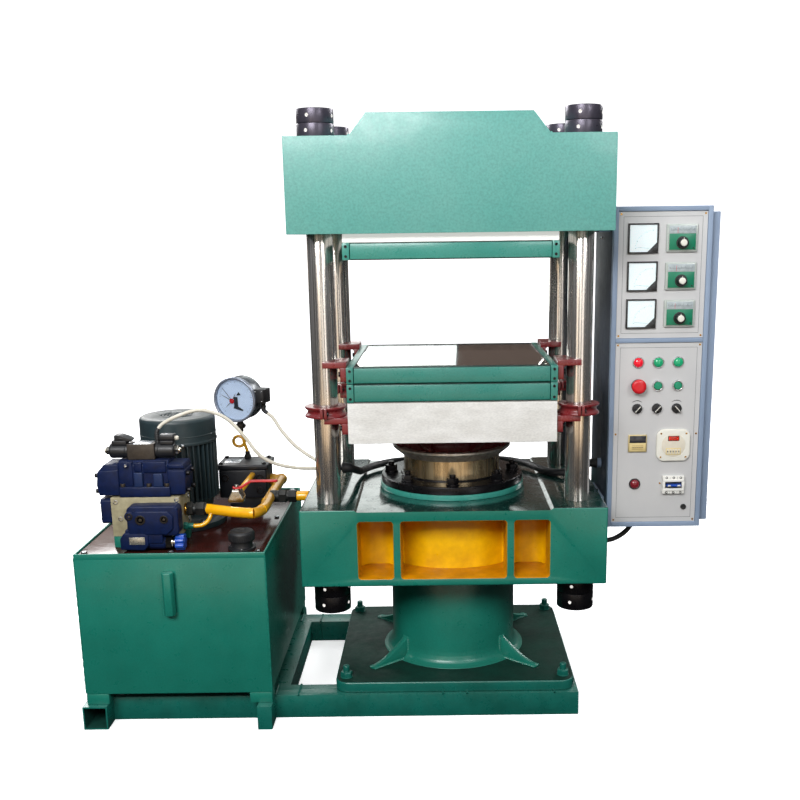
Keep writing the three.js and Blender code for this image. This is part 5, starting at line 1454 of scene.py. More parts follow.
@dataclass(frozen=True)
class LowerBeam:
    """Cylinder beam: a milled recess on top, six pockets and the round cylinder housing between them."""

    half_width: float = 0.4
    half_depth: float = 0.3045
    foot: float = 0.376
    top: float = 0.5844
    recess: float = 0.5784
    wall_y: float = 0.1745
    pocket: tuple[float, float] = (0.02, 0.176)
    spans: tuple[tuple[float, float], ...] = ((-0.25, -0.158), (-0.138, 0.138), (0.158, 0.25))
    housing: float = 0.222
    bore: float = 0.1615

    def pocket_tools(self) -> Form:
        """Gives the forms that the pockets and the recess leave empty.

        Returns:
            The cutting form.
        """
        tools = Form()
        for side in (-1, 1):
            for x0, x1 in self.spans:
                low, high = (self.foot + height for height in self.pocket)
                outline = rounded_box(x0, x1, low, high, 0.008, 8)
                wall = side * self.wall_y
                tools.prism(outline, Axis.Y, wall, side * (self.half_depth + 0.02), YELLOW, 0.0)
        rim = [(-0.25, self.recess), (0.25, self.recess), (0.27, self.top + 0.006), (-0.27, self.top + 0.006)]
        return tools.prism(rim, Axis.Y, -0.33, 0.33, GREEN, 0.0)

    def build(self) -> None:
        """Makes the beam, its housing and its cable outlet."""
        body = Form().block(
            (-self.half_width, -self.half_depth, self.foot), (self.half_width, self.half_depth, self.top),
            GREEN, 0.004, steps=4,
        )
        beam = body.piece("cylinder_beam", Body.FRAME, ["lower_beam"])
        carved(beam, self.pocket_tools())
        bore = Form().turned(disc(self.bore, 0.7, 0.3), (0, 0, 0), GREEN, Axis.Z, 96, 0.0)
        carved(beam, bore)
        mesh = bmesh.new()
        mesh.from_mesh(beam.data)
        bevelled(mesh, [e for e in sharp_edges(mesh, 40.0) if self.at_mouth(e)], 0.0022, 3)
        mesh.to_mesh(beam.data)
        mesh.free()
        self.paint(beam)
        housing = Form().turned(
            [
                (self.bore, self.foot + 0.001), (self.housing, self.foot + 0.001),
                (self.housing, self.recess - 0.001), (self.bore, self.recess - 0.001),
                (self.bore, self.foot + 0.001),
            ], (0, 0, 0), YELLOW, Axis.Z, 160, 0.0,
        )
        for side in (-1, 1):
            for x0, x1 in self.spans:
                self.fillets(housing, side, x0, x1)
        housing.piece("cylinder_housing", Body.FRAME)
        outlet = Form().turned(
            [(0, -0.001), (0.012, -0.001), (0.012, 0.005), (0.0095, 0.006), (0.0095, 0.011), (0, 0.011)],
            (self.half_width, 0, 0.398), BLACK_PLASTIC, Axis.X, 32,
        )
        outlet.piece("beam_cable_outlet", Body.FRAME)

    def at_mouth(self, edge: bmesh.types.BMEdge) -> bool:
        """Says whether an edge runs round the mouth of a pocket.

        Args:
            edge: a sharp edge of the carved beam.

        Returns:
            True at a mouth.
        """
        ends = [v.co for v in edge.verts]
        on_face = all(abs(abs(p.y) - self.half_depth) < 1e-4 for p in ends)
        return on_face and all(abs(p.x) < 0.26 and self.foot + 0.015 < p.z < self.foot + 0.18 for p in ends)

    def fillets(self, form: Form, side: int, x0: float, x1: float) -> None:
        """Adds the casting fillets where a pocket's walls meet its back.

        Args:
            form: the housing's form.
            side: -1 for the front, 1 for the rear.
            x0: the pocket's left wall.
            x1: its right wall.
        """
        wall = side * self.wall_y
        r = 0.012 if abs(x0 + x1) < 0.01 else 0.034
        z0, z1 = self.foot + 0.021, self.foot + 0.175
        for x, way in ((x0, 1), (x1, -1)):
            curve = [(x - way * 0.001, wall - side * 0.001), (x + way * r, wall - side * 0.001)]
            for k in range(7):
                a = math.pi / 2 * k / 6
                curve.append((x + way * r * (1 - math.sin(a)), wall + side * r * (1 - math.cos(a))))
            curve += [(x - way * 0.001, wall + side * r)]
            form.prism(curve, Axis.Z, z0, z1, YELLOW, 0.0)

    def paint(self, beam: bpy.types.Object) -> None:
        """Paints the deck and the inside of the pockets, the deck and the pockets' floors and sides in darker
        finishes as painted shade.

        Args:
            beam: the carved beam.
        """
        mesh = beam.data
        mesh.materials.clear()
        for finish in (GREEN, YELLOW, SHADED_DECK, POCKET_FLOOR_SHADE, POCKET_SIDE_SHADE):
            mesh.materials.append(finish.material())
        outside, back, deck, floor, sides = range(5)
        for face in mesh.polygons:
            p = face.center
            if face.normal.z > 0.7 and p.z > self.recess - 0.002:
                face.material_index = deck
                continue
            behind = self.wall_y - 0.0045 < abs(p.y) < self.half_depth - 0.0004
            within = self.foot + 0.012 < p.z < self.foot + 0.182 and abs(p.x) <= 0.256
            if not (behind and within):
                face.material_index = outside
            elif face.normal.z > 0.5:
                face.material_index = floor
            else:
                face.material_index = sides if abs(face.normal.x) > 0.5 else back
        mesh.shade_smooth()
        mesh.set_sharp_from_angle(angle=math.radians(SMOOTH_DEG))


@dataclass(frozen=True)
class UpperBeam:
    """Head beam with its raised crown."""

    crown_x: float = 0.2415
    crown_foot: float = 1.5096

    def build(self) -> None:
        """Makes the beam and the seam along the crown's foot."""
        form = Form().copy_of("upper_beam", LIT_GREEN, 0.004, 4)
        for side in (-1, 1):
            line = [(side * self.crown_x, -0.302 + 0.604 * k / 60, self.crown_foot) for k in range(61)]
            form.weld(line, 0.006, LIT_GREEN, 5)
        form.piece("head_beam", Body.FRAME, ["upper_beam"])


@dataclass(frozen=True)
class Columns:
    """Four chromed columns, each locked by round slotted nuts."""

    radius: float = COLUMN_RADIUS
    low: float = 0.5847
    high: float = 1.2804
    foot: float = 0.2862
    head: float = 1.5792
    end_radius: float = 0.03
    thread_radius: float = 0.0275

    def build(self) -> None:
        """Makes each column with the four nuts on its ends."""
        for name, sx, sy in CORNERS:
            at = (sx * COLUMN_X, sy * COLUMN_Y, 0.0)
            form = Form().turned(self.shaft(), at, CHROME_WITH_PAINTED_STREAKS, Axis.Z, 96, 0.0008)
            made = form.piece(f"chromed_column_{name}", Body.FRAME, [f"column_{name}"])
            self.nuts(f"lower_nuts_{name}", at, 0.2857, 0.049, 0.045, BLACKED)
            self.nuts(f"upper_nuts_{name}", at, 1.5096, 0.046, 0.035, VIOLET_STEEL)

    def shaft(self) -> Profile:
        """Gives the column's outline from its foot to its head.

        Returns:
            Radius and height pairs.
        """
        end, thread = self.end_radius, self.thread_radius
        return [
            (0.0, self.foot), (thread, self.foot), (end, 0.2885), (end, self.low),
            (self.radius, self.low + SEAT), (self.radius, self.high), (end, self.high + SEAT), (end, 1.5770),
            (thread, self.head), (0.0, self.head),
        ]

    def nuts(self, name: str, at: Point, foot: float, radius: float, height: float, steel: Finish) -> None:
        """Makes a pair of round nuts with holes for a tommy bar.

        Args:
            name: the piece's name.
            at: the column's axis.
            foot: the height of the pair's lower face.
            radius: the nuts' radius.
            height: the height of one nut.
            steel: the nuts' finish.
        """
        form = Form()
        for i in (0, 1):
            low = foot + i * height + SEAT
            high = low + height - 2 * SEAT
            rim = [(0.0302, low), (radius, low), (radius, high), (0.0302, high), (0.0302, low)]
            form.turned(rim, at, steel, Axis.Z, 72, 0.002)
        made = form.piece(name, Body.FRAME)
        tools = Form()
        for i in (0, 1):
            for k in range(4):
                angle = math.radians(90 * k + 5 * i - 114)
                turn = spun(at, angle)
                drill = disc(0.0044, radius + 0.004, radius - 0.012)
                tools.turned(drill, (0, 0, foot + (i + 0.5) * height), BLACKED, Axis.X, 20, 0.0, turn)
        carved(made, tools)
        mesh = made.data
        # The holes' insides take the glowing steel, a painted light.
        mesh.materials.append(GLOWING_HOLE_STEEL.material())
        for face in mesh.polygons:
            out = math.hypot(face.center.x - at[0], face.center.y - at[1])
            up = face.center.z - foot
            inside = self.radius < out < radius - 0.0006 and abs(up - height) > 0.004 and face.area < 0.0001
            if inside and min(abs(up - (i + 0.5) * height) for i in (0, 1)) < 0.0046:
                face.material_index = len(mesh.materials) - 1


# ---- platens, table and ram


@dataclass(frozen=True)
class Platen:
    """A hot platen with the green guard frame that keeps its heat in."""

    name: str
    body: Body
    low: float
    high: float
    half_width: float = 0.25
    half_depth: float = 0.26
    guard_thickness: float = 0.0182
    end_plate: float = 0.019
    rim: float = 0.003
    enamel: Finish = GUARD_GREEN

    def build(self) -> None:
        """Makes the steel slab and its guard."""
        wide, deep, rim = self.half_width, self.half_depth, self.rim
        steel = Form().block(
            (-wide, -deep, self.low), (wide, deep, self.high - 0.0004), PLATEN, 0.0012, steps=3,
        )
        for side in (-1, 1):
            steel.block(
                (side * (wide - rim), -deep, self.high - 0.004), (side * wide, deep, self.high), DARK_PLATEN_RIM,
                0.0006,
            )
            steel.block(
                (-wide + rim, side * (deep - rim), self.high - 0.004), (wide - rim, side * deep, self.high),
                DARK_PLATEN_RIM, 0.0006,
            )
        steel.piece(f"{self.name}_platen_slab", self.body, [f"{self.name}_platen"])
        form = Form()
        low, high = self.low + 0.0006, self.high - 0.0006
        out_x = self.half_width + SEAT + self.guard_thickness
        out_y = self.half_depth + SEAT + self.guard_thickness
        in_x, in_y = self.half_width + 0.0005, self.half_depth + 0.0005
        for sx in (-1, 1):
            form.block((sx * in_x, -out_y, low), (sx * out_x, out_y, high), self.enamel, 0.0012)
            for sy in (-1, 1):
                for z in (low + 0.009, high - 0.009):
                    at = (sx * (out_x - self.end_plate / 2 + 0.0004), sy * (out_y - 0.0002), z)
                    form.screw(at, 0.0036, 0.0016, BLACKED, Axis.Y, sy)
        for sy in (-1, 1):
            strip = out_x - self.end_plate
            form.block(
                (-strip + 0.0006, sy * in_y, low + 0.0022),
                (strip - 0.0006, sy * (out_y - 0.0014), high - 0.0022), self.enamel, 0.001,
            )
            # A block of the darker enamel behind each strip shows above and below it as painted shade in the
            # joint.
            form.block((-strip, sy * in_y, low), (strip, sy * (out_y - 0.0042), high), JOINT_SHADE_GREEN, 0.0006)
        form.piece(f"{self.name}_heat_guard", self.body, [f"{self.name}_guard"])


@dataclass(frozen=True)
class RoughBoard:
    """A slab of board or rolled paint whose edges are slightly uneven."""

    name: str
    node: str
    body: Body
    finish: Finish
    wander: float = 0.0006
    seed: int = 5
    edge: Finish | None = None
    cells: int = 72
    lip: float = 0.0012
    set_back: float = 0.0011

    def build(self) -> None:
        """Makes the slab from its solid's box, with uneven long edges."""
        low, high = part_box(self.node)
        inset = self.wander + 0.0002
        rng = random.Random(self.seed)
        waves = [(rng.uniform(8, 90), rng.uniform(0, 6.28), rng.uniform(0.2, 1.0)) for _ in range(7)]

        def shift(t: float, k: int) -> float:
            """Gives the unevenness of an edge at a place along it.

            Args:
                t: the place along the edge.
                k: which of the slab's edges it is.

            Returns:
                How far the edge wanders there.
            """
            total = sum(a * math.sin(f * t + p + 1.7 * k) for f, p, a in waves) / 3.2
            return max(-1.0, min(1.0, total)) * self.wander

        part = bmesh.new()
        stations = []
        for x, y, nx, ny in self.loop(low, high):
            t = x + 1.3 * y
            ring = []
            for k, z in enumerate((low.z, low.z + self.lip, high.z - self.lip, high.z)):
                back = self.set_back if k in (0, 3) else 0.0
                push = shift(t, k) * 0.3 - inset * 0.2 - back
                drop = shift(t * 1.3, k + 5) * 0.7 if k in (1, 2) else 0.0
                up = z + drop * (1 if k == 2 else -1) * 0.5
                ring.append(part.verts.new((x + nx * (push - inset), y + ny * (push - inset), up)))
            stations.append(ring)
        for a, b in zip(stations, stations[1:] + stations[:1]):
            for k in range(3):
                part.faces.new((a[k], b[k], b[k + 1], a[k + 1]))
        part.faces.new([ring[0] for ring in reversed(stations)])
        part.faces.new([ring[3] for ring in stations])
        bmesh.ops.recalc_face_normals(part, faces=part.faces)
        form = Form().take(part, self.finish)
        # The edge finish darkens the slab's upper edge, as painted shade.
        if self.edge:
            form.repaint(self.edge, lambda at, normal: at.z > high.z - self.lip and normal.z < 0.95)
        form.piece(self.name, self.body, [self.node], 28)

    def loop(self, low: Vector, high: Vector) -> list[tuple[float, float, float, float]]:
        """Walks round the slab's outline.

        Args:
            low: the box's low corner.
            high: its high corner.

        Returns:
            Places with their outward directions.
        """
        out = []
        w, d = high.x - low.x, high.y - low.y
        sides = (
            ((low.x, low.y), (w, 0), (0, -1)), ((high.x, low.y), (0, d), (1, 0)),
            ((high.x, high.y), (-w, 0), (0, 1)), ((low.x, high.y), (0, -d), (-1, 0)),
        )
        for (x, y), (dx, dy), (nx, ny) in sides:
            out.append((x, y, math.copysign(1.0, x), math.copysign(1.0, y)))
            for i in range(1, self.cells):
                t = i / self.cells
                out.append((x + dx * t, y + dy * t, nx, ny))
        return out


@dataclass(frozen=True)
class Guides:
    """Oxblood brackets that lead the table and the middle platen along the columns."""

    clearance: float = 0.0009
    root_x: float = 0.2688
    half_arm: float = 0.048
    ring_radius: float = 0.054
    ring_height: float = 0.028

    def build(self) -> None:
        """Makes the eight brackets."""
        for name, sx, sy in CORNERS:
            self.bracket(f"middle_guide_{name}", Body.MIDDLE, sx, sy, 0.9473, 0.9628, 0.9123, False)
            self.bracket(f"table_guide_{name}", Body.TABLE, sx, sy, 0.8027, 0.8182, 0.7757, True)

    def bracket(
        self, node: str, body: Body, sx: int, sy: int, arm: float, top: float, leg: float, ringed: bool,
    ) -> None:
        """Makes one bracket: an arm, a leg with two screws and, on the table, a split ring.

        Args:
            node: the solid it stands for.
            body: what it rides on.
            sx: its side, -1 for the left.
            sy: its row, -1 for the front.
            arm: the arm's lower face.
            top: the arm's upper face.
            leg: the foot of the leg.
            ringed: whether it clamps a split ring round the column.
        """
        x, y = sx * COLUMN_X, sy * COLUMN_Y
        root, half = sx * self.root_x, self.half_arm
        clear = COLUMN_RADIUS + self.clearance
        notch = [
            (x - sx * clear * math.sin(a), y - clear * math.cos(a))
            for a in (math.pi * k / 24 for k in range(25))
        ]
        outline = [(root, y + half), (root, y - half), (x, y - half), *notch, (x, y + half)]
        form = Form().prism(outline, Axis.Z, arm, top, OXBLOOD, 0.0012)
        form.block((root, y - half, leg), (root + sx * 0.016, y + half, arm + 0.001), OXBLOOD, 0.0015)
        form.weld(
            [(root + sx * 0.0165, y - 0.046 + 0.092 * k / 50, arm - 0.0005) for k in range(51)], 0.006,
            OXBLOOD, 6,
        )
        for dy in (-0.03, 0.03):
            form.screw((root + sx * 0.0158, y + dy, (leg + arm) / 2), 0.0065, 0.006, BLACKED, Axis.X, sx)
        if ringed:
            self.split_ring(form, x, y, top - 0.001)
        form.piece(f"{node}_bracket", body, [node])

    def split_ring(self, form: Form, x: float, y: float, foot: float) -> None:
        """Adds the grooved ring with its clamping ears.

        Args:
            form: the bracket's form.
            x: the column's place across.
            y: its place in depth.
            foot: the ring's lower face.
        """
        r = COLUMN_RADIUS + self.clearance
        out, high = self.ring_radius, foot + self.ring_height
        mid = (foot + high) / 2
        rim = [
            (r, foot), (out, foot), (out, mid - 0.0095), (out - 0.0065, mid - 0.003),
            (out - 0.0065, mid + 0.003), (out, mid + 0.0095), (out, high), (r, high), (r, foot),
        ]
        form.turned(rim, (x, y, 0), OXBLOOD, Axis.Z, 72, 0.0014)
        for side in (-1, 1):
            for half in (-1, 1):
                edge = sorted((x + half * 0.0012, x + half * 0.0088))
                form.block(
                    (edge[0], y + side * 0.046, foot + 0.001), (edge[1], y + side * 0.0615, high - 0.001),
                    OXBLOOD, 0.0012,
                )
            form.screw((x + 0.0087, y + side * 0.0555, mid), 0.0048, 0.0042, BLACKED, Axis.X, 1)


@dataclass(frozen=True)
class Seat:
    """Ribbed casting between the ram and the table."""

    foot: float = 0.6999
    top: float = 0.7529
    foot_radius: float = 0.148
    head_radius: float = 0.176
    rib_radius: float = 0.2255
    half_rib: float = 0.011
    ribs: int = 8

    def build(self) -> None:
        """Makes the cone and its ribs."""
        profile = [
            (0, self.foot), (self.foot_radius, self.foot), (self.foot_radius + 0.006, self.foot + 0.02),
            (self.head_radius, self.top), (0, self.top),
        ]
        form = Form().turned(profile, (0, 0, 0), OXBLOOD, Axis.Z, 128, 0.002)
        for i in range(self.ribs):
            turn = Matrix.Rotation(2 * math.pi * (i + 0.5) / self.ribs, 4, "Z")
            web = [
                (0.1, self.foot), (self.foot_radius + 0.010, self.foot), (self.rib_radius, self.top - 0.003),
                (self.rib_radius, self.top), (0.1, self.top),
            ]
            form.prism(web, Axis.Y, -self.half_rib, self.half_rib, OXBLOOD, 0.0022, turn, 3)
        form.piece("ram_seat_casting", Body.TABLE, ["table_seat"])


@dataclass(frozen=True)
class Ram:
    """Ground ram with its flared head."""

    radius: float = 0.136
    head_radius: float = 0.1668
    foot: float = 0.3186
    shoulder: float = 0.6706
    top: float = 0.6996

    def build(self) -> None:
        """Makes the shaft and the bright head."""
        shaft = [
            (0, self.foot), (self.radius - 0.003, self.foot), (self.radius, self.foot + 0.004),
            (self.radius, self.shoulder), (0, self.shoulder),
        ]
        form = Form().turned(shaft, (0, 0, 0), RAM_BRONZED, Axis.Z, 160, 0.0)
        head = [
            (0, self.shoulder - 0.0002), (self.radius + 0.004, self.shoulder),
            (self.radius + 0.0075, self.shoulder + 0.0035), (0.1655, self.top - 0.0075),
            (self.head_radius, self.top - 0.0055), (self.head_radius, self.top), (0, self.top),
        ]
        form.turned(head, (0, 0, 0), RAM_STEEL, Axis.Z, 160, 0.0012)
        form.piece("ground_ram", Body.TABLE, ["ram"])


@dataclass(frozen=True)
class Cylinder:
    """Cylinder barrel with its green flange and the black gland ring on top."""

    bore: float = 0.1368
    radius: float = 0.161
    flange_radius: float = 0.204
    gland_radius: float = 0.201
    floor: float = 0.2726
    flange: tuple[float, float] = (0.5787, 0.5933)
    gland: tuple[float, float] = (0.5936, 0.6153)
    bolts: int = 8
    bolt_circle: float = 0.173

    def build(self) -> None:
        """Makes the barrel and the gland with its bolts."""
        z0, z1 = self.flange
        wall = [
            (0, self.floor), (self.radius, self.floor), (self.radius, z0), (self.flange_radius, z0),
            (self.flange_radius, z1), (self.bore, z1), (self.bore, self.floor + 0.026),
            (0, self.floor + 0.026),
        ]
        Form().turned(wall, (0, 0, 0), MID_GREEN, Axis.Z, 160, 0.0015).piece(
            "cylinder_barrel_casting", Body.FRAME, ["cylinder_barrel"],
        )
        low, high = self.gland
        ring = [
            (self.bore, low), (self.gland_radius, low), (self.gland_radius, high - 0.002), (0.199, high),
            (0.146, high), (0.1445, high + 0.0035), (0.1415, high + 0.0045),
            (self.bore + 0.001, high + 0.004), (self.bore, high), (self.bore, low),
        ]
        form = Form().turned(ring, (0, 0, 0), BLACKED, Axis.Z, 160, 0.0008)
        for i in range(self.bolts):
            a = 2 * math.pi * i / self.bolts
            at = (self.bolt_circle * math.cos(a), self.bolt_circle * math.sin(a), high)
            form.turned(disc(0.019, 0.004), at, BLACKED, Axis.Z, 40, 0.0006)
            form.hexagon((at[0], at[1], high + 0.0039), 0.0172, 0.016, BLACKED, Axis.Z, 1, a + 0.2)
            stud = tapered(0.0088, 0.008, 0.0072, 0.0098)
            form.turned(stud, (at[0], at[1], high + 0.0199), BLACKED, Axis.Z, 28, 0.0004)
        form.piece("gland_ring_bolted", Body.FRAME, ["gland_ring"])


# ---- power unit


@dataclass(frozen=True)
class Tank:
    """Welded oil tank with its level gauge, its primed cover and its filler."""

    left: float = -0.982
    right: float = -0.487
    half_depth: float = 0.337
    foot: float = 0.094
    top: float = 0.485
    cover_top: float = 0.481
    wall: float = 0.005
    leg_foot: float = 0.0653
    leg_y: float = 0.296
    level_x: float = -0.739
    filler_at: tuple[float, float, float] = (-0.554, -0.291, 0.4813)

    def build(self) -> None:
        """Makes the tank, its cover and its filler."""
        form = Form()
        x0, x1, d, w = self.left, self.right, self.half_depth, self.wall
        deep = self.cover_top - 0.0085
        form.block((x0, -d, self.foot), (x1, d, deep), GREEN, 0.003, steps=3)
        for side in (-1, 1):
            form.block((x0, side * d, deep - 0.004), (x1, side * (d - w), self.top), GREEN, 0.0018, steps=3)
            for x, end in ((x0, x0 + 0.06), (x1 - 0.06, x1)):
                high = (end, side * self.leg_y, self.foot + 0.001)
                form.block((x, side * d, self.leg_foot), high, GREEN, 0.002)
        for x in (x0, x1 - w):
            form.block((x, -d + 0.0005, deep - 0.004), (x + w, d - 0.0005, self.top), GREEN, 0.0018, steps=3)
        for x in (x0 + 0.0008, x1 - 0.0008):
            for y in (-d + 0.0008, d - 0.0008):
                form.weld([(x, y, self.foot + 0.004 + 0.376 * k / 90) for k in range(91)], 0.0045, GREEN, 11)
        form.piece("oil_tank_shell", Body.FRAME, ["oil_tank"])
        self.level_gauge()
        cover = Form().block(
            (x0 + 0.007, -d + 0.007, self.cover_top - 0.008), (x1 - 0.007, d - 0.007, self.cover_top), PRIMER,
            0.0015, steps=3,
        )
        for x in (x0 + 0.022, -0.735, x1 - 0.022):
            for y in (-d + 0.022, 0.0, d - 0.022):
                if (x, y) != (-0.735, 0.0):
                    cover.hexagon((x, y, self.cover_top - 0.0002), 0.0075, 0.005, ZINC, Axis.Z, 1, x * 9 + y)
        cover.piece("tank_cover_plate", Body.FRAME, ["tank_cover"])
        self.filler()

    def level_gauge(self) -> None:
        """Makes the six-sided guard of the level glass on the tank's front, painted with it."""
        x, d = self.level_x, self.half_depth
        z0, z1 = 0.321, 0.437
        outline = [
            (x - 0.009, -d - 0.0238), (x + 0.009, -d - 0.0238), (x + 0.016, -d - 0.012),
            (x + 0.009, -d + 0.001), (x - 0.009, -d + 0.001), (x - 0.016, -d - 0.012),
        ]
        form = Form().prism(outline, Axis.Z, z0, z1, GREEN, 0.0022, steps=3)
        form.weld([(x - 0.010 + 0.020 * k / 20, -d - 0.0006, z0) for k in range(21)], 0.004, GREEN, 2)
        form.piece("level_glass_guard", Body.FRAME)

    def filler(self) -> None:
        """Makes the filler breather with its knurled cap."""
        at = self.filler_at
        profile = [
            (0, 0), (0.036, 0), (0.036, 0.006), (0.028, 0.006), (0.028, 0.024), (0.0335, 0.024),
            (0.0338, 0.044), (0.029, 0.0495), (0.012, 0.0498), (0.011, 0.0485), (0, 0.0485),
        ]
        form = Form().turned(profile, at, BLACK_PLASTIC, Axis.Z, 72, 0.0012)
        for i in range(36):
            turn = spun(at, math.radians(10 * i))
            form.block((0.0325, -0.0012, 0.027), (0.0345, 0.0012, 0.0425), BLACK_PLASTIC, 0.0005, turn, 1)
        for i in range(3):
            turn = spun(at, math.radians(120 * i + 40))
            form.turned(disc(0.0035, 0.0022), (0.032, 0, 0.0058), ZINC, Axis.Z, 20, 0.0004, turn)
        form.piece("filler_cap", Body.FRAME, ["filler_breather"])


@dataclass(frozen=True)
class Motor:
    """Upright electric motor: bell, finned frame and fan cowl."""

    at: tuple[float, float] = (-0.77, -0.03)
    foot: float = 0.4813
    cowl_foot: float = 0.7192
    bolt_circle: float = 0.108
    fins: int = 40

    def build(self) -> None:
        """Makes the motor from its flange to its cowl."""
        x, y = self.at
        axis = (x, y, 0.0)
        bell = [
            (0, self.foot), (0.12, self.foot), (0.12, 0.4972), (0.098, 0.4985), (0.084, 0.505),
            (0.082, 0.512), (0.088, 0.556), (0.0905, 0.561), (0, 0.561),
        ]
        form = Form().turned(bell, axis, TEAL, Axis.Z, 96, 0.002)
        for i in range(4):
            a = math.radians(45 + 90 * i)
            form.hexagon(
                (x + self.bolt_circle * math.cos(a), y + self.bolt_circle * math.sin(a), 0.4972), 0.0105,
                0.009, ZINC, Axis.Z, 1, a,
            )
        form.turned(disc(0.0895, 0.721, 0.559), axis, TEAL, Axis.Z, 96, 0.0)
        for i in range(self.fins):
            turn = spun((x, y, 0), 2 * math.pi * i / self.fins)
            form.block((0.087, -0.0016, 0.5605), (0.1038, 0.0016, 0.7185), TEAL, 0.0008, turn, 2)
        cowl = [
            (0.0, self.cowl_foot), (0.1005, self.cowl_foot), (0.1048, 0.7195), (0.1048, 0.7265),
            (0.1036, 0.7285), (0.1036, 0.7835), (0.1015, 0.7895), (0.0965, 0.7931), (0.046, 0.7931),
            (0.0445, 0.7905), (0.0, 0.7905),
        ]
        form.turned(cowl, axis, TEAL, Axis.Z, 96, 0.0012)
        form.turned(
            [(0.1034, 0.7425), (0.1046, 0.7432), (0.1046, 0.7448), (0.1034, 0.7455)], axis, TEAL, Axis.Z, 96,
            0.0003,
        )
        for r in (0.040, 0.031, 0.022, 0.013):
            form.turned(
                [(r, 0.7905), (r, 0.7932), (r - 0.0032, 0.7932), (r - 0.0032, 0.7905)], axis, TEAL, Axis.Z,
                64, 0.0005,
            )
        for a in (0, 60, 120):
            turn = spun((x, y, 0), math.radians(a))
            form.block((-0.045, -0.0016, 0.790), (0.045, 0.0016, 0.7929), TEAL, 0.0005, turn, 1)
        for i in range(4):
            a = math.radians(20 + 90 * i)
            turn = spun((x, y, 0), a)
            form.turned(
                tapered(0.0045, 0.0022, 0.002, 0.003), (0.1044, 0, 0.7232), ZINC, Axis.X, 20, 0.0003, turn,
            )
        form.block((x - 0.048, y + 0.08, 0.597), (x + 0.048, y + 0.143, 0.681), TEAL, 0.004, steps=3)
        form.block((x - 0.05, y + 0.1425, 0.595), (x + 0.05, y + 0.1478, 0.683), TEAL, 0.002, steps=2)
        for dx in (-0.042, 0.042):
            for z in (0.603, 0.675):
                form.screw((x + dx, y + 0.1476, z), 0.004, 0.0024, ZINC, Axis.Y, 1)
        form.piece("motor_unit", Body.FRAME, ["motor"])


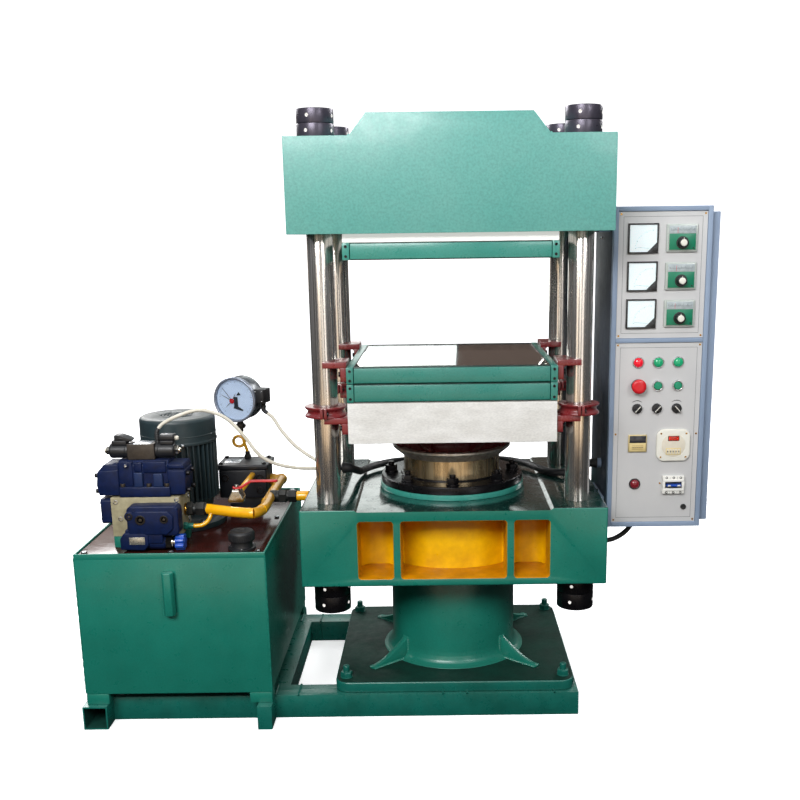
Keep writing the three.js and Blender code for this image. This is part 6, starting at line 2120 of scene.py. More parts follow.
@dataclass(frozen=True)
class ValveStack:
    """Manifold on its feet with the pilot valve, the solenoid valve and the relief valve."""

    left: float = -0.895
    right: float = -0.715
    front: float = -0.272
    back: float = -0.165
    foot: float = 0.4813
    low: float = 0.5123
    top: float = 0.6173
    coil_z: float = 0.7339
    spool_y: float = -0.226

    def build(self) -> None:
        """Makes the whole stack."""
        self.manifold()
        self.pilot()
        self.solenoid()
        self.relief()
        self.knob()

    def manifold(self) -> None:
        """Makes the drilled block, its green feet and its plugs."""
        form = Form().block(
            (self.left, self.front, self.low), (self.right, self.back, self.top), MANIFOLD, 0.0015, steps=3,
        )
        for x in (self.left + 0.001, self.right - 0.029):
            for y in (self.front + 0.001, self.back - 0.025):
                form.block((x, y, self.foot), (x + 0.028, y + 0.024, self.low + 0.001), GREEN, 0.001)
        form.block(
            (self.left + 0.06, self.front + 0.02, self.foot),
            (self.right - 0.06, self.back - 0.02, self.low + 0.001), MANIFOLD, 0.002,
        )
        y0, z0, z1 = self.front + 0.005, 0.5455, 0.6123
        form.prism(
            self.chamfered(y0, y0 + 0.047, z0, z1, 0.005), Axis.X, self.left - 0.029, self.left + 0.001, NAVY,
            0.002, steps=3,
        )
        for y in (y0 + 0.012, y0 + 0.035):
            for z in (z0 + 0.012, z1 - 0.012):
                form.screw((self.left - 0.0288, y, z), 0.0052, 0.003, BLACKED, Axis.X, -1)
        hole = [
            (0, 0.001), (0.0062, 0.001), (0.0062, -0.0012), (0.0034, -0.0014), (0.003, 0.0004), (0, 0.0004),
        ]
        for x, z in ((-0.882, 0.605), (-0.872, 0.56), (-0.722, 0.6095)):
            form.turned(hole, (x, self.front, z), ZINC, Axis.Y, 24, 0.0003)
        flange = disc(0.0145, 0.0004, -0.001)
        form.turned(flange, (self.right, -0.2185, 0.5704), BRASS, Axis.X, 36, 0.0006)
        for y, z in ((-0.259, 0.569), (-0.183, 0.6), (-0.183, 0.535)):
            plug = [
                (0, -0.001), (0.007, -0.001), (0.007, 0.0012), (0.0038, 0.0014), (0.0033, -0.0004),
                (0, -0.0004),
            ]
            form.turned(plug, (self.right, y, z), ZINC, Axis.X, 24, 0.0003)
        form.piece("manifold_drilled", Body.FRAME, ["manifold_block"])

    def chamfered(self, y0: float, y1: float, z0: float, z1: float, c: float) -> list[Point]:
        """Outlines a box with cut corners across the valve.

        Args:
            y0: its front.
            y1: its back.
            z0: its foot.
            z1: its head.
            c: the cut.

        Returns:
            The points of the outline.
        """
        return [
            (y0 + c, z0), (y1 - c, z0), (y1, z0 + c), (y1, z1 - c), (y1 - c, z1), (y0 + c, z1), (y0, z1 - c),
            (y0, z0 + c),
        ]

    def pilot(self) -> None:
        """Makes the main spool valve: a ribbed casting on a ledge, between two end covers."""
        z0, z1 = 0.6176, 0.7126
        y0, y1 = self.front, self.front + 0.092
        form = Form().block((-0.870, y0, z0), (-0.737, y1, 0.645), NAVY, 0.003, steps=3)
        form.prism(
            self.chamfered(y0 + 0.009, y1 - 0.009, z0 + 0.002, z1, 0.012), Axis.X, -0.8725, -0.741, NAVY,
            0.003, steps=3,
        )
        left = [
            (-0.870, 0.6222), (-0.9235, 0.6222), (-0.9285, 0.650), (-0.9235, 0.6875), (-0.9075, 0.7042),
            (-0.870, 0.7042),
        ]
        left_low = [
            (-0.870, 0.6222), (-0.9242, 0.6222), (-0.9292, 0.650), (-0.9245, 0.6868), (-0.870, 0.6908),
        ]
        right = [
            (-0.743, 0.6222), (-0.7005, 0.6222), (-0.6975, 0.650), (-0.6978, 0.6840), (-0.7035, 0.7034),
            (-0.743, 0.7034),
        ]
        right_low = [(-0.743, 0.6222), (-0.700, 0.6222), (-0.697, 0.650), (-0.6972, 0.6872), (-0.743, 0.6882)]
        right_top = [(-0.739, 0.6918), (-0.6985, 0.6918), (-0.703, 0.7030), (-0.739, 0.7030)]
        for outline, reach in (
            (left, 0.008), (left_low, 0.0045), (right, 0.011), (right_low, 0.006), (right_top, 0.005),
        ):
            form.prism(outline, Axis.Y, y0 + reach, y1 - reach, NAVY, 0.0028, steps=3)
        for x0, x1, foot, head, proud, finish in (
            (-0.8705, -0.8335, 0.6452, 0.7105, 0.002, NAVY),
            (-0.829, -0.807, 0.6448, 0.6825, 0.0085, NAVY_WORN),
            (-0.8285, -0.8085, 0.6835, 0.7085, 0.003, NAVY), (-0.805, -0.7455, 0.6815, 0.7105, 0.004, NAVY),
            (-0.779, -0.755, 0.6448, 0.6795, 0.0085, NAVY_WORN),
        ):
            form.block((x0, y0 + 0.009 - proud, foot), (x1, y0 + 0.03, head), finish, 0.0022, steps=3)
        boss = tapered(0.0068, -0.0034, 0.0050, -0.0042, 0.001)
        form.turned(boss, (-0.849, y0 + 0.0075, 0.7015), NAVY, Axis.Y, 28, 0.0006)
        form.screw((-0.849, y0 + 0.0034, 0.7015), 0.0036, 0.0022, ZINC, Axis.Y, -1)
        form.block((-0.868, y0 + 0.014, z1 - 0.012), (-0.846, y1 - 0.014, z1 - 0.0003), NAVY, 0.003, steps=3)
        for x in (-0.861, -0.793, -0.746):
            for y in (y0 + 0.0072, y1 - 0.0072):
                form.screw((x, y, 0.6448), 0.0066, 0.0088, BLACKED_BODY, Axis.Z, 1)
        for x, way, low, high in ((-0.9275, -1, 0.631, 0.673), (-0.6978, 1, 0.632, 0.6765)):
            for y in (y0 + 0.022, y1 - 0.022):
                for z in (low, high):
                    form.screw((x, y, z), 0.0060, 0.0092, BLACKED, Axis.X, way)
        form.piece("spool_valve", Body.FRAME, ["pilot_valve"])

    def solenoid(self) -> None:
        """Makes the pilot stage: a steel body between two coils with their plugs."""
        y, z = self.spool_y, self.coil_z
        form = Form().block(
            (-0.8488, y - 0.023, 0.7129), (-0.7772, y + 0.023, 0.7546), BLACKED_BODY, 0.0018, steps=3,
        )
        form.block((-0.842, y - 0.0215, 0.7538), (-0.786, y + 0.0205, 0.7552), ZINC, 0.0004)
        coil = [
            (0, 0), (0.0195, 0), (0.0200, 0.002), (0.0200, 0.046), (0.0176, 0.0492), (0.0118, 0.0506),
            (0, 0.0506),
        ]
        for x, way in ((-0.8486, -1), (-0.7774, 1)):
            form.turned([(r, way * h) for r, h in coil], (x, y, z), BLACK_PLASTIC, Axis.X, 64, 0.0014)
            form.turned(
                [(0.0198, way * 0.006), (0.0206, way * 0.0072), (0.0198, way * 0.0084)], (x, y, z),
                BLACK_PLASTIC, Axis.X, 64, 0.0,
            )
            form.hexagon((x + way * 0.0504, y, z), 0.0122, 0.0088, NUT_SILVER, Axis.X, way, 0.3)
            nose = tapered(0.0072, way * 0.0042, 0.0050, way * 0.0060)
            form.turned(nose, (x + way * 0.0586, y, z), NUT_SILVER, Axis.X, 32, 0.0004)
        form.block(
            (-0.8905, y - 0.0145, 0.750), (-0.8515, y + 0.0145, 0.7625), BLACK_PLASTIC, 0.0025, steps=3,
        )
        hood = [
            (-0.8835, 0.761), (-0.8825, 0.7772), (-0.8655, 0.7775), (-0.8420, 0.7690), (-0.8365, 0.7640),
            (-0.8400, 0.7585), (-0.8620, 0.761),
        ]
        form.prism(hood, Axis.Y, y - 0.0145, y + 0.0145, BLACK_PLASTIC, 0.0022, steps=3)
        form.block((-0.8740, y - 0.0152, 0.7660), (-0.8600, y + 0.0152, 0.7700), BLACK_PLASTIC, 0.001)
        form.block(
            (-0.7650, y - 0.0145, 0.750), (-0.7290, y + 0.0145, 0.7615), BLACK_PLASTIC, 0.0025, steps=3,
        )
        form.block(
            (-0.7660, y - 0.0158, 0.7618), (-0.7265, y + 0.0158, 0.7765), BLACK_PLASTIC, 0.0035, steps=3,
        )
        form.turned(tapered(0.0058, 0.0075, 0.0042, 0.0098), (-0.7272, y, 0.7655), CREAM, Axis.X, 28, 0.0006)
        form.screw((-0.748, y, 0.7763), 0.003, 0.001, ZINC, Axis.Z, 1)
        gland = [
            (0, -0.012), (0.0068, -0.012), (0.0068, 0.002), (0.0058, 0.0034), (0.0058, 0.0089), (0, 0.0089),
        ]
        form.turned(gland, (-0.773, y, 0.7548), BLACK_PLASTIC, Axis.Z, 28, 0.0004)
        form.piece("pilot_stage", Body.FRAME, ["solenoid_valve"])

    def relief(self) -> None:
        """Makes the relief valve: a rounded head over the barrel of its spring."""
        x0, x1, y0, y1 = -0.843, -0.709, -0.3223, -0.2723
        z0, z1 = 0.5253, 0.6043
        form = Form().prism(
            rounded_box(x0, x1, z0, z1, 0.014, 6), Axis.Y, y0 + 0.006, y1, NAVY, 0.004, steps=4,
        )
        head = [
            (x0 + 0.004, z0 + 0.004), (x1 - 0.030, z0 + 0.004), (x1 - 0.014, z0 + 0.020),
            (x1 - 0.012, z1 - 0.026), (x1 - 0.026, z1 - 0.012), (x0 + 0.026, z1 - 0.012),
            (x0 + 0.004, z1 - 0.030),
        ]
        form.prism(head, Axis.Y, y0 + 0.0008, y0 + 0.02, NAVY, 0.0035, steps=4)
        for x, z, r in ((-0.834, 0.579, 0.0095), (-0.806, 0.5695, 0.0135), (-0.745, 0.5705, 0.0110)):
            form.turned(
                [(0, 0.004), (r + 0.0035, 0.004), (r + 0.003, -0.0002), (r, -0.0006), (0, -0.0006)],
                (x, y0 + 0.0014, z), NAVY, Axis.Y, 40, 0.0008,
            )
            socket = [
                (0, 0.001), (r, 0.001), (r, -0.0008), (r * 0.94, -0.0014), (r * 0.60, -0.0014),
                (r * 0.54, 0.0006), (0, 0.0008),
            ]
            form.turned(socket, (x, y0 + 0.0010, z), SOCKET_BLACK, Axis.Y, 40, 0.0003)
            key = disc(r * 0.36, -0.0002, 0.0004)
            form.turned(key, (x, y0 + 0.0008, z), BLACKED_BODY, Axis.Y, 6, 0.0001, phase=0.3)
        y, z = -0.2973, 0.5033
        barrel = [
            (0, -0.862), (0.0155, -0.862), (0.018, -0.8595), (0.018, -0.846), (0.0165, -0.845),
            (0.0165, -0.79), (0.0176, -0.789), (0.0176, -0.751), (0.0150, -0.7492), (0.0150, -0.7478),
            (0, -0.7478),
        ]
        form.turned(barrel, (0, y, z), NAVY, Axis.X, 64, 0.0012)
        form.hexagon((-0.7480, y, z), 0.0176, 0.0145, SOCKET_BLACK, Axis.X, 1, 0.1)
        form.turned(
            [(0, 0), (0.0128, 0), (0.0128, 0.0040), (0.0085, 0.0046), (0.0085, 0.0118), (0, 0.0118)],
            (-0.7338, y, z), NUT_SILVER, Axis.X, 32, 0.0005,
        )
        form.block((x0 - 0.006, y0 + 0.004, z + 0.001), (-0.752, y1, z0 + 0.018), NAVY, 0.004, steps=4)
        cover = [
            (-0.862, 0.4905), (-0.800, 0.4880), (-0.789, 0.5020), (-0.789, 0.5270), (-0.800, 0.5350),
            (-0.851, 0.5350), (-0.8625, 0.5200),
        ]
        form.prism(cover, Axis.Y, y0 + 0.0006, y0 + 0.022, NAVY, 0.0028, steps=3)
        form.block((-0.838, y0 - 0.0002, 0.5045), (-0.798, y0 + 0.004, 0.5240), BARE_PLATE, 0.0004)
        for x in (-0.8355, -0.8005):
            for dz in (0.5072, 0.5213):
                form.screw((x, y0 - 0.0001, dz), 0.0012, 0.0006, ZINC, Axis.Y, -1)
        form.piece("relief_valve_casting", Body.FRAME, ["relief_valve"])

    def knob(self) -> None:
        """Makes the lobed blue knob of the relief valve."""
        y, z = -0.2956, 0.5033
        outline = []
        for i in range(168):
            a = 2 * math.pi * i / 168
            r = 0.0216 - 0.0046 * abs(math.sin(3.5 * a)) ** 5
            outline.append((y + r * math.cos(a), z + r * math.sin(a)))
        form = Form().prism(outline, Axis.X, -0.7232, -0.7012, BLUE_PLASTIC, 0.0026, steps=4)
        form.turned(
            [(0, 0), (0.0125, 0), (0.0118, 0.0012), (0.0, 0.0014)], (-0.7013, y, z), BLUE_PLASTIC, Axis.X, 40,
            0.0003,
        )
        form.piece("relief_knob_fluted", Body.KNOB, ["relief_knob"])


@dataclass(frozen=True)
class GaugePost:
    """Block with the pigtail siphon and the contact gauge on it."""

    left: float = -0.680
    right: float = -0.540
    front: float = 0.040
    back: float = 0.150
    foot: float = 0.4813
    waist: float = 0.5303
    top: float = 0.6303
    lid: float = 0.016
    foot_point: tuple[float, float] = (-0.608, 0.122)
    centre: tuple[float, float, float] = (-0.624, 0.122, 0.8129)
    turn_deg: float = -16.0

    def build(self) -> None:
        """Makes the block, the siphon and the gauge."""
        shoulder = self.top - self.lid
        inset = 0.024
        form = Form().block(
            (self.left + inset, self.front + inset, self.foot),
            (self.right - inset, self.back - inset, self.waist + 0.001), DARK_BLOCK, 0.002,
        )
        form.block(
            (self.left, self.front, self.waist), (self.right, self.back, shoulder + 0.001), DARK_BLOCK, 0.005,
            steps=4,
        )
        form.block(
            (self.left - 0.0058, self.front - 0.0058, shoulder),
            (self.right + 0.0058, self.back + 0.0058, self.top), DARK_BLOCK, 0.0045, steps=4,
        )
        form.block(
            (self.left + 0.012, self.front + 0.03, self.top - 0.002),
            (self.left + 0.058, self.back - 0.03, self.top + 0.0012), ZINC, 0.0008,
        )
        for x in (self.left + 0.006, self.right - 0.008):
            for y in (self.front + 0.010, self.back - 0.010):
                form.screw((x, y, self.top - 0.0004), 0.0065, 0.0048, BLACKED, Axis.Z, 1)
        port = [
            (0, 0.001), (0.0115, 0.001), (0.0115, -0.0018), (0.0062, -0.002), (0.0055, 0.0004), (0, 0.0004),
        ]
        for x, z in ((-0.662, 0.590), (-0.560, 0.590), (-0.622, 0.556), (-0.560, 0.552)):
            form.turned(port, (x, self.front, z), BLACKED, Axis.Y, 28, 0.0004)
        form.piece("gauge_block_drilled", Body.FRAME, ["gauge_block"])
        self.siphon()
        self.gauge()

    def siphon(self) -> None:
        """Makes the yellow pigtail between its black foot and its black union nut."""
        x, y = self.foot_point
        head_x = self.centre[0]
        foot, tube, nut, head = self.top + 0.0003, self.top + 0.0233, self.top + 0.0833, self.top + 0.1143
        form = Form().hexagon((x, y, foot), 0.0098, 0.013, SOCKET_BLACK, Axis.Z, 1, 0.2)
        form.turned(
            tapered(0.0072, 0.0085, 0.0055, 0.0105), (x, y, foot + 0.0128), SOCKET_BLACK, Axis.Z, 32, 0.0005,
        )
        centre, middle = (tube + nut) / 2, (x + head_x) / 2
        route = [(x, y, tube - 0.001), (x - 0.0015, y - 0.002, tube + 0.006)]
        for i in range(25):
            t = i / 24
            a = -2 * math.pi * t
            route.append(
                (middle - 0.016 + 0.016 * math.cos(a), y - 0.012 * (0.5 - t), centre - 0.016 * math.sin(a))
            )
        route += [(head_x + 0.0015, y + 0.002, nut - 0.006), (head_x, y, nut + 0.001)]
        form.tube(route, 0.0046, MUSTARD, 24, 0.0016)
        form.hexagon((head_x, y, nut), 0.0085, 0.010, SOCKET_BLACK, Axis.Z, 1, 0.5)
        form.hexagon((head_x, y, nut + 0.0098), 0.0125, 0.0150, SOCKET_BLACK, Axis.Z, 1, 0.15)
        form.turned(
            [(0, 0), (0.0092, 0), (0.0092, 0.0058), (0, 0.0062)], (head_x, y, head - 0.0064), SOCKET_BLACK,
            Axis.Z, 32, 0.0005,
        )
        for way in (-1, 1):
            form.turned(
                tapered(0.0042, way * 0.0052, 0.003, way * 0.006), (head_x + way * 0.0095, y, nut + 0.0175),
                SOCKET_BLACK, Axis.X, 24, 0.0006,
            )
        form.piece("pigtail_siphon", Body.FRAME, ["gauge_siphon"])

    def gauge(self) -> None:
        """Makes the contact gauge: case, card, contact plate, pointers, glass and terminal box."""
        place = spun(self.centre, math.radians(self.turn_deg))
        form = Form()
        case = [(0, 0.034), (0.0615, 0.034), (0.0645, 0.031), (0.0645, -0.0200), (0.0, -0.0200)]
        form.turned(case, (0, 0, 0), CASE_GREY, Axis.Y, 128, 0.0012, place)
        bezel = [
            (0.0640, -0.0195), (0.0668, -0.0215), (0.0668, -0.0300), (0.0655, -0.0330), (0.0628, -0.0337),
            (0.0606, -0.0322), (0.0600, -0.0280), (0.0600, -0.0195),
        ]
        form.turned(bezel, (0, 0, 0), BEZEL_GREY, Axis.Y, 160, 0.0008, place)
        form.turned(disc(0.0604, -0.0212, -0.0200), (0, 0, 0), GAUGE_CARD, Axis.Y, 96, 0.0, place)
        for i in range(51):
            a = math.radians(225 - 270 * i / 50)
            start, half = (0.0480, 0.0006) if i % 5 == 0 else (0.0505, 0.0003)
            spin = place @ Matrix.Rotation(-a, 4, "Y")
            form.block((start, -0.0216, -half), (0.0535, -0.0210, half), FAINT_BLUE, 0.0, spin)
        plate = [
            (-0.0055, 0.0080), (0.0065, 0.0080), (0.0080, -0.0205), (0.0240, -0.0300), (0.0220, -0.0335),
            (-0.0075, -0.0265), (-0.0050, -0.0190),
        ]
        form.prism(plate, Axis.Y, -0.0236, -0.0228, DARK_METER_PLATE, 0.0, place)
        form.prism(
            [(0.0040, 0.0120), (0.0180, 0.0135), (0.0110, 0.0230)], Axis.Y, -0.0240, -0.0232,
            DARK_METER_PLATE, 0.0, place,
        )
        hub_x, hub_z = -0.0105, -0.0045
        hub = place @ Matrix.Translation(Vector((hub_x, 0, hub_z)))
        for angle, reach, width in (
            (128, 0.050, 0.0009), (152, 0.041, 0.0010), (222, 0.030, 0.0010), (62, 0.026, 0.0012),
        ):
            spin = hub @ Matrix.Rotation(-math.radians(angle), 4, "Y")
            hand = [
                (-0.004, -width), (reach * 0.6, -width * 0.8), (reach, -0.0002), (reach, 0.0002),
                (reach * 0.6, width * 0.8), (-0.004, width),
            ]
            form.prism(hand, Axis.Y, -0.0248, -0.0242, BRONZE_HAND, 0.0, spin)
        form.turned(disc(0.0040, -0.0262, -0.0212), (0, 0, 0), BLACKED, Axis.Y, 32, 0.0005, hub)
        form.turned(
            [(0, -0.0258), (0.0076, -0.0258), (0.0076, -0.0272), (0.0062, -0.0284), (0, -0.0287)], (0, 0, 0),
            RED_PLASTIC, Axis.Y, 40, 0.0006, hub,
        )
        box = Form().block((0.058, -0.024, -0.0095), (0.0905, 0.024, 0.0318), BLACK_PLASTIC, 0.003, place, 3)
        box.block((0.0615, -0.0248, -0.0065), (0.0875, -0.0230, 0.0285), BLACK_PLASTIC, 0.001, place)
        for dx in (0.0650, 0.0840):
            for dz in (-0.0030, 0.0250):
                box.turned(
                    [(0, 0.0004), (0.0018, 0.0004), (0.0018, -0.0008), (0, -0.0012)], (dx, -0.0248, dz), ZINC,
                    Axis.Y, 16, 0.0002, place,
                )
        outlet = [
            (0, 0.0005), (0.0072, 0.0005), (0.0072, -0.0042), (0.0062, -0.0052), (0.0062, -0.0089),
            (0, -0.0089),
        ]
        box.turned(outlet, (0.078, 0, -0.0098), BLACK_PLASTIC, Axis.Z, 28, 0.0004, place)
        stem = Form().turned(disc(0.0072, -0.0560, -0.0680), (0, 0, 0), BRASS, Axis.Z, 32, 0.0005, place)
        form.piece("contact_gauge", Body.FRAME, ["pressure_gauge"])
        box.piece("gauge_terminal_box", Body.FRAME)
        stem.piece("gauge_stem", Body.FRAME)
        glass = Form().turned(disc(0.0602, -0.0290, -0.0300), (0, 0, 0), GLASS, Axis.Y, 96, 0.0, place)
        glass.piece("gauge_window", Body.FRAME)


@dataclass(frozen=True)
class Pipework:
    """Painted pressure pipe, the hand valve in front of its block and the line to the cylinder."""

    z: float = 0.5704
    run_x: float = -0.5075
    manifold_y: float = -0.2185
    manifold_right: float = -0.715
    branch_y: float = -0.095
    inlet_y: float = 0.105
    valve_at: tuple[float, float] = (-0.581, -0.190)
    valve_top: float = 0.6173
    lever_foot: float = 0.6176

    def build(self) -> None:
        """Makes the pipes and the hand valve."""
        self.pressure_pipe()
        self.return_pipe()
        self.feed()
        self.hand_valve()
        self.lever()

    def pressure_pipe(self) -> None:
        """Makes the bowed pipe from the manifold, its welded elbow and its run back to the gauge block."""
        y, z, x = self.manifold_y, self.z, self.manifold_right + 0.0003
        form = Form().turned(tapered(0.0165, 0.0055, 0.0135, 0.0062), (x, y, z), BRASS, Axis.X, 40, 0.0006)
        form.hexagon((x + 0.0060, y, z), 0.0185, 0.0165, COUPLING, Axis.X, 1, 0.0)
        form.turned(disc(0.0140, 0.008), (x + 0.0222, y, z), COUPLING, Axis.X, 40, 0.0005)
        form.hexagon((x + 0.0298, y, z), 0.0200, 0.0240, COUPLING, Axis.X, 1, 0.25)
        form.turned(disc(0.0152, 0.0052), (x + 0.0535, y, z), COUPLING, Axis.X, 40, 0.0005)
        first = x + 0.058
        reach = self.run_x - first
        route = [
            (first - 0.001, y, z), (first + reach * 0.28, y - 0.020, z), (first + reach * 0.52, y - 0.036, z),
            (first + reach * 0.78, y - 0.048, z),
        ]
        route += [
            (self.run_x - 0.015, y - 0.050, z), (self.run_x, y - 0.020, z), (self.run_x, self.branch_y, z),
            (self.run_x, 0.091, z), (self.run_x, self.inlet_y, z),
        ]
        line = smooth_route(route, 0.004)
        corner = min(
            range(len(line)), key=lambda i: abs(line[i].x - self.run_x + 0.018) + abs(line[i].y + 0.266),
        )
        for part, finish in ((line[: corner + 1], PIPE_YELLOW), (line[corner:], MUSTARD)):
            form.tube(part, 0.0139, finish, 40, 0.004, False)
        for i in (corner - 3, corner + 9):
            here, ahead = line[i], (line[i + 1] - line[i - 1]).normalized()
            form.tube(
                [here - ahead * 0.0018, here - ahead * 0.0006, here + ahead * 0.0006, here + ahead * 0.0018],
                0.0147, PIPE_YELLOW, 40, 0.001, False,
            )
        seam = [(0, 0), (0.0144, 0.0006), (0.0147, 0.0018), (0.0144, 0.0030), (0, 0.0036)]
        form.turned(seam, (self.run_x, -0.160, z), MUSTARD, Axis.Y, 40, 0.0002)
        form.turned(seam, (self.run_x, -0.050, z), MUSTARD, Axis.Y, 40, 0.0002)
        ball = [
            (0.0168 * math.sin(math.pi * k / 16), -0.0168 * math.cos(math.pi * k / 16)) for k in range(17)
        ]
        form.turned(ball, (self.run_x, self.inlet_y, z), MUSTARD, Axis.Z, 40, 0.0)
        neck = [(0, 0), (0.0166, 0), (0.0166, 0.012), (0.0148, 0.015), (0.0148, 0.033), (0, 0.033)]
        form.turned(neck, (-0.5397, self.inlet_y, z), MUSTARD, Axis.X, 40, 0.0006)
        form.turned(disc(0.0168, 0.0178), (self.run_x, self.branch_y, z), COUPLING, Axis.X, 40, 0.0008)
        form.piece("pressure_pipe_painted", Body.FRAME, ["pressure_pipe"])

    def return_pipe(self) -> None:
        """Makes the thin yellow pipe that runs back to the tank beneath the pressure pipe."""
        form = Form()
        y = -0.244
        route = [
            (-0.690, y, 0.531), (-0.676, y, 0.531), (-0.664, y + 0.001, 0.5335), (-0.653, y + 0.004, 0.541),
            (-0.646, y + 0.008, 0.552), (-0.645, y + 0.012, 0.5595),
        ]
        form.tube(route, 0.0055, PIPE_YELLOW, 20, 0.002)
        form.hexagon((-0.7148, y, 0.531), 0.0105, 0.012, SHADED_GREEN, Axis.X, 1, 0.1)
        form.turned(
            tapered(0.0078, 0.013, 0.0062, 0.0145), (-0.7030, y, 0.531), SHADED_GREEN, Axis.X, 28, 0.0005,
        )
        form.piece("return_pipe", Body.FRAME)

    def feed(self) -> None:
        """Makes the branch from the pipe's tee to the cylinder beam."""
        y, z = self.branch_y, self.z
        form = Form().turned(
            tapered(0.0165, 0.006, 0.0150, 0.0075), (-0.4892, y, z), COUPLING, Axis.X, 40, 0.0005,
        )
        form.hexagon((-0.4820, y, z), 0.0188, 0.020, COUPLING, Axis.X, 1, 0.1)
        form.turned(disc(0.0142, 0.007), (-0.4624, y, z), COUPLING, Axis.X, 36, 0.0004)
        form.hexagon((-0.4558, y, z), 0.0188, 0.022, COUPLING, Axis.X, 1, 0.4)
        form.turned(disc(0.0139, 0.0340), (-0.4343, y, z), PIPE_YELLOW, Axis.X, 40, 0.0004)
        form.turned(
            [(0, 0), (0.0150, 0.0004), (0.0155, 0.0016), (0.0150, 0.0028), (0, 0.0032)], (-0.4039, y, z),
            PIPE_YELLOW, Axis.X, 40, 0.0002,
        )
        form.piece("feed_line_painted", Body.FRAME, ["feed_line"])

    def hand_valve(self) -> None:
        """Makes the ball valve in front of the gauge block, with the pipe between them."""
        (x, y), top = self.valve_at, self.valve_top
        low, z = 0.5815, 0.5993
        body = [
            (x - 0.0205, low), (x + 0.0205, low), (x + 0.0208, low + 0.014), (x + 0.0125, top - 0.0065),
            (x + 0.0105, top), (x - 0.0105, top), (x - 0.0125, top - 0.0065), (x - 0.0208, low + 0.014),
        ]
        form = Form().prism(body, Axis.Y, y - 0.0208, y + 0.0208, NICKEL, 0.0035, steps=4)
        form.hexagon((x, y + 0.0207, z), 0.0118, 0.013, NICKEL, Axis.Y, 1, 0.3)
        form.turned(disc(0.0088, 0.196), (x, y + 0.0335, z), PIPE_YELLOW, Axis.Y, 40, 0.0004)
        bonnet = [
            (0, 0), (0.0118, 0), (0.0118, 0.0020), (0.0062, 0.0026), (0.0062, 0.0096), (0.0042, 0.0118),
            (0, 0.0118),
        ]
        form.turned(bonnet, (x, y, top - 0.0002), NICKEL, Axis.Z, 32, 0.0004)
        form.piece("ball_valve", Body.FRAME, ["hand_valve"])

    def lever(self) -> None:
        """Makes the red dipped handle of the ball valve."""
        x, y = self.valve_at
        z0 = self.lever_foot
        strip = [
            (x, z0), (x + 0.0125, z0), (x + 0.041, z0 + 0.018), (x + 0.1045, z0 + 0.018),
            (x + 0.1045, z0 + 0.0226), (x + 0.0385, z0 + 0.0226), (x + 0.0085, z0 + 0.0048), (x, z0 + 0.0048),
        ]
        form = Form().prism(strip, Axis.Y, y - 0.0078, y + 0.0078, RED_VINYL, 0.0018, steps=4)
        ring = [(0.0068, z0), (0.0108, z0), (0.0108, z0 + 0.0054), (0.0068, z0 + 0.0054), (0.0068, z0)]
        form.turned(ring, (x, y, 0), RED_VINYL, Axis.Z, 40, 0.0010)
        form.turned(disc(0.0080, 0.0050), (x + 0.1038, y, z0 + 0.0178), RED_VINYL, Axis.Z, 40, 0.0014)
        form.piece("ball_valve_handle", Body.LEVER, ["hand_valve_lever"])


# ---- control cabinet


@dataclass(frozen=True)
class CabinetShell:
    """Folded sheet housing of the electrics, hung on the beams."""

    left: float = 0.431
    right: float = 0.716
    front: float = -0.078
    back: float = 0.197
    covers: tuple[tuple[float, float], ...] = ((0.53, 0.9), (0.92, 1.28))
    louvres: int = 9

    def build(self) -> None:
        """Makes the housing from its solid and adds the rear cover and its fittings."""
        form = Form().copy_of("cabinet_body", POWDER, 0.0011, 2)
        # The left side sheet takes the darker coat, a painted shade.
        form.repaint(SHADED_SIDE, lambda at, normal: normal.x < -0.9)
        form.piece("cabinet_housing", Body.FRAME, ["cabinet_body"])
        extra = Form()
        for z0, z1 in self.covers:
            extra.block(
                (self.left + 0.03, self.back - 0.0006, z0), (self.right - 0.03, self.back + 0.0014, z1),
                POWDER, 0.0008,
            )
            for x in (self.left + 0.04, self.right - 0.04):
                for z in (z0 + 0.012, z1 - 0.012):
                    extra.screw((x, self.back + 0.0012, z), 0.0045, 0.0024, ZINC, Axis.Y, 1)
        for k in range(self.louvres):
            z = 1.05 + k * 0.011
            extra.block(
                (self.right - 0.0006, 0.02, z), (self.right + 0.0022, 0.13, z + 0.0045), POWDER, 0.0012,
            )
        for z in (0.55, 1.26):
            extra.screw((0.4155, 0.0, z), 0.006, 0.005, ZINC, Axis.Z, 1)
        extra.piece("cabinet_covers", Body.FRAME)


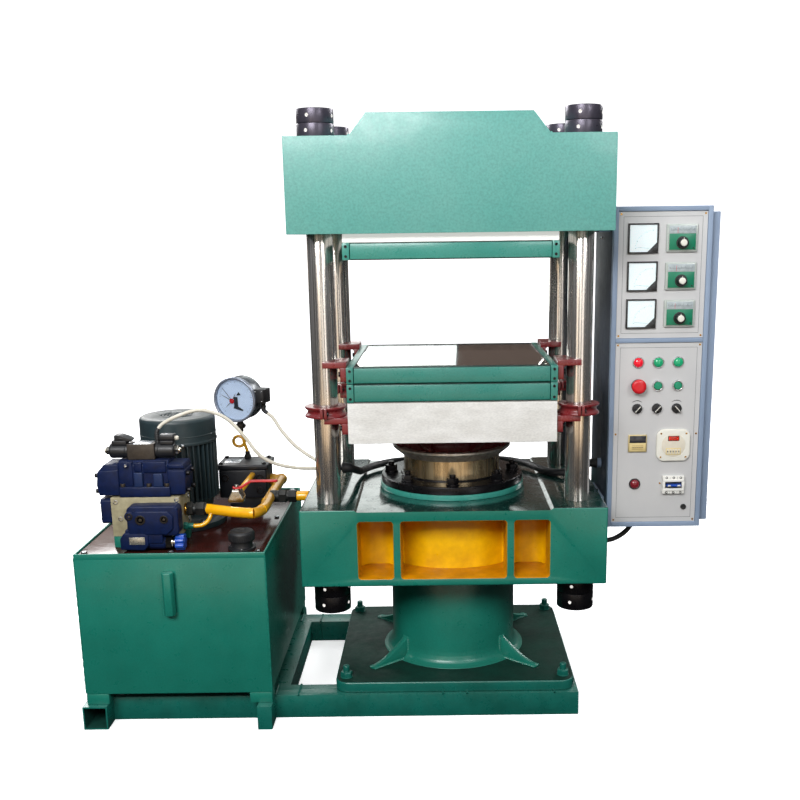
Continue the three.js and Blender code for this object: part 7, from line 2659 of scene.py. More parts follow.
@dataclass(frozen=True)
class Door:
    """Door with its two silver panels, the instruments on them and the printed guide lines."""

    left: float = 0.431
    right: float = 0.6915
    front: float = -0.0999
    panel: float = -0.0959
    back: float = -0.0783
    foot: float = 0.47
    top: float = 1.342
    columns: tuple[float, float, float] = (0.507, 0.561, 0.615)
    rows: tuple[float, float, float] = (1.2595, 1.161, 1.0625)
    lamp_z: float = 0.9315
    button_z: float = 0.8685
    selector_z: float = 0.8055
    alarm_z: float = 0.593

    def build(self) -> None:
        """Makes the door leaf, its panels and its instruments."""
        self.leaf()
        self.panels()
        for name, z in zip(("upper", "middle", "lower"), self.rows):
            self.meter(f"ammeter_{name}", z)
            self.controller(f"temperature_controller_{name}", z)
        self.lamps()
        self.rings()
        self.counter()
        self.timer()
        self.breaker()
        self.lock()

    def leaf(self) -> None:
        """Makes the folded leaf with its bars round the panels."""
        form = Form()
        y0, y1 = self.front, self.back
        bars = (
            (self.left, self.left + 0.013, self.foot, self.top),
            (self.right - 0.013, self.right, self.foot, self.top),
            (self.left + 0.0128, self.right - 0.0128, self.foot, self.foot + 0.013),
            (self.left + 0.0128, self.right - 0.0128, self.top - 0.013, self.top),
            (self.left + 0.0128, self.right - 0.0128, 0.985, 0.997),
        )
        for x0, x1, z0, z1 in bars:
            form.block((x0, y0, z0), (x1, y1, z1), POWDER, 0.0014, steps=3)
        form.block(
            (self.left + 0.006, self.panel + 0.0018, self.foot + 0.006),
            (self.right - 0.006, y1 - 0.0002, self.top - 0.006), POWDER, 0.0004,
        )
        form.piece("door_leaf", Body.DOOR, ["cabinet_door"])

    def panels(self) -> None:
        """Makes the two overlays with their dark printed frame, corner screws and marks."""
        form = Form()
        for z0, z1 in ((0.4835, 0.9845), (0.9975, 1.3285)):
            x0, x1 = self.left + 0.0135, self.right - 0.0135
            form.block((x0, self.panel, z0), (x1, self.panel + 0.002, z1), PANEL, 0.0003, steps=1)
            inset = 0.0125
            a0, a1, b0, b1 = x0 + inset, x1 - inset, z0 + inset, z1 - inset
            line = 0.0008
            y0, y1 = self.panel - 0.00015, self.panel + 0.0004
            form.block((a0, y0, b0), (a1, y1, b0 + line), PRINTED_LINE, 0.0)
            form.block((a0, y0, b1 - line), (a1, y1, b1), PRINTED_LINE, 0.0)
            form.block((a0, y0, b0 + line), (a0 + line, y1, b1 - line), PRINTED_LINE, 0.0)
            form.block((a1 - line, y0, b0 + line), (a1, y1, b1 - line), PRINTED_LINE, 0.0)
            heights = (z0 + 0.0062, z1 - 0.0062) if z1 - z0 < 0.4 else (
                z0 + 0.0062, (z0 + z1) / 2, z1 - 0.0062,
            )
            for x in (x0 + 0.0062, x1 - 0.0062):
                for z in heights:
                    form.screw((x, self.panel + 0.0002, z), 0.0027, 0.0013, BRASS, Axis.Y, -1)
        for x in (self.columns[0], self.columns[2]):
            self.arc(form, x, self.selector_z)
        form.piece("panel_overlays", Body.DOOR)

    def arc(self, form: Form, x: float, z: float) -> None:
        """Prints the arc over a selector.

        Args:
            form: the overlays' form.
            x: the selector's middle.
            z: its height.
        """
        outer, inner = [], []
        for k in range(15):
            a = math.radians(128 - 76 * k / 14)
            swell = 0.0004 + 0.0007 * math.sin(math.pi * k / 14)
            for line, radius in ((outer, 0.0215 + swell), (inner, 0.0215 - swell)):
                line.append((x + radius * math.cos(a), z + radius * math.sin(a)))
        form.prism([*outer, *reversed(inner)], Axis.Y, self.panel - 0.00015, self.panel + 0.0003, INK, 0.0)

    def meter(self, name: str, z: float) -> None:
        """Makes one moving coil meter with its cut corner.

        Args:
            name: the piece's name.
            z: its middle height.
        """
        x, w, h = 0.509, 0.04, 0.039
        back, face = self.panel + 0.0008, self.panel - 0.0078
        x0, x1, z0, z1 = x - w, x + w, z - h, z + h
        form = Form()
        base = [(x0, z0), (x1, z0), (x1, z1), (x0, z1)]
        form.prism(base, Axis.Y, self.panel - 0.004, back, BLACK_PLASTIC, 0.0008)
        rim = 0.0042
        for a0, a1, b0, b1 in (
            (x0, x1, z1 - rim, z1), (x0, x0 + rim, z0, z1 - rim + 0.0004),
            (x0 + rim - 0.0004, x1 - 0.026, z0, z0 + rim), (x1 - rim, x1, z0 + 0.026, z1 - rim + 0.0004),
        ):
            form.block((a0, face, b0), (a1, self.panel - 0.0038, b1), BLACK_PLASTIC, 0.0007)
        wedge = [
            (x1 - 0.0285, z0), (x1, z0), (x1, z0 + 0.0285), (x1 - 0.004, z0 + 0.028),
            (x1 - 0.028, z0 + 0.004),
        ]
        form.prism(wedge, Axis.Y, self.panel - 0.0056, self.panel - 0.0036, BLACK_PLASTIC, 0.0005)
        form.turned(
            [(0, 0), (0.0062, 0), (0.0058, -0.0014), (0, -0.0016)],
            (x1 - 0.0095, self.panel - 0.0054, z0 + 0.0095), BLACK_PLASTIC, Axis.Y, 32, 0.0003,
        )
        card = [
            (x0 + rim, z0 + rim), (x1 - 0.0285, z0 + rim), (x1 - rim, z0 + 0.0285), (x1 - rim, z1 - rim),
            (x0 + rim, z1 - rim),
        ]
        form.prism(card, Axis.Y, self.panel - 0.0046, self.panel - 0.0038, METER_CARD, 0.0)
        pivot = (x1 - 0.012, 0, z0 + 0.012)
        for i in range(21):
            a = math.radians(92 + 86 * i / 20)
            start, half = (0.0455, 0.00035) if i % 5 == 0 else (0.0472, 0.0002)
            low, high = (start, self.panel - 0.0048, -half), (0.0495, self.panel - 0.0045, half)
            form.block(low, high, FAINT_INK, 0.0, spun(pivot, -a, "Y"))
        needle = spun(pivot, -math.radians(174), "Y")
        form.block(
            (0.010, self.panel - 0.0056, -0.00022), (0.046, self.panel - 0.0053, 0.00022), FAINT_INK, 0.0,
            needle,
        )
        form.piece(name, Body.DOOR)
        pane = Form().prism(card, Axis.Y, face + 0.0006, face + 0.0014, GLASS, 0.0)
        pane.piece(f"{name}_window", Body.DOOR)

    def controller(self, name: str, z: float) -> None:
        """Makes one temperature controller: a clear white surround, a scale window and a green face.

        Args:
            name: the piece's name.
            z: its middle height.
        """
        x, w, h = 0.611, 0.041, 0.036
        y = self.panel
        x0, x1, z0, z1 = x - w, x + w, z - h, z + h
        form = Form().prism(
            rounded_box(x0, x1, z0, z1, 0.003, 4), Axis.Y, y - 0.0075, y + 0.0008, CLEAR_SURROUND, 0.0018,
            steps=3,
        )
        form.prism(
            rounded_box(x0 + 0.005, x1 - 0.005, z0 + 0.004, z1 - 0.003, 0.002, 3), Axis.Y, y - 0.0098,
            y - 0.0072, CLEAR_SURROUND, 0.0008, steps=2,
        )
        form.block(
            (x0 + 0.006, y - 0.0108, z0 + 0.0055), (x1 - 0.006, y - 0.0096, z1 - 0.0245), CONTROL_GREEN,
            0.0006,
        )
        form.block(
            (x0 + 0.006, y - 0.0102, z1 - 0.0242), (x1 - 0.006, y - 0.0096, z1 - 0.0045), SCALE_CARD, 0.0002,
        )
        for k in range(25):
            a = x0 + 0.011 + 0.060 * k / 24
            tall = 0.0062 if k % 4 == 0 else 0.0036
            form.block(
                (a - 0.00025, y - 0.01035, z1 - 0.0172), (a + 0.00025, y - 0.0101, z1 - 0.0172 + tall), INK,
                0.0,
            )
        needle = x0 + 0.028
        form.block(
            (needle - 0.0004, y - 0.01062, z1 - 0.023), (needle + 0.0004, y - 0.01045, z1 - 0.0085),
            RED_PLASTIC, 0.0,
        )
        form.turned(disc(0.0165, -0.0006), (x, y - 0.0107, z - 0.012), BLACK_PLASTIC, Axis.Y, 48, 0.0002)
        form.turned(
            [(0, 0), (0.0022, 0), (0.0018, -0.0012), (0, -0.0014)], (x1 - 0.012, y - 0.0107, z0 + 0.0105),
            BLACK_PLASTIC, Axis.Y, 20, 0.0002,
        )
        form.piece(name, Body.DOOR)
        knob = Form()
        rim = [
            (0, -0.0003), (0.0135, -0.0003), (0.0138, -0.004), (0.0125, -0.0145), (0.0112, -0.0158),
            (0.0088, -0.0158), (0, -0.0156),
        ]
        at = (x, y - 0.011, z - 0.012)
        knob.turned(rim, at, BLACK_PLASTIC, Axis.Y, 64, 0.0006)
        for k in range(30):
            spin = spun(at, math.radians(12 * k), "Y")
            knob.block((0.0125, -0.0135, -0.0006), (0.01385, -0.0035, 0.0006), BLACK_PLASTIC, 0.0003, spin, 1)
        knob.turned(
            [(0, -0.015), (0.0088, -0.015), (0.0088, -0.0185), (0.0078, -0.0198), (0, -0.0199)], at, IVORY,
            Axis.Y, 48, 0.0006,
        )
        knob.block(
            (x - 0.0005, y - 0.0276, z - 0.012 + 0.009), (x + 0.0005, y - 0.0264, z - 0.012 + 0.0132), IVORY,
            0.0,
        )
        row = name.rsplit("_", 1)[1]
        knob.piece(f"set_point_knob_{row}", f"temperature_knob_{row}", [f"temperature_knob_{row}"])

    def lamps(self) -> None:
        """Makes the three lamps and the alarm lamp."""
        y = self.panel
        left, middle, right = self.columns
        for name, x, z, lens in (
            ("lamp_red", left, self.lamp_z, RED_LENS), ("lamp_green_left", middle, self.lamp_z, GREEN_LENS),
            ("lamp_green_right", right, self.lamp_z, GREEN_LENS),
            ("alarm_lamp", left, self.alarm_z, ALARM_LENS),
        ):
            form = Form()
            bezel = [
                (0, 0.0005), (0.0158, 0.0005), (0.0158, -0.0025), (0.0148, -0.0039), (0.0134, -0.0039),
                (0.0128, -0.002), (0, -0.002),
            ]
            form.turned(bezel, (x, y, z), ZINC if name != "alarm_lamp" else BLACK_PLASTIC, Axis.Y, 56, 0.0004)
            wide, base, rise = 0.0126, -0.0045, 0.0073
            quarter = [math.pi / 2 * k / 9 for k in range(10)]
            dome = [(wide, -0.0015)] + [(wide * math.cos(a), base - rise * math.sin(a)) for a in quarter]
            form.turned(dome, (x, y, z), lens, Axis.Y, 56, 0.0)
            for r in (0.0035, 0.0065, 0.0095):
                top = base - rise * math.sqrt(1 - (r / wide) ** 2)
                form.turned(
                    [(r - 0.0006, top + 0.0004), (r, top - 0.0004), (r + 0.0006, top + 0.0004)], (x, y, z),
                    lens, Axis.Y, 48, 0.0,
                )
            form.piece(name, Body.DOOR)

    def rings(self) -> None:
        """Makes the chrome collars of the push buttons, the buttons, the stop and the selectors."""
        y = self.panel
        left, middle, right = self.columns
        for name, x in (("button_up", middle), ("button_down", right)):
            collar = [
                (0.0112, 0.0005), (0.0145, 0.0005), (0.0145, -0.0052), (0.0136, -0.0079), (0.0122, -0.0079),
                (0.0113, -0.0066), (0.0112, 0.0005),
            ]
            form = Form().turned(collar, (x, y, self.button_z), BRIGHT_RING, Axis.Y, 64, 0.0004)
            form.piece(f"{name}_collar", Body.DOOR)
            cap = [
                (0, 0.011), (0.0048, 0.011), (0.0048, -0.0048), (0.0104, -0.005), (0.0104, -0.0088),
                (0.0096, -0.0098), (0, -0.0094),
            ]
            cap_form = Form().turned(cap, (x, y, self.button_z), GREEN_PLASTIC, Axis.Y, 64, 0.0005)
            cap_form.piece(f"{name}_cap", name, [name])
        at = (left, y, self.button_z)
        stem = [
            (0, 0.011), (0.0048, 0.011), (0.0048, -0.0045), (0.0118, -0.0046), (0.0118, -0.015), (0, -0.015),
        ]
        mushroom = [
            (0, -0.0145), (0.0125, -0.0145), (0.0185, -0.0182), (0.0199, -0.0205), (0.0196, -0.0232),
            (0.0175, -0.0262), (0.012, -0.0278), (0, -0.0279),
        ]
        stop = Form().turned(stem, at, BLACK_PLASTIC, Axis.Y, 56, 0.0005)
        stop.turned(mushroom, at, RED_PLASTIC, Axis.Y, 72, 0.0008)
        stop.piece("stop_mushroom", "emergency_stop", ["emergency_stop"])
        rim = [
            (0.013, 0.0005), (0.0175, 0.0005), (0.0172, -0.0016), (0.0148, -0.0026), (0.013, -0.0026),
            (0.013, 0.0005),
        ]
        Form().turned(rim, at, BLACK_PLASTIC, Axis.Y, 56, 0.0003).piece("stop_collar", Body.DOOR)
        for name, x, lean in (("left", left, 42), ("middle", middle, 42), ("right", right, -42)):
            self.selector(name, x, lean)

    def selector(self, name: str, x: float, angle: float) -> None:
        """Makes one selector with a white bar on its grip.

        Args:
            name: which of the three.
            x: its middle.
            angle: how far its bar leans to the right, in degrees.
        """
        at = (x, self.panel, self.selector_z)
        base = [
            (0, 0.011), (0.0048, 0.011), (0.0048, -0.0002), (0.0134, -0.0004), (0.0134, -0.0058),
            (0.0122, -0.0078), (0, -0.008),
        ]
        form = Form().turned(base, at, BLACK_PLASTIC, Axis.Y, 64, 0.0006)
        turn = spun(at, math.radians(angle), "Y")
        grip = [
            (-0.0075, -0.0128), (-0.0155, -0.0122), (-0.0176, -0.0098), (-0.0176, 0.0098), (-0.0155, 0.0122),
            (-0.0075, 0.0128),
        ]
        form.prism(grip, Axis.X, -0.0033, 0.0033, BLACK_PLASTIC, 0.001, turn, 2)
        form.block((-0.0011, -0.01795, -0.0108), (0.0011, -0.0173, 0.0108), IVORY, 0.0003, turn, 1)
        form.block((-0.0018, -0.0084, 0.0088), (0.0018, -0.0078, 0.0126), IVORY, 0.0002, turn, 1)
        form.piece(f"selector_grip_{name}", f"selector_{name}", [f"selector_{name}"])

    def counter(self) -> None:
        """Makes the stroke counter: a dark window over a cream face with thumbwheels."""
        x, z, y = 0.511, 0.7085, self.panel
        form = Form().block(
            (x - 0.0255, y - 0.0058, z - 0.024), (x + 0.0255, y + 0.0008, z + 0.024), BRASS_FRAME, 0.0012,
            steps=2,
        )
        form.block(
            (x - 0.0225, y - 0.0069, z + 0.002), (x + 0.0225, y - 0.0056, z + 0.0215), DARK_WINDOW, 0.0005,
        )
        form.block((x - 0.0225, y - 0.0066, z - 0.0215), (x + 0.0225, y - 0.0056, z + 0.0012), SAND, 0.0005)
        form.block(
            (x - 0.0155, y - 0.0069, z - 0.0168), (x + 0.0155, y - 0.0064, z - 0.005), SAND_DARK, 0.0003,
        )
        for k in range(5):
            a = x - 0.0124 + k * 0.0062
            form.block(
                (a - 0.0023, y - 0.007, z - 0.0152), (a + 0.0023, y - 0.0067, z - 0.0066), SAND, 0.0006,
            )
            form.block((a - 0.0012, y - 0.0071, z - 0.0125), (a + 0.0012, y - 0.0069, z - 0.0093), INK, 0.0)
        form.piece("stroke_counter", Body.DOOR)

    def timer(self) -> None:
        """Makes the cure timer with its red display and its thumbwheels."""
        x, z, y = 0.609, 0.703, self.panel
        outline = bowed(x - 0.047, x + 0.047, z - 0.0455, z + 0.0455, 0.019, 0.0022)
        form = Form().prism(outline, Axis.Y, y - 0.0088, y + 0.0008, IVORY, 0.003, steps=4)
        form.turned(
            [(0.0335, -0.0086), (0.0342, -0.0094), (0.035, -0.0086)], (x, y, z), IVORY, Axis.Y, 72, 0.0,
        )
        form.turned(disc(0.0325, -0.0091, -0.008), (x, y, z), TIMER_CARD, Axis.Y, 72, 0.0002)
        form.block(
            (x - 0.0155, y - 0.0098, z + 0.0125), (x + 0.0155, y - 0.0088, z + 0.0265), DISPLAY_RED, 0.0005,
        )
        for k in range(4):
            a = x - 0.0102 + k * 0.0068
            level = [
                (0, dz, 0.0016, 0.0003) for dz in ((0.0045, 0, -0.0045) if k in (0, 3) else (0.0045, -0.0045))
            ]
            upright = [(dx, dz, 0.0003, 0.0018) for dz in (0.0022, -0.0022) for dx in (-0.0019, 0.0019)]
            for dx, dz, w, h in level + upright:
                low = (a + dx - w, y - 0.00995, z + 0.0195 + dz - h)
                form.block(low, (a + dx + w, y - 0.0097, z + 0.0195 + dz + h), SEGMENT_RED, 0.0)
        form.block((x - 0.0205, y - 0.0097, z - 0.0265), (x + 0.0205, y - 0.0088, z - 0.0075), SAND, 0.0006)
        for k in range(5):
            a = x - 0.0152 + k * 0.0076
            form.block(
                (a - 0.0029, y - 0.00995, z - 0.0242), (a + 0.0029, y - 0.0095, z - 0.0098), TIMER_CARD,
                0.0006,
            )
            form.block((a - 0.0013, y - 0.01002, z - 0.0192), (a + 0.0013, y - 0.0099, z - 0.0148), INK, 0.0)
        for sx in (-1, 1):
            for sz in (-1, 1):
                form.screw((x + sx * 0.0345, y - 0.0086, z + sz * 0.033), 0.0026, 0.0009, BRASS, Axis.Y, -1)
        form.piece("cure_timer", Body.DOOR)

    def breaker(self) -> None:
        """Makes the miniature breaker in its cut-out and its blue handle."""
        x, z, y = 0.613, 0.591, self.panel
        form = Form()
        x0, x1, z0, z1 = x - 0.03, x + 0.03, z - 0.025, z + 0.025
        for low, high in ((z + 0.0095, z1), (z0, z - 0.0095)):
            form.block((x0, y - 0.0115, low), (x1, y + 0.0008, high), BREAKER_WHITE, 0.0014, steps=2)
        for a0, a1 in ((x0, x - 0.0232), (x + 0.0232, x1)):
            form.block((a0, y - 0.0135, z - 0.0097), (a1, y + 0.0008, z + 0.0097), BREAKER_WHITE, 0.001)
        for low, high in ((z + 0.0093, z + 0.0165), (z - 0.0165, z - 0.0093)):
            form.block((x0 + 0.002, y - 0.0138, low), (x1 - 0.002, y - 0.011, high), BREAKER_WHITE, 0.0012)
        form.block(
            (x - 0.0232, y - 0.0042, z - 0.0094), (x + 0.0232, y - 0.0002, z + 0.0094), BLACK_PLASTIC, 0.0004,
        )
        for k in (-1, 0, 1):
            if k:
                seam = x + k * 0.02 - k * 0.01
                form.block(
                    (seam - 0.0002, y - 0.0119, z0 + 0.001), (seam + 0.0002, y - 0.0113, z1 - 0.001),
                    PRINTED_LINE, 0.0,
                )
            for side in (-1, 1):
                form.turned(
                    [(0, 0.0005), (0.0034, 0.0005), (0.0034, -0.0003), (0, 0.0009)],
                    (x + k * 0.0193, y - 0.0118, z + side * 0.0208), BLACK_PLASTIC, Axis.Y, 20, 0.0,
                )
        form.screw((x0 - 0.006, y, z + 0.003), 0.0026, 0.0014, BRASS, Axis.Y, -1)
        form.piece("main_breaker", Body.DOOR)
        pivot = -0.1047
        handle = Form().block(
            (x - 0.0198, y - 0.0195, z - 0.0024), (x + 0.0198, pivot + 0.001, z + 0.0024), BLUE_PLASTIC,
            0.0008, steps=2,
        )
        handle.turned(disc(0.0029, 0.0198, -0.0198), (x, pivot, z), BLUE_PLASTIC, Axis.X, 32, 0.0004)
        for k in (-1, 0, 1):
            handle.block(
                (x + k * 0.0132 - 0.004, y - 0.0199, z - 0.0019),
                (x + k * 0.0132 + 0.004, y - 0.019, z + 0.0019), IVORY if k else BLUE_PLASTIC, 0.0004,
            )
        handle.piece("breaker_handle", "breaker_toggle", ["breaker_toggle"])

    def lock(self) -> None:
        """Makes the black key lock."""
        x, z, y = 0.645, 0.526, self.panel
        barrel = [
            (0, 0.0005), (0.008, 0.0005), (0.008, -0.0026), (0.0068, -0.0039), (0.0042, -0.0039),
            (0.004, -0.0022), (0, -0.0022),
        ]
        form = Form().turned(barrel, (x, y, z), BLACK_PLASTIC, Axis.Y, 48, 0.0004)
        form.block((x - 0.0006, y - 0.0027, z - 0.0028), (x + 0.0006, y - 0.0021, z + 0.0028), INK, 0.0)
        form.piece("door_lock", Body.DOOR)


def bowed(
    x0: float, x1: float, z0: float, z1: float, radius: float, bow: float, steps: int = 8,
) -> list[Point]:
    """Outlines a rounded rectangle whose corners draw in, with points along its sides.

    Args:
        x0: its low side.
        x1: its high side.
        z0: its foot.
        z1: its head.
        radius: the corner radius.
        bow: how far the corners draw in.
        steps: points on each corner.

    Returns:
        The points of the outline.
    """
    middle = Vector(((x0 + x1) / 2, (z0 + z1) / 2))
    half = Vector(((x1 - x0) / 2, (z1 - z0) / 2))
    points = []
    for x, z in rounded_box(x0, x1, z0, z1, radius, steps):
        u, v = (x - middle.x) / half.x, (z - middle.y) / half.y
        pull = bow * min(abs(u), abs(v)) ** 2
        points.append((x - pull * (1 if u > 0 else -1), z - pull * (1 if v > 0 else -1)))
    dense = []
    for (ax, az), (bx, bz) in zip(points, points[1:] + points[:1]):
        dense.append((ax, az))
        if math.hypot(bx - ax, bz - az) > 0.02:
            dense += [(ax + (bx - ax) * k / 10, az + (bz - az) * k / 10) for k in range(1, 10)]
    return dense


# ---- cords


@dataclass(frozen=True)
class CordRun:
    """One loose cord: its route in metres, its thickness and the parts at its ends."""

    name: str
    node: str
    finish: Finish
    diameter: float
    route: tuple[tuple[float, float, float], ...]
    ribbed: bool = False
    stiffness: str = "medium"
    relief_start: float = 0.028
    relief_end: float = 0.024

    def build(self) -> None:
        """Makes the cord and its tapered ends."""
        step = 0.0011 if self.ribbed else 0.004
        line = smooth_route(self.route, step)
        outer = self.diameter / 2

        def girth(run: float) -> float:
            """Gives the cord's radius along its run.

            Args:
                run: the distance from its start.

            Returns:
                The radius there.
            """
            if not self.ribbed:
                return outer
            return outer - 0.00035 + 0.00035 * math.cos(2 * math.pi * run / 0.0033)

        form = Form().tube(line, girth, self.finish, 20, step, False)
        made = form.piece(self.name, Body.FRAME, [self.node], 60)
        for end, points, length in (("start", line, self.relief_start), ("end", line[::-1], self.relief_end)):
            if length > 0:
                self.relief(end, points, length)
        path = smooth_route(self.route, 0.004)

    def relief(self, end: str, points: list[Vector], length: float) -> bpy.types.Object:
        """Makes a tapered grommet round one end of the cord.

        Args:
            end: which end.
            points: the cord's line from that end.
            length: the grommet's length.

        Returns:
            The grommet.
        """
        run, part = 0.0, [points[0]]
        for a, b in zip(points, points[1:]):
            run += (b - a).length
            part.append(b)
            if run >= length:
                break
        outer = self.diameter / 2

        def taper(at: float) -> float:
            """Narrows the grommet towards the cord, with grooves.

            Args:
                at: the distance from the cord's end.

            Returns:
                The grommet's radius there.
            """
            share = min(1.0, at / length)
            groove = 0.0004 if int(at / 0.003) % 2 else 0.0
            return outer * (1.55 - 0.5 * share) - groove

        return Form().tube(part, taper, SHEATH, 20, 0.0008, False).piece(
            f"{self.name}_grommet_{end}", Body.FRAME,
        )


CORDS = (
    CordRun(
        "valve_conduit_ribbed", "valve_conduit", CREAM, 0.010,
        (
            (-0.773, -0.226, 0.7642), (-0.773, -0.226, 0.7822), (-0.762, -0.223, 0.799),
            (-0.741, -0.221, 0.812), (-0.7165, -0.220, 0.8226), (-0.678, -0.216, 0.8347),
            (-0.652, -0.212, 0.8355), (-0.627, -0.208, 0.8287), (-0.605, -0.204, 0.8183),
            (-0.584, -0.200, 0.8013), (-0.548, -0.195, 0.757), (-0.517, -0.188, 0.711),
            (-0.481, -0.176, 0.684), (-0.427, -0.150, 0.664), (-0.375, -0.132, 0.657),
            (-0.316, -0.1235, 0.655), (-0.3003, -0.1235, 0.655),
        ), True,
    ),
    CordRun(
        "gauge_conduit_ribbed", "gauge_conduit", CREAM, 0.010,
        (
            (-0.54902, 0.1005, 0.7936), (-0.54902, 0.1005, 0.7816), (-0.524, 0.090, 0.762),
            (-0.494, 0.050, 0.732), (-0.468, 0.010, 0.714), (-0.442, -0.030, 0.700), (-0.403, -0.070, 0.682),
            (-0.357, -0.100, 0.664), (-0.316, -0.1125, 0.655), (-0.3003, -0.1125, 0.655),
        ), True,
    ),
    CordRun(
        "platen_harness_sheathed", "platen_harness", SHEATH, 0.021,
        (
            (-0.300, -0.118, 0.655), (-0.286, -0.118, 0.655), (-0.270, -0.080, 0.640),
            (-0.264, -0.020, 0.622), (-0.262, 0.060, 0.604), (-0.240, 0.150, 0.595), (-0.180, 0.215, 0.595),
            (-0.090, 0.240, 0.595), (0.0, 0.246, 0.595), (0.090, 0.240, 0.595), (0.170, 0.215, 0.596),
            (0.228, 0.160, 0.596), (0.262, 0.090, 0.596), (0.300, 0.040, 0.596), (0.350, 0.020, 0.606),
            (0.386, 0.020, 0.622), (0.404, 0.020, 0.628), (0.4187, 0.020, 0.628),
        ), False, "stiff", 0.03, 0.02,
    ),
    CordRun(
        "mains_cable_sheathed", "mains_cable", SHEATH, 0.014,
        (
            (0.522, 0.0, 0.4707), (0.522, 0.0, 0.456), (0.514, 0.0, 0.438), (0.494, 0.0, 0.418),
            (0.468, 0.0, 0.404), (0.440, 0.0, 0.3985), (0.426, 0.0, 0.398), (0.4113, 0.0, 0.398),
        ), False, "stiff", 0.022, 0.02,
    ),
)


# ---- room and camera


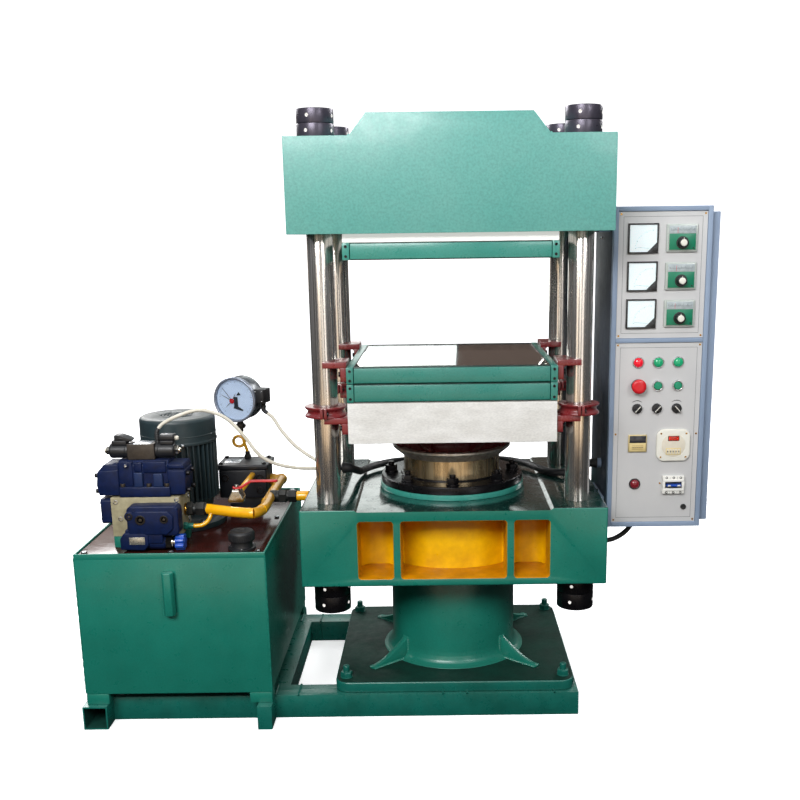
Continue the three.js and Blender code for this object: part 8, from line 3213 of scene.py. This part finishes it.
@dataclass(frozen=True)
class Studio:
    """White paper room, soft lamps, the surroundings that enamel and chrome mirror, and the camera.

    The room is round, so that each view has the same background. Only the camera sees it. The screens and the
    carpet are seen only as reflections.
    """

    floor: float = 0.0
    sky: float = 0.62
    horizon: float = 0.10
    ground: float = 0.03
    cove_start: float = 5.2
    cove_radius: float = 1.8
    turns: int = 96
    near_radius: float = 2.4
    near_glow: float = 0.55
    far_glow: float = 1.1
    eye: tuple[float, float, float] = (-0.0322, -2.7746, 1.2735)
    yaw: float = -0.0032
    pitch: float = 0.2223
    roll: float = -0.0132
    sensor_mm: float = 36.0
    focal_mm: float = 44.649
    shift: tuple[float, float] = (-0.0466, 0.075)

    def build(self) -> None:
        """Makes the room, the lamps and the camera."""
        self.sweep()
        self.world()
        self.lamp("key_soft", (-1.3, -3.7, 3.0), (0.0, 0.0, 0.85), (2.2, 1.3), 172)
        self.lamp("fill_soft", (1.9, -3.4, 2.6), (0.2, 0.0, 0.8), (1.2, 1.0), 34)
        self.lamp("top_soft", (-0.3, -0.3, 4.2), (-0.1, 0.0, 0.0), (2.6, 2.0), 44)
        self.lamp("rear_left_soft", (-2.5, 3.0, 2.9), (-0.3, 0.0, 0.7), (1.8, 1.2), 105)
        self.lamp("rear_right_soft", (2.5, 2.8, 2.9), (0.0, 0.0, 0.8), (1.8, 1.2), 105)
        self.screen("tan_wall_front_left", (-1.55, -3.55, 0.95), (1.5, 1.9), 24, "#dccdbb", 1.6)
        self.screen("pale_wall_front", (0.0, -3.9, 0.95), (1.1, 1.9), 0, "#dcd5cb", 1.2)
        self.screen("pale_wall_front_right", (1.45, -3.45, 0.95), (1.3, 1.9), -26, "#e2dcd6", 1.75)
        self.screen("white_wall_rear_left", (-0.445, 2.3, 1.45), (1.01, 1.0), 0, "#f1f6f2", 1.3)
        self.screen("grey_wall_rear_left", (-1.95, 2.3, 1.5), (0.7, 0.76), 0, "#d6c8bd", 0.85)
        self.screen("brown_wall_rear_right", (0.85, 2.3, 1.35), (1.56, 1.7), 0, "#5f5048", 0.24)
        self.carpet("tan_floor_front", (-2.6, -4.2), (2.4, -2.15), "#b79f7f", 1.0)
        self.camera()

    def sweep(self) -> None:
        """Makes the round floor that curves up into a wall and a dome, which the press does not mirror."""
        part = bmesh.new()
        line = [(r, self.floor) for r in (0.3, 1.0, 1.7, 2.3, 3.4, self.cove_start)]
        cove = self.cove_radius
        for k in range(1, 15):
            a = math.pi / 2 * k / 14
            line.append((self.cove_start + cove * math.sin(a), self.floor + cove - cove * math.cos(a)))
        line += [(7.0, 5.0), (6.4, 8.0), (4.0, 10.0), (0.3, 10.6)]
        around = [2 * math.pi * k / self.turns for k in range(self.turns)]
        rows = [[part.verts.new((r * math.cos(a), r * math.sin(a), z)) for a in around] for r, z in line]
        part.faces.new(rows[0])
        part.faces.new(list(reversed(rows[-1])))
        for low, high in zip(rows, rows[1:]):
            for k in range(self.turns):
                m = (k + 1) % self.turns
                part.faces.new((low[k], high[k], high[m], low[m]))
        bmesh.ops.recalc_face_normals(part, faces=part.faces)
        if part.faces[0].normal.z < 0:
            bmesh.ops.reverse_faces(part, faces=part.faces)
        mesh = bpy.data.meshes.new("studio_sweep")
        part.to_mesh(mesh)
        part.free()
        for name, glow in (("studio_floor", self.near_glow), ("studio_wall", self.far_glow)):
            paper = Glow(
                f"{name}_paper", "#f7f7f7", 0.85, 0.0, 1.5, "#f4f4f5", 400, 0.4, 4.0, 0.05, 0.1, 0.05,
                strength=glow,
            )
            mesh.materials.append(paper.material())
        for face in mesh.polygons:
            face.material_index = int(face.center.to_2d().length > self.near_radius or face.center.z > 1.0)
        mesh.shade_smooth()
        made = bpy.data.objects.new("studio_sweep", mesh)
        made.visible_diffuse = False
        made.visible_glossy = False
        made.visible_shadow = False
        bpy.context.scene.collection.objects.link(made)

    def world(self) -> None:
        """Sets the room's own light: bright overhead, dim at eye level, dark below."""
        room = bpy.data.worlds.new("workshop_daylight")
        room.use_nodes = True
        tree = room.node_tree
        tree.nodes.clear()
        place = add_node(tree, "ShaderNodeTexCoord", {})
        split = add_node(tree, "ShaderNodeSeparateXYZ", {}, {0: place.outputs["Generated"]})
        low = add_node(
            tree, "ShaderNodeMapRange", {1: -0.35, 2: 0.0, 3: self.ground, 4: self.horizon},
            {0: split.outputs[2]},
        )
        high = add_node(
            tree, "ShaderNodeMapRange", {1: 0.12, 2: 0.75, 3: 0.0, 4: self.sky - self.horizon},
            {0: split.outputs[2]},
        )
        total = add_node(
            tree, "ShaderNodeMath", {"operation": "ADD"}, {0: low.outputs[0], 1: high.outputs[0]},
        )
        glow = add_node(
            tree, "ShaderNodeBackground", {"Color": linear("#f0f4fa")}, {"Strength": total.outputs[0]},
        )
        add_node(tree, "ShaderNodeOutputWorld", {}, {"Surface": glow.outputs[0]})
        bpy.context.scene.world = room

    def lamp(self, name: str, at: Point, towards: Point, size: tuple[float, float], power: float) -> None:
        """Hangs one softbox.

        Args:
            name: its name.
            at: where it hangs.
            towards: what it points at.
            size: its width and height.
            power: its watts.
        """
        light = bpy.data.lights.new(name, "AREA")
        light.shape = "RECTANGLE"
        light.size, light.size_y = size
        light.energy = power
        made = bpy.data.objects.new(name, light)
        made.location = at
        made.rotation_euler = (Vector(towards) - Vector(at)).to_track_quat("-Z", "Y").to_euler()
        bpy.context.scene.collection.objects.link(made)

    def screen(
        self, name: str, at: Point, size: tuple[float, float], turn: float, colour: str, glow: float,
    ) -> None:
        """Stands a screen beside the press.

        Args:
            name: its name.
            at: its middle.
            size: its width and height.
            turn: its turn about the upright, in degrees.
            colour: its colour.
            glow: the strength of its own light.
        """
        w, h = size[0] / 2, size[1] / 2
        self.reflected(
            name, [(-w, 0, -h), (w, 0, -h), (w, 0, h), (-w, 0, h)], f"{name}_cloth", colour, glow, at, turn,
        )

    def carpet(
        self, name: str, low: tuple[float, float], high: tuple[float, float], colour: str, glow: float,
    ) -> None:
        """Lays a floor in front of the press.

        Args:
            name: its name.
            low: its nearest left corner.
            high: its farthest right corner.
            colour: its colour.
            glow: the strength of its own light.
        """
        z = -0.02
        corners = [(low[0], low[1], z), (high[0], low[1], z), (high[0], high[1], z), (low[0], high[1], z)]
        self.reflected(name, corners, f"{name}_boards", colour, glow)

    def reflected(
        self, name: str, corners: Sequence[Point], skin: str, colour: str, glow: float, at: Point = (0, 0, 0),
        turn: float = 0.0,
    ) -> None:
        """Makes a glowing sheet that is seen only in mirror bright steel and in the gloss of enamel.

        Args:
            name: its name.
            corners: its corners, before it is moved.
            skin: the name of its material.
            colour: its colour.
            glow: the strength of its own light.
            at: where its own origin stands.
            turn: its turn about the upright, in degrees.
        """
        part = bmesh.new()
        part.faces.new([part.verts.new(c) for c in corners])
        mesh = bpy.data.meshes.new(name)
        part.to_mesh(mesh)
        part.free()
        paint = Glow(skin, colour, 0.9, 0.0, 1.5, colour, 50, 0.3, 2.0, 0.1, 0.1, strength=glow)
        mesh.materials.append(paint.material())
        made = bpy.data.objects.new(name, mesh)
        made.location = at
        made.rotation_euler = (0, 0, math.radians(turn))
        made.visible_camera = False
        made.visible_diffuse = False
        made.visible_shadow = False
        bpy.context.scene.collection.objects.link(made)

    def camera(self) -> None:
        """Stands the camera where the photographer stood."""
        level = math.cos(self.pitch)
        forward = Vector((math.sin(self.yaw) * level, math.cos(self.yaw) * level, -math.sin(self.pitch)))
        right = forward.cross(Vector((0, 0, 1))).normalized()
        up = right.cross(forward)
        rolled_right = math.cos(self.roll) * right + math.sin(self.roll) * up
        rolled_up = -math.sin(self.roll) * right + math.cos(self.roll) * up
        view = Matrix((rolled_right, rolled_up, -forward)).transposed().to_4x4()
        lens = bpy.data.cameras.new("photo_camera")
        lens.sensor_fit = "HORIZONTAL"
        lens.sensor_width = self.sensor_mm
        lens.lens = self.focal_mm
        lens.shift_x, lens.shift_y = self.shift
        lens.clip_start, lens.clip_end = 0.05, 60.0
        made = bpy.data.objects.new("photo_camera", lens)
        made.matrix_world = Matrix.Translation(self.eye) @ view
        bpy.context.scene.collection.objects.link(made)
        bpy.context.scene.camera = made


def main() -> None:
    """Builds the room, the camera, the cords and every sub-assembly."""
    logging.basicConfig(level=logging.INFO, format="%(message)s")
    bpy.context.scene.view_settings.view_transform = "Standard"
    Studio().build()
    for run in CORDS:
        run.build()
    Skid().build()
    Pedestal().build()
    LowerBeam().build()
    Cylinder().build()
    Columns().build()
    UpperBeam().build()
    Platen("upper", Body.FRAME, 1.2166, 1.2596, enamel=MID_GREEN).build()
    Platen("middle", Body.MIDDLE, 0.9078, 0.9508).build()
    Platen("lower", Body.TABLE, 0.8605, 0.9075).build()
    RoughBoard("insulation_board", "upper_insulation", Body.FRAME, GLOWING_BOARD, 0.0011, 5).build()
    RoughBoard("table_block", "moving_table", Body.TABLE, WHITE, 0.0006, 9, EDGE_SHADE_WHITE).build()
    Guides().build()
    Seat().build()
    Ram().build()
    Tank().build()
    Motor().build()
    ValveStack().build()
    GaugePost().build()
    Pipework().build()
    CabinetShell().build()
    Door().build()


if __name__ == "__main__":
    main()
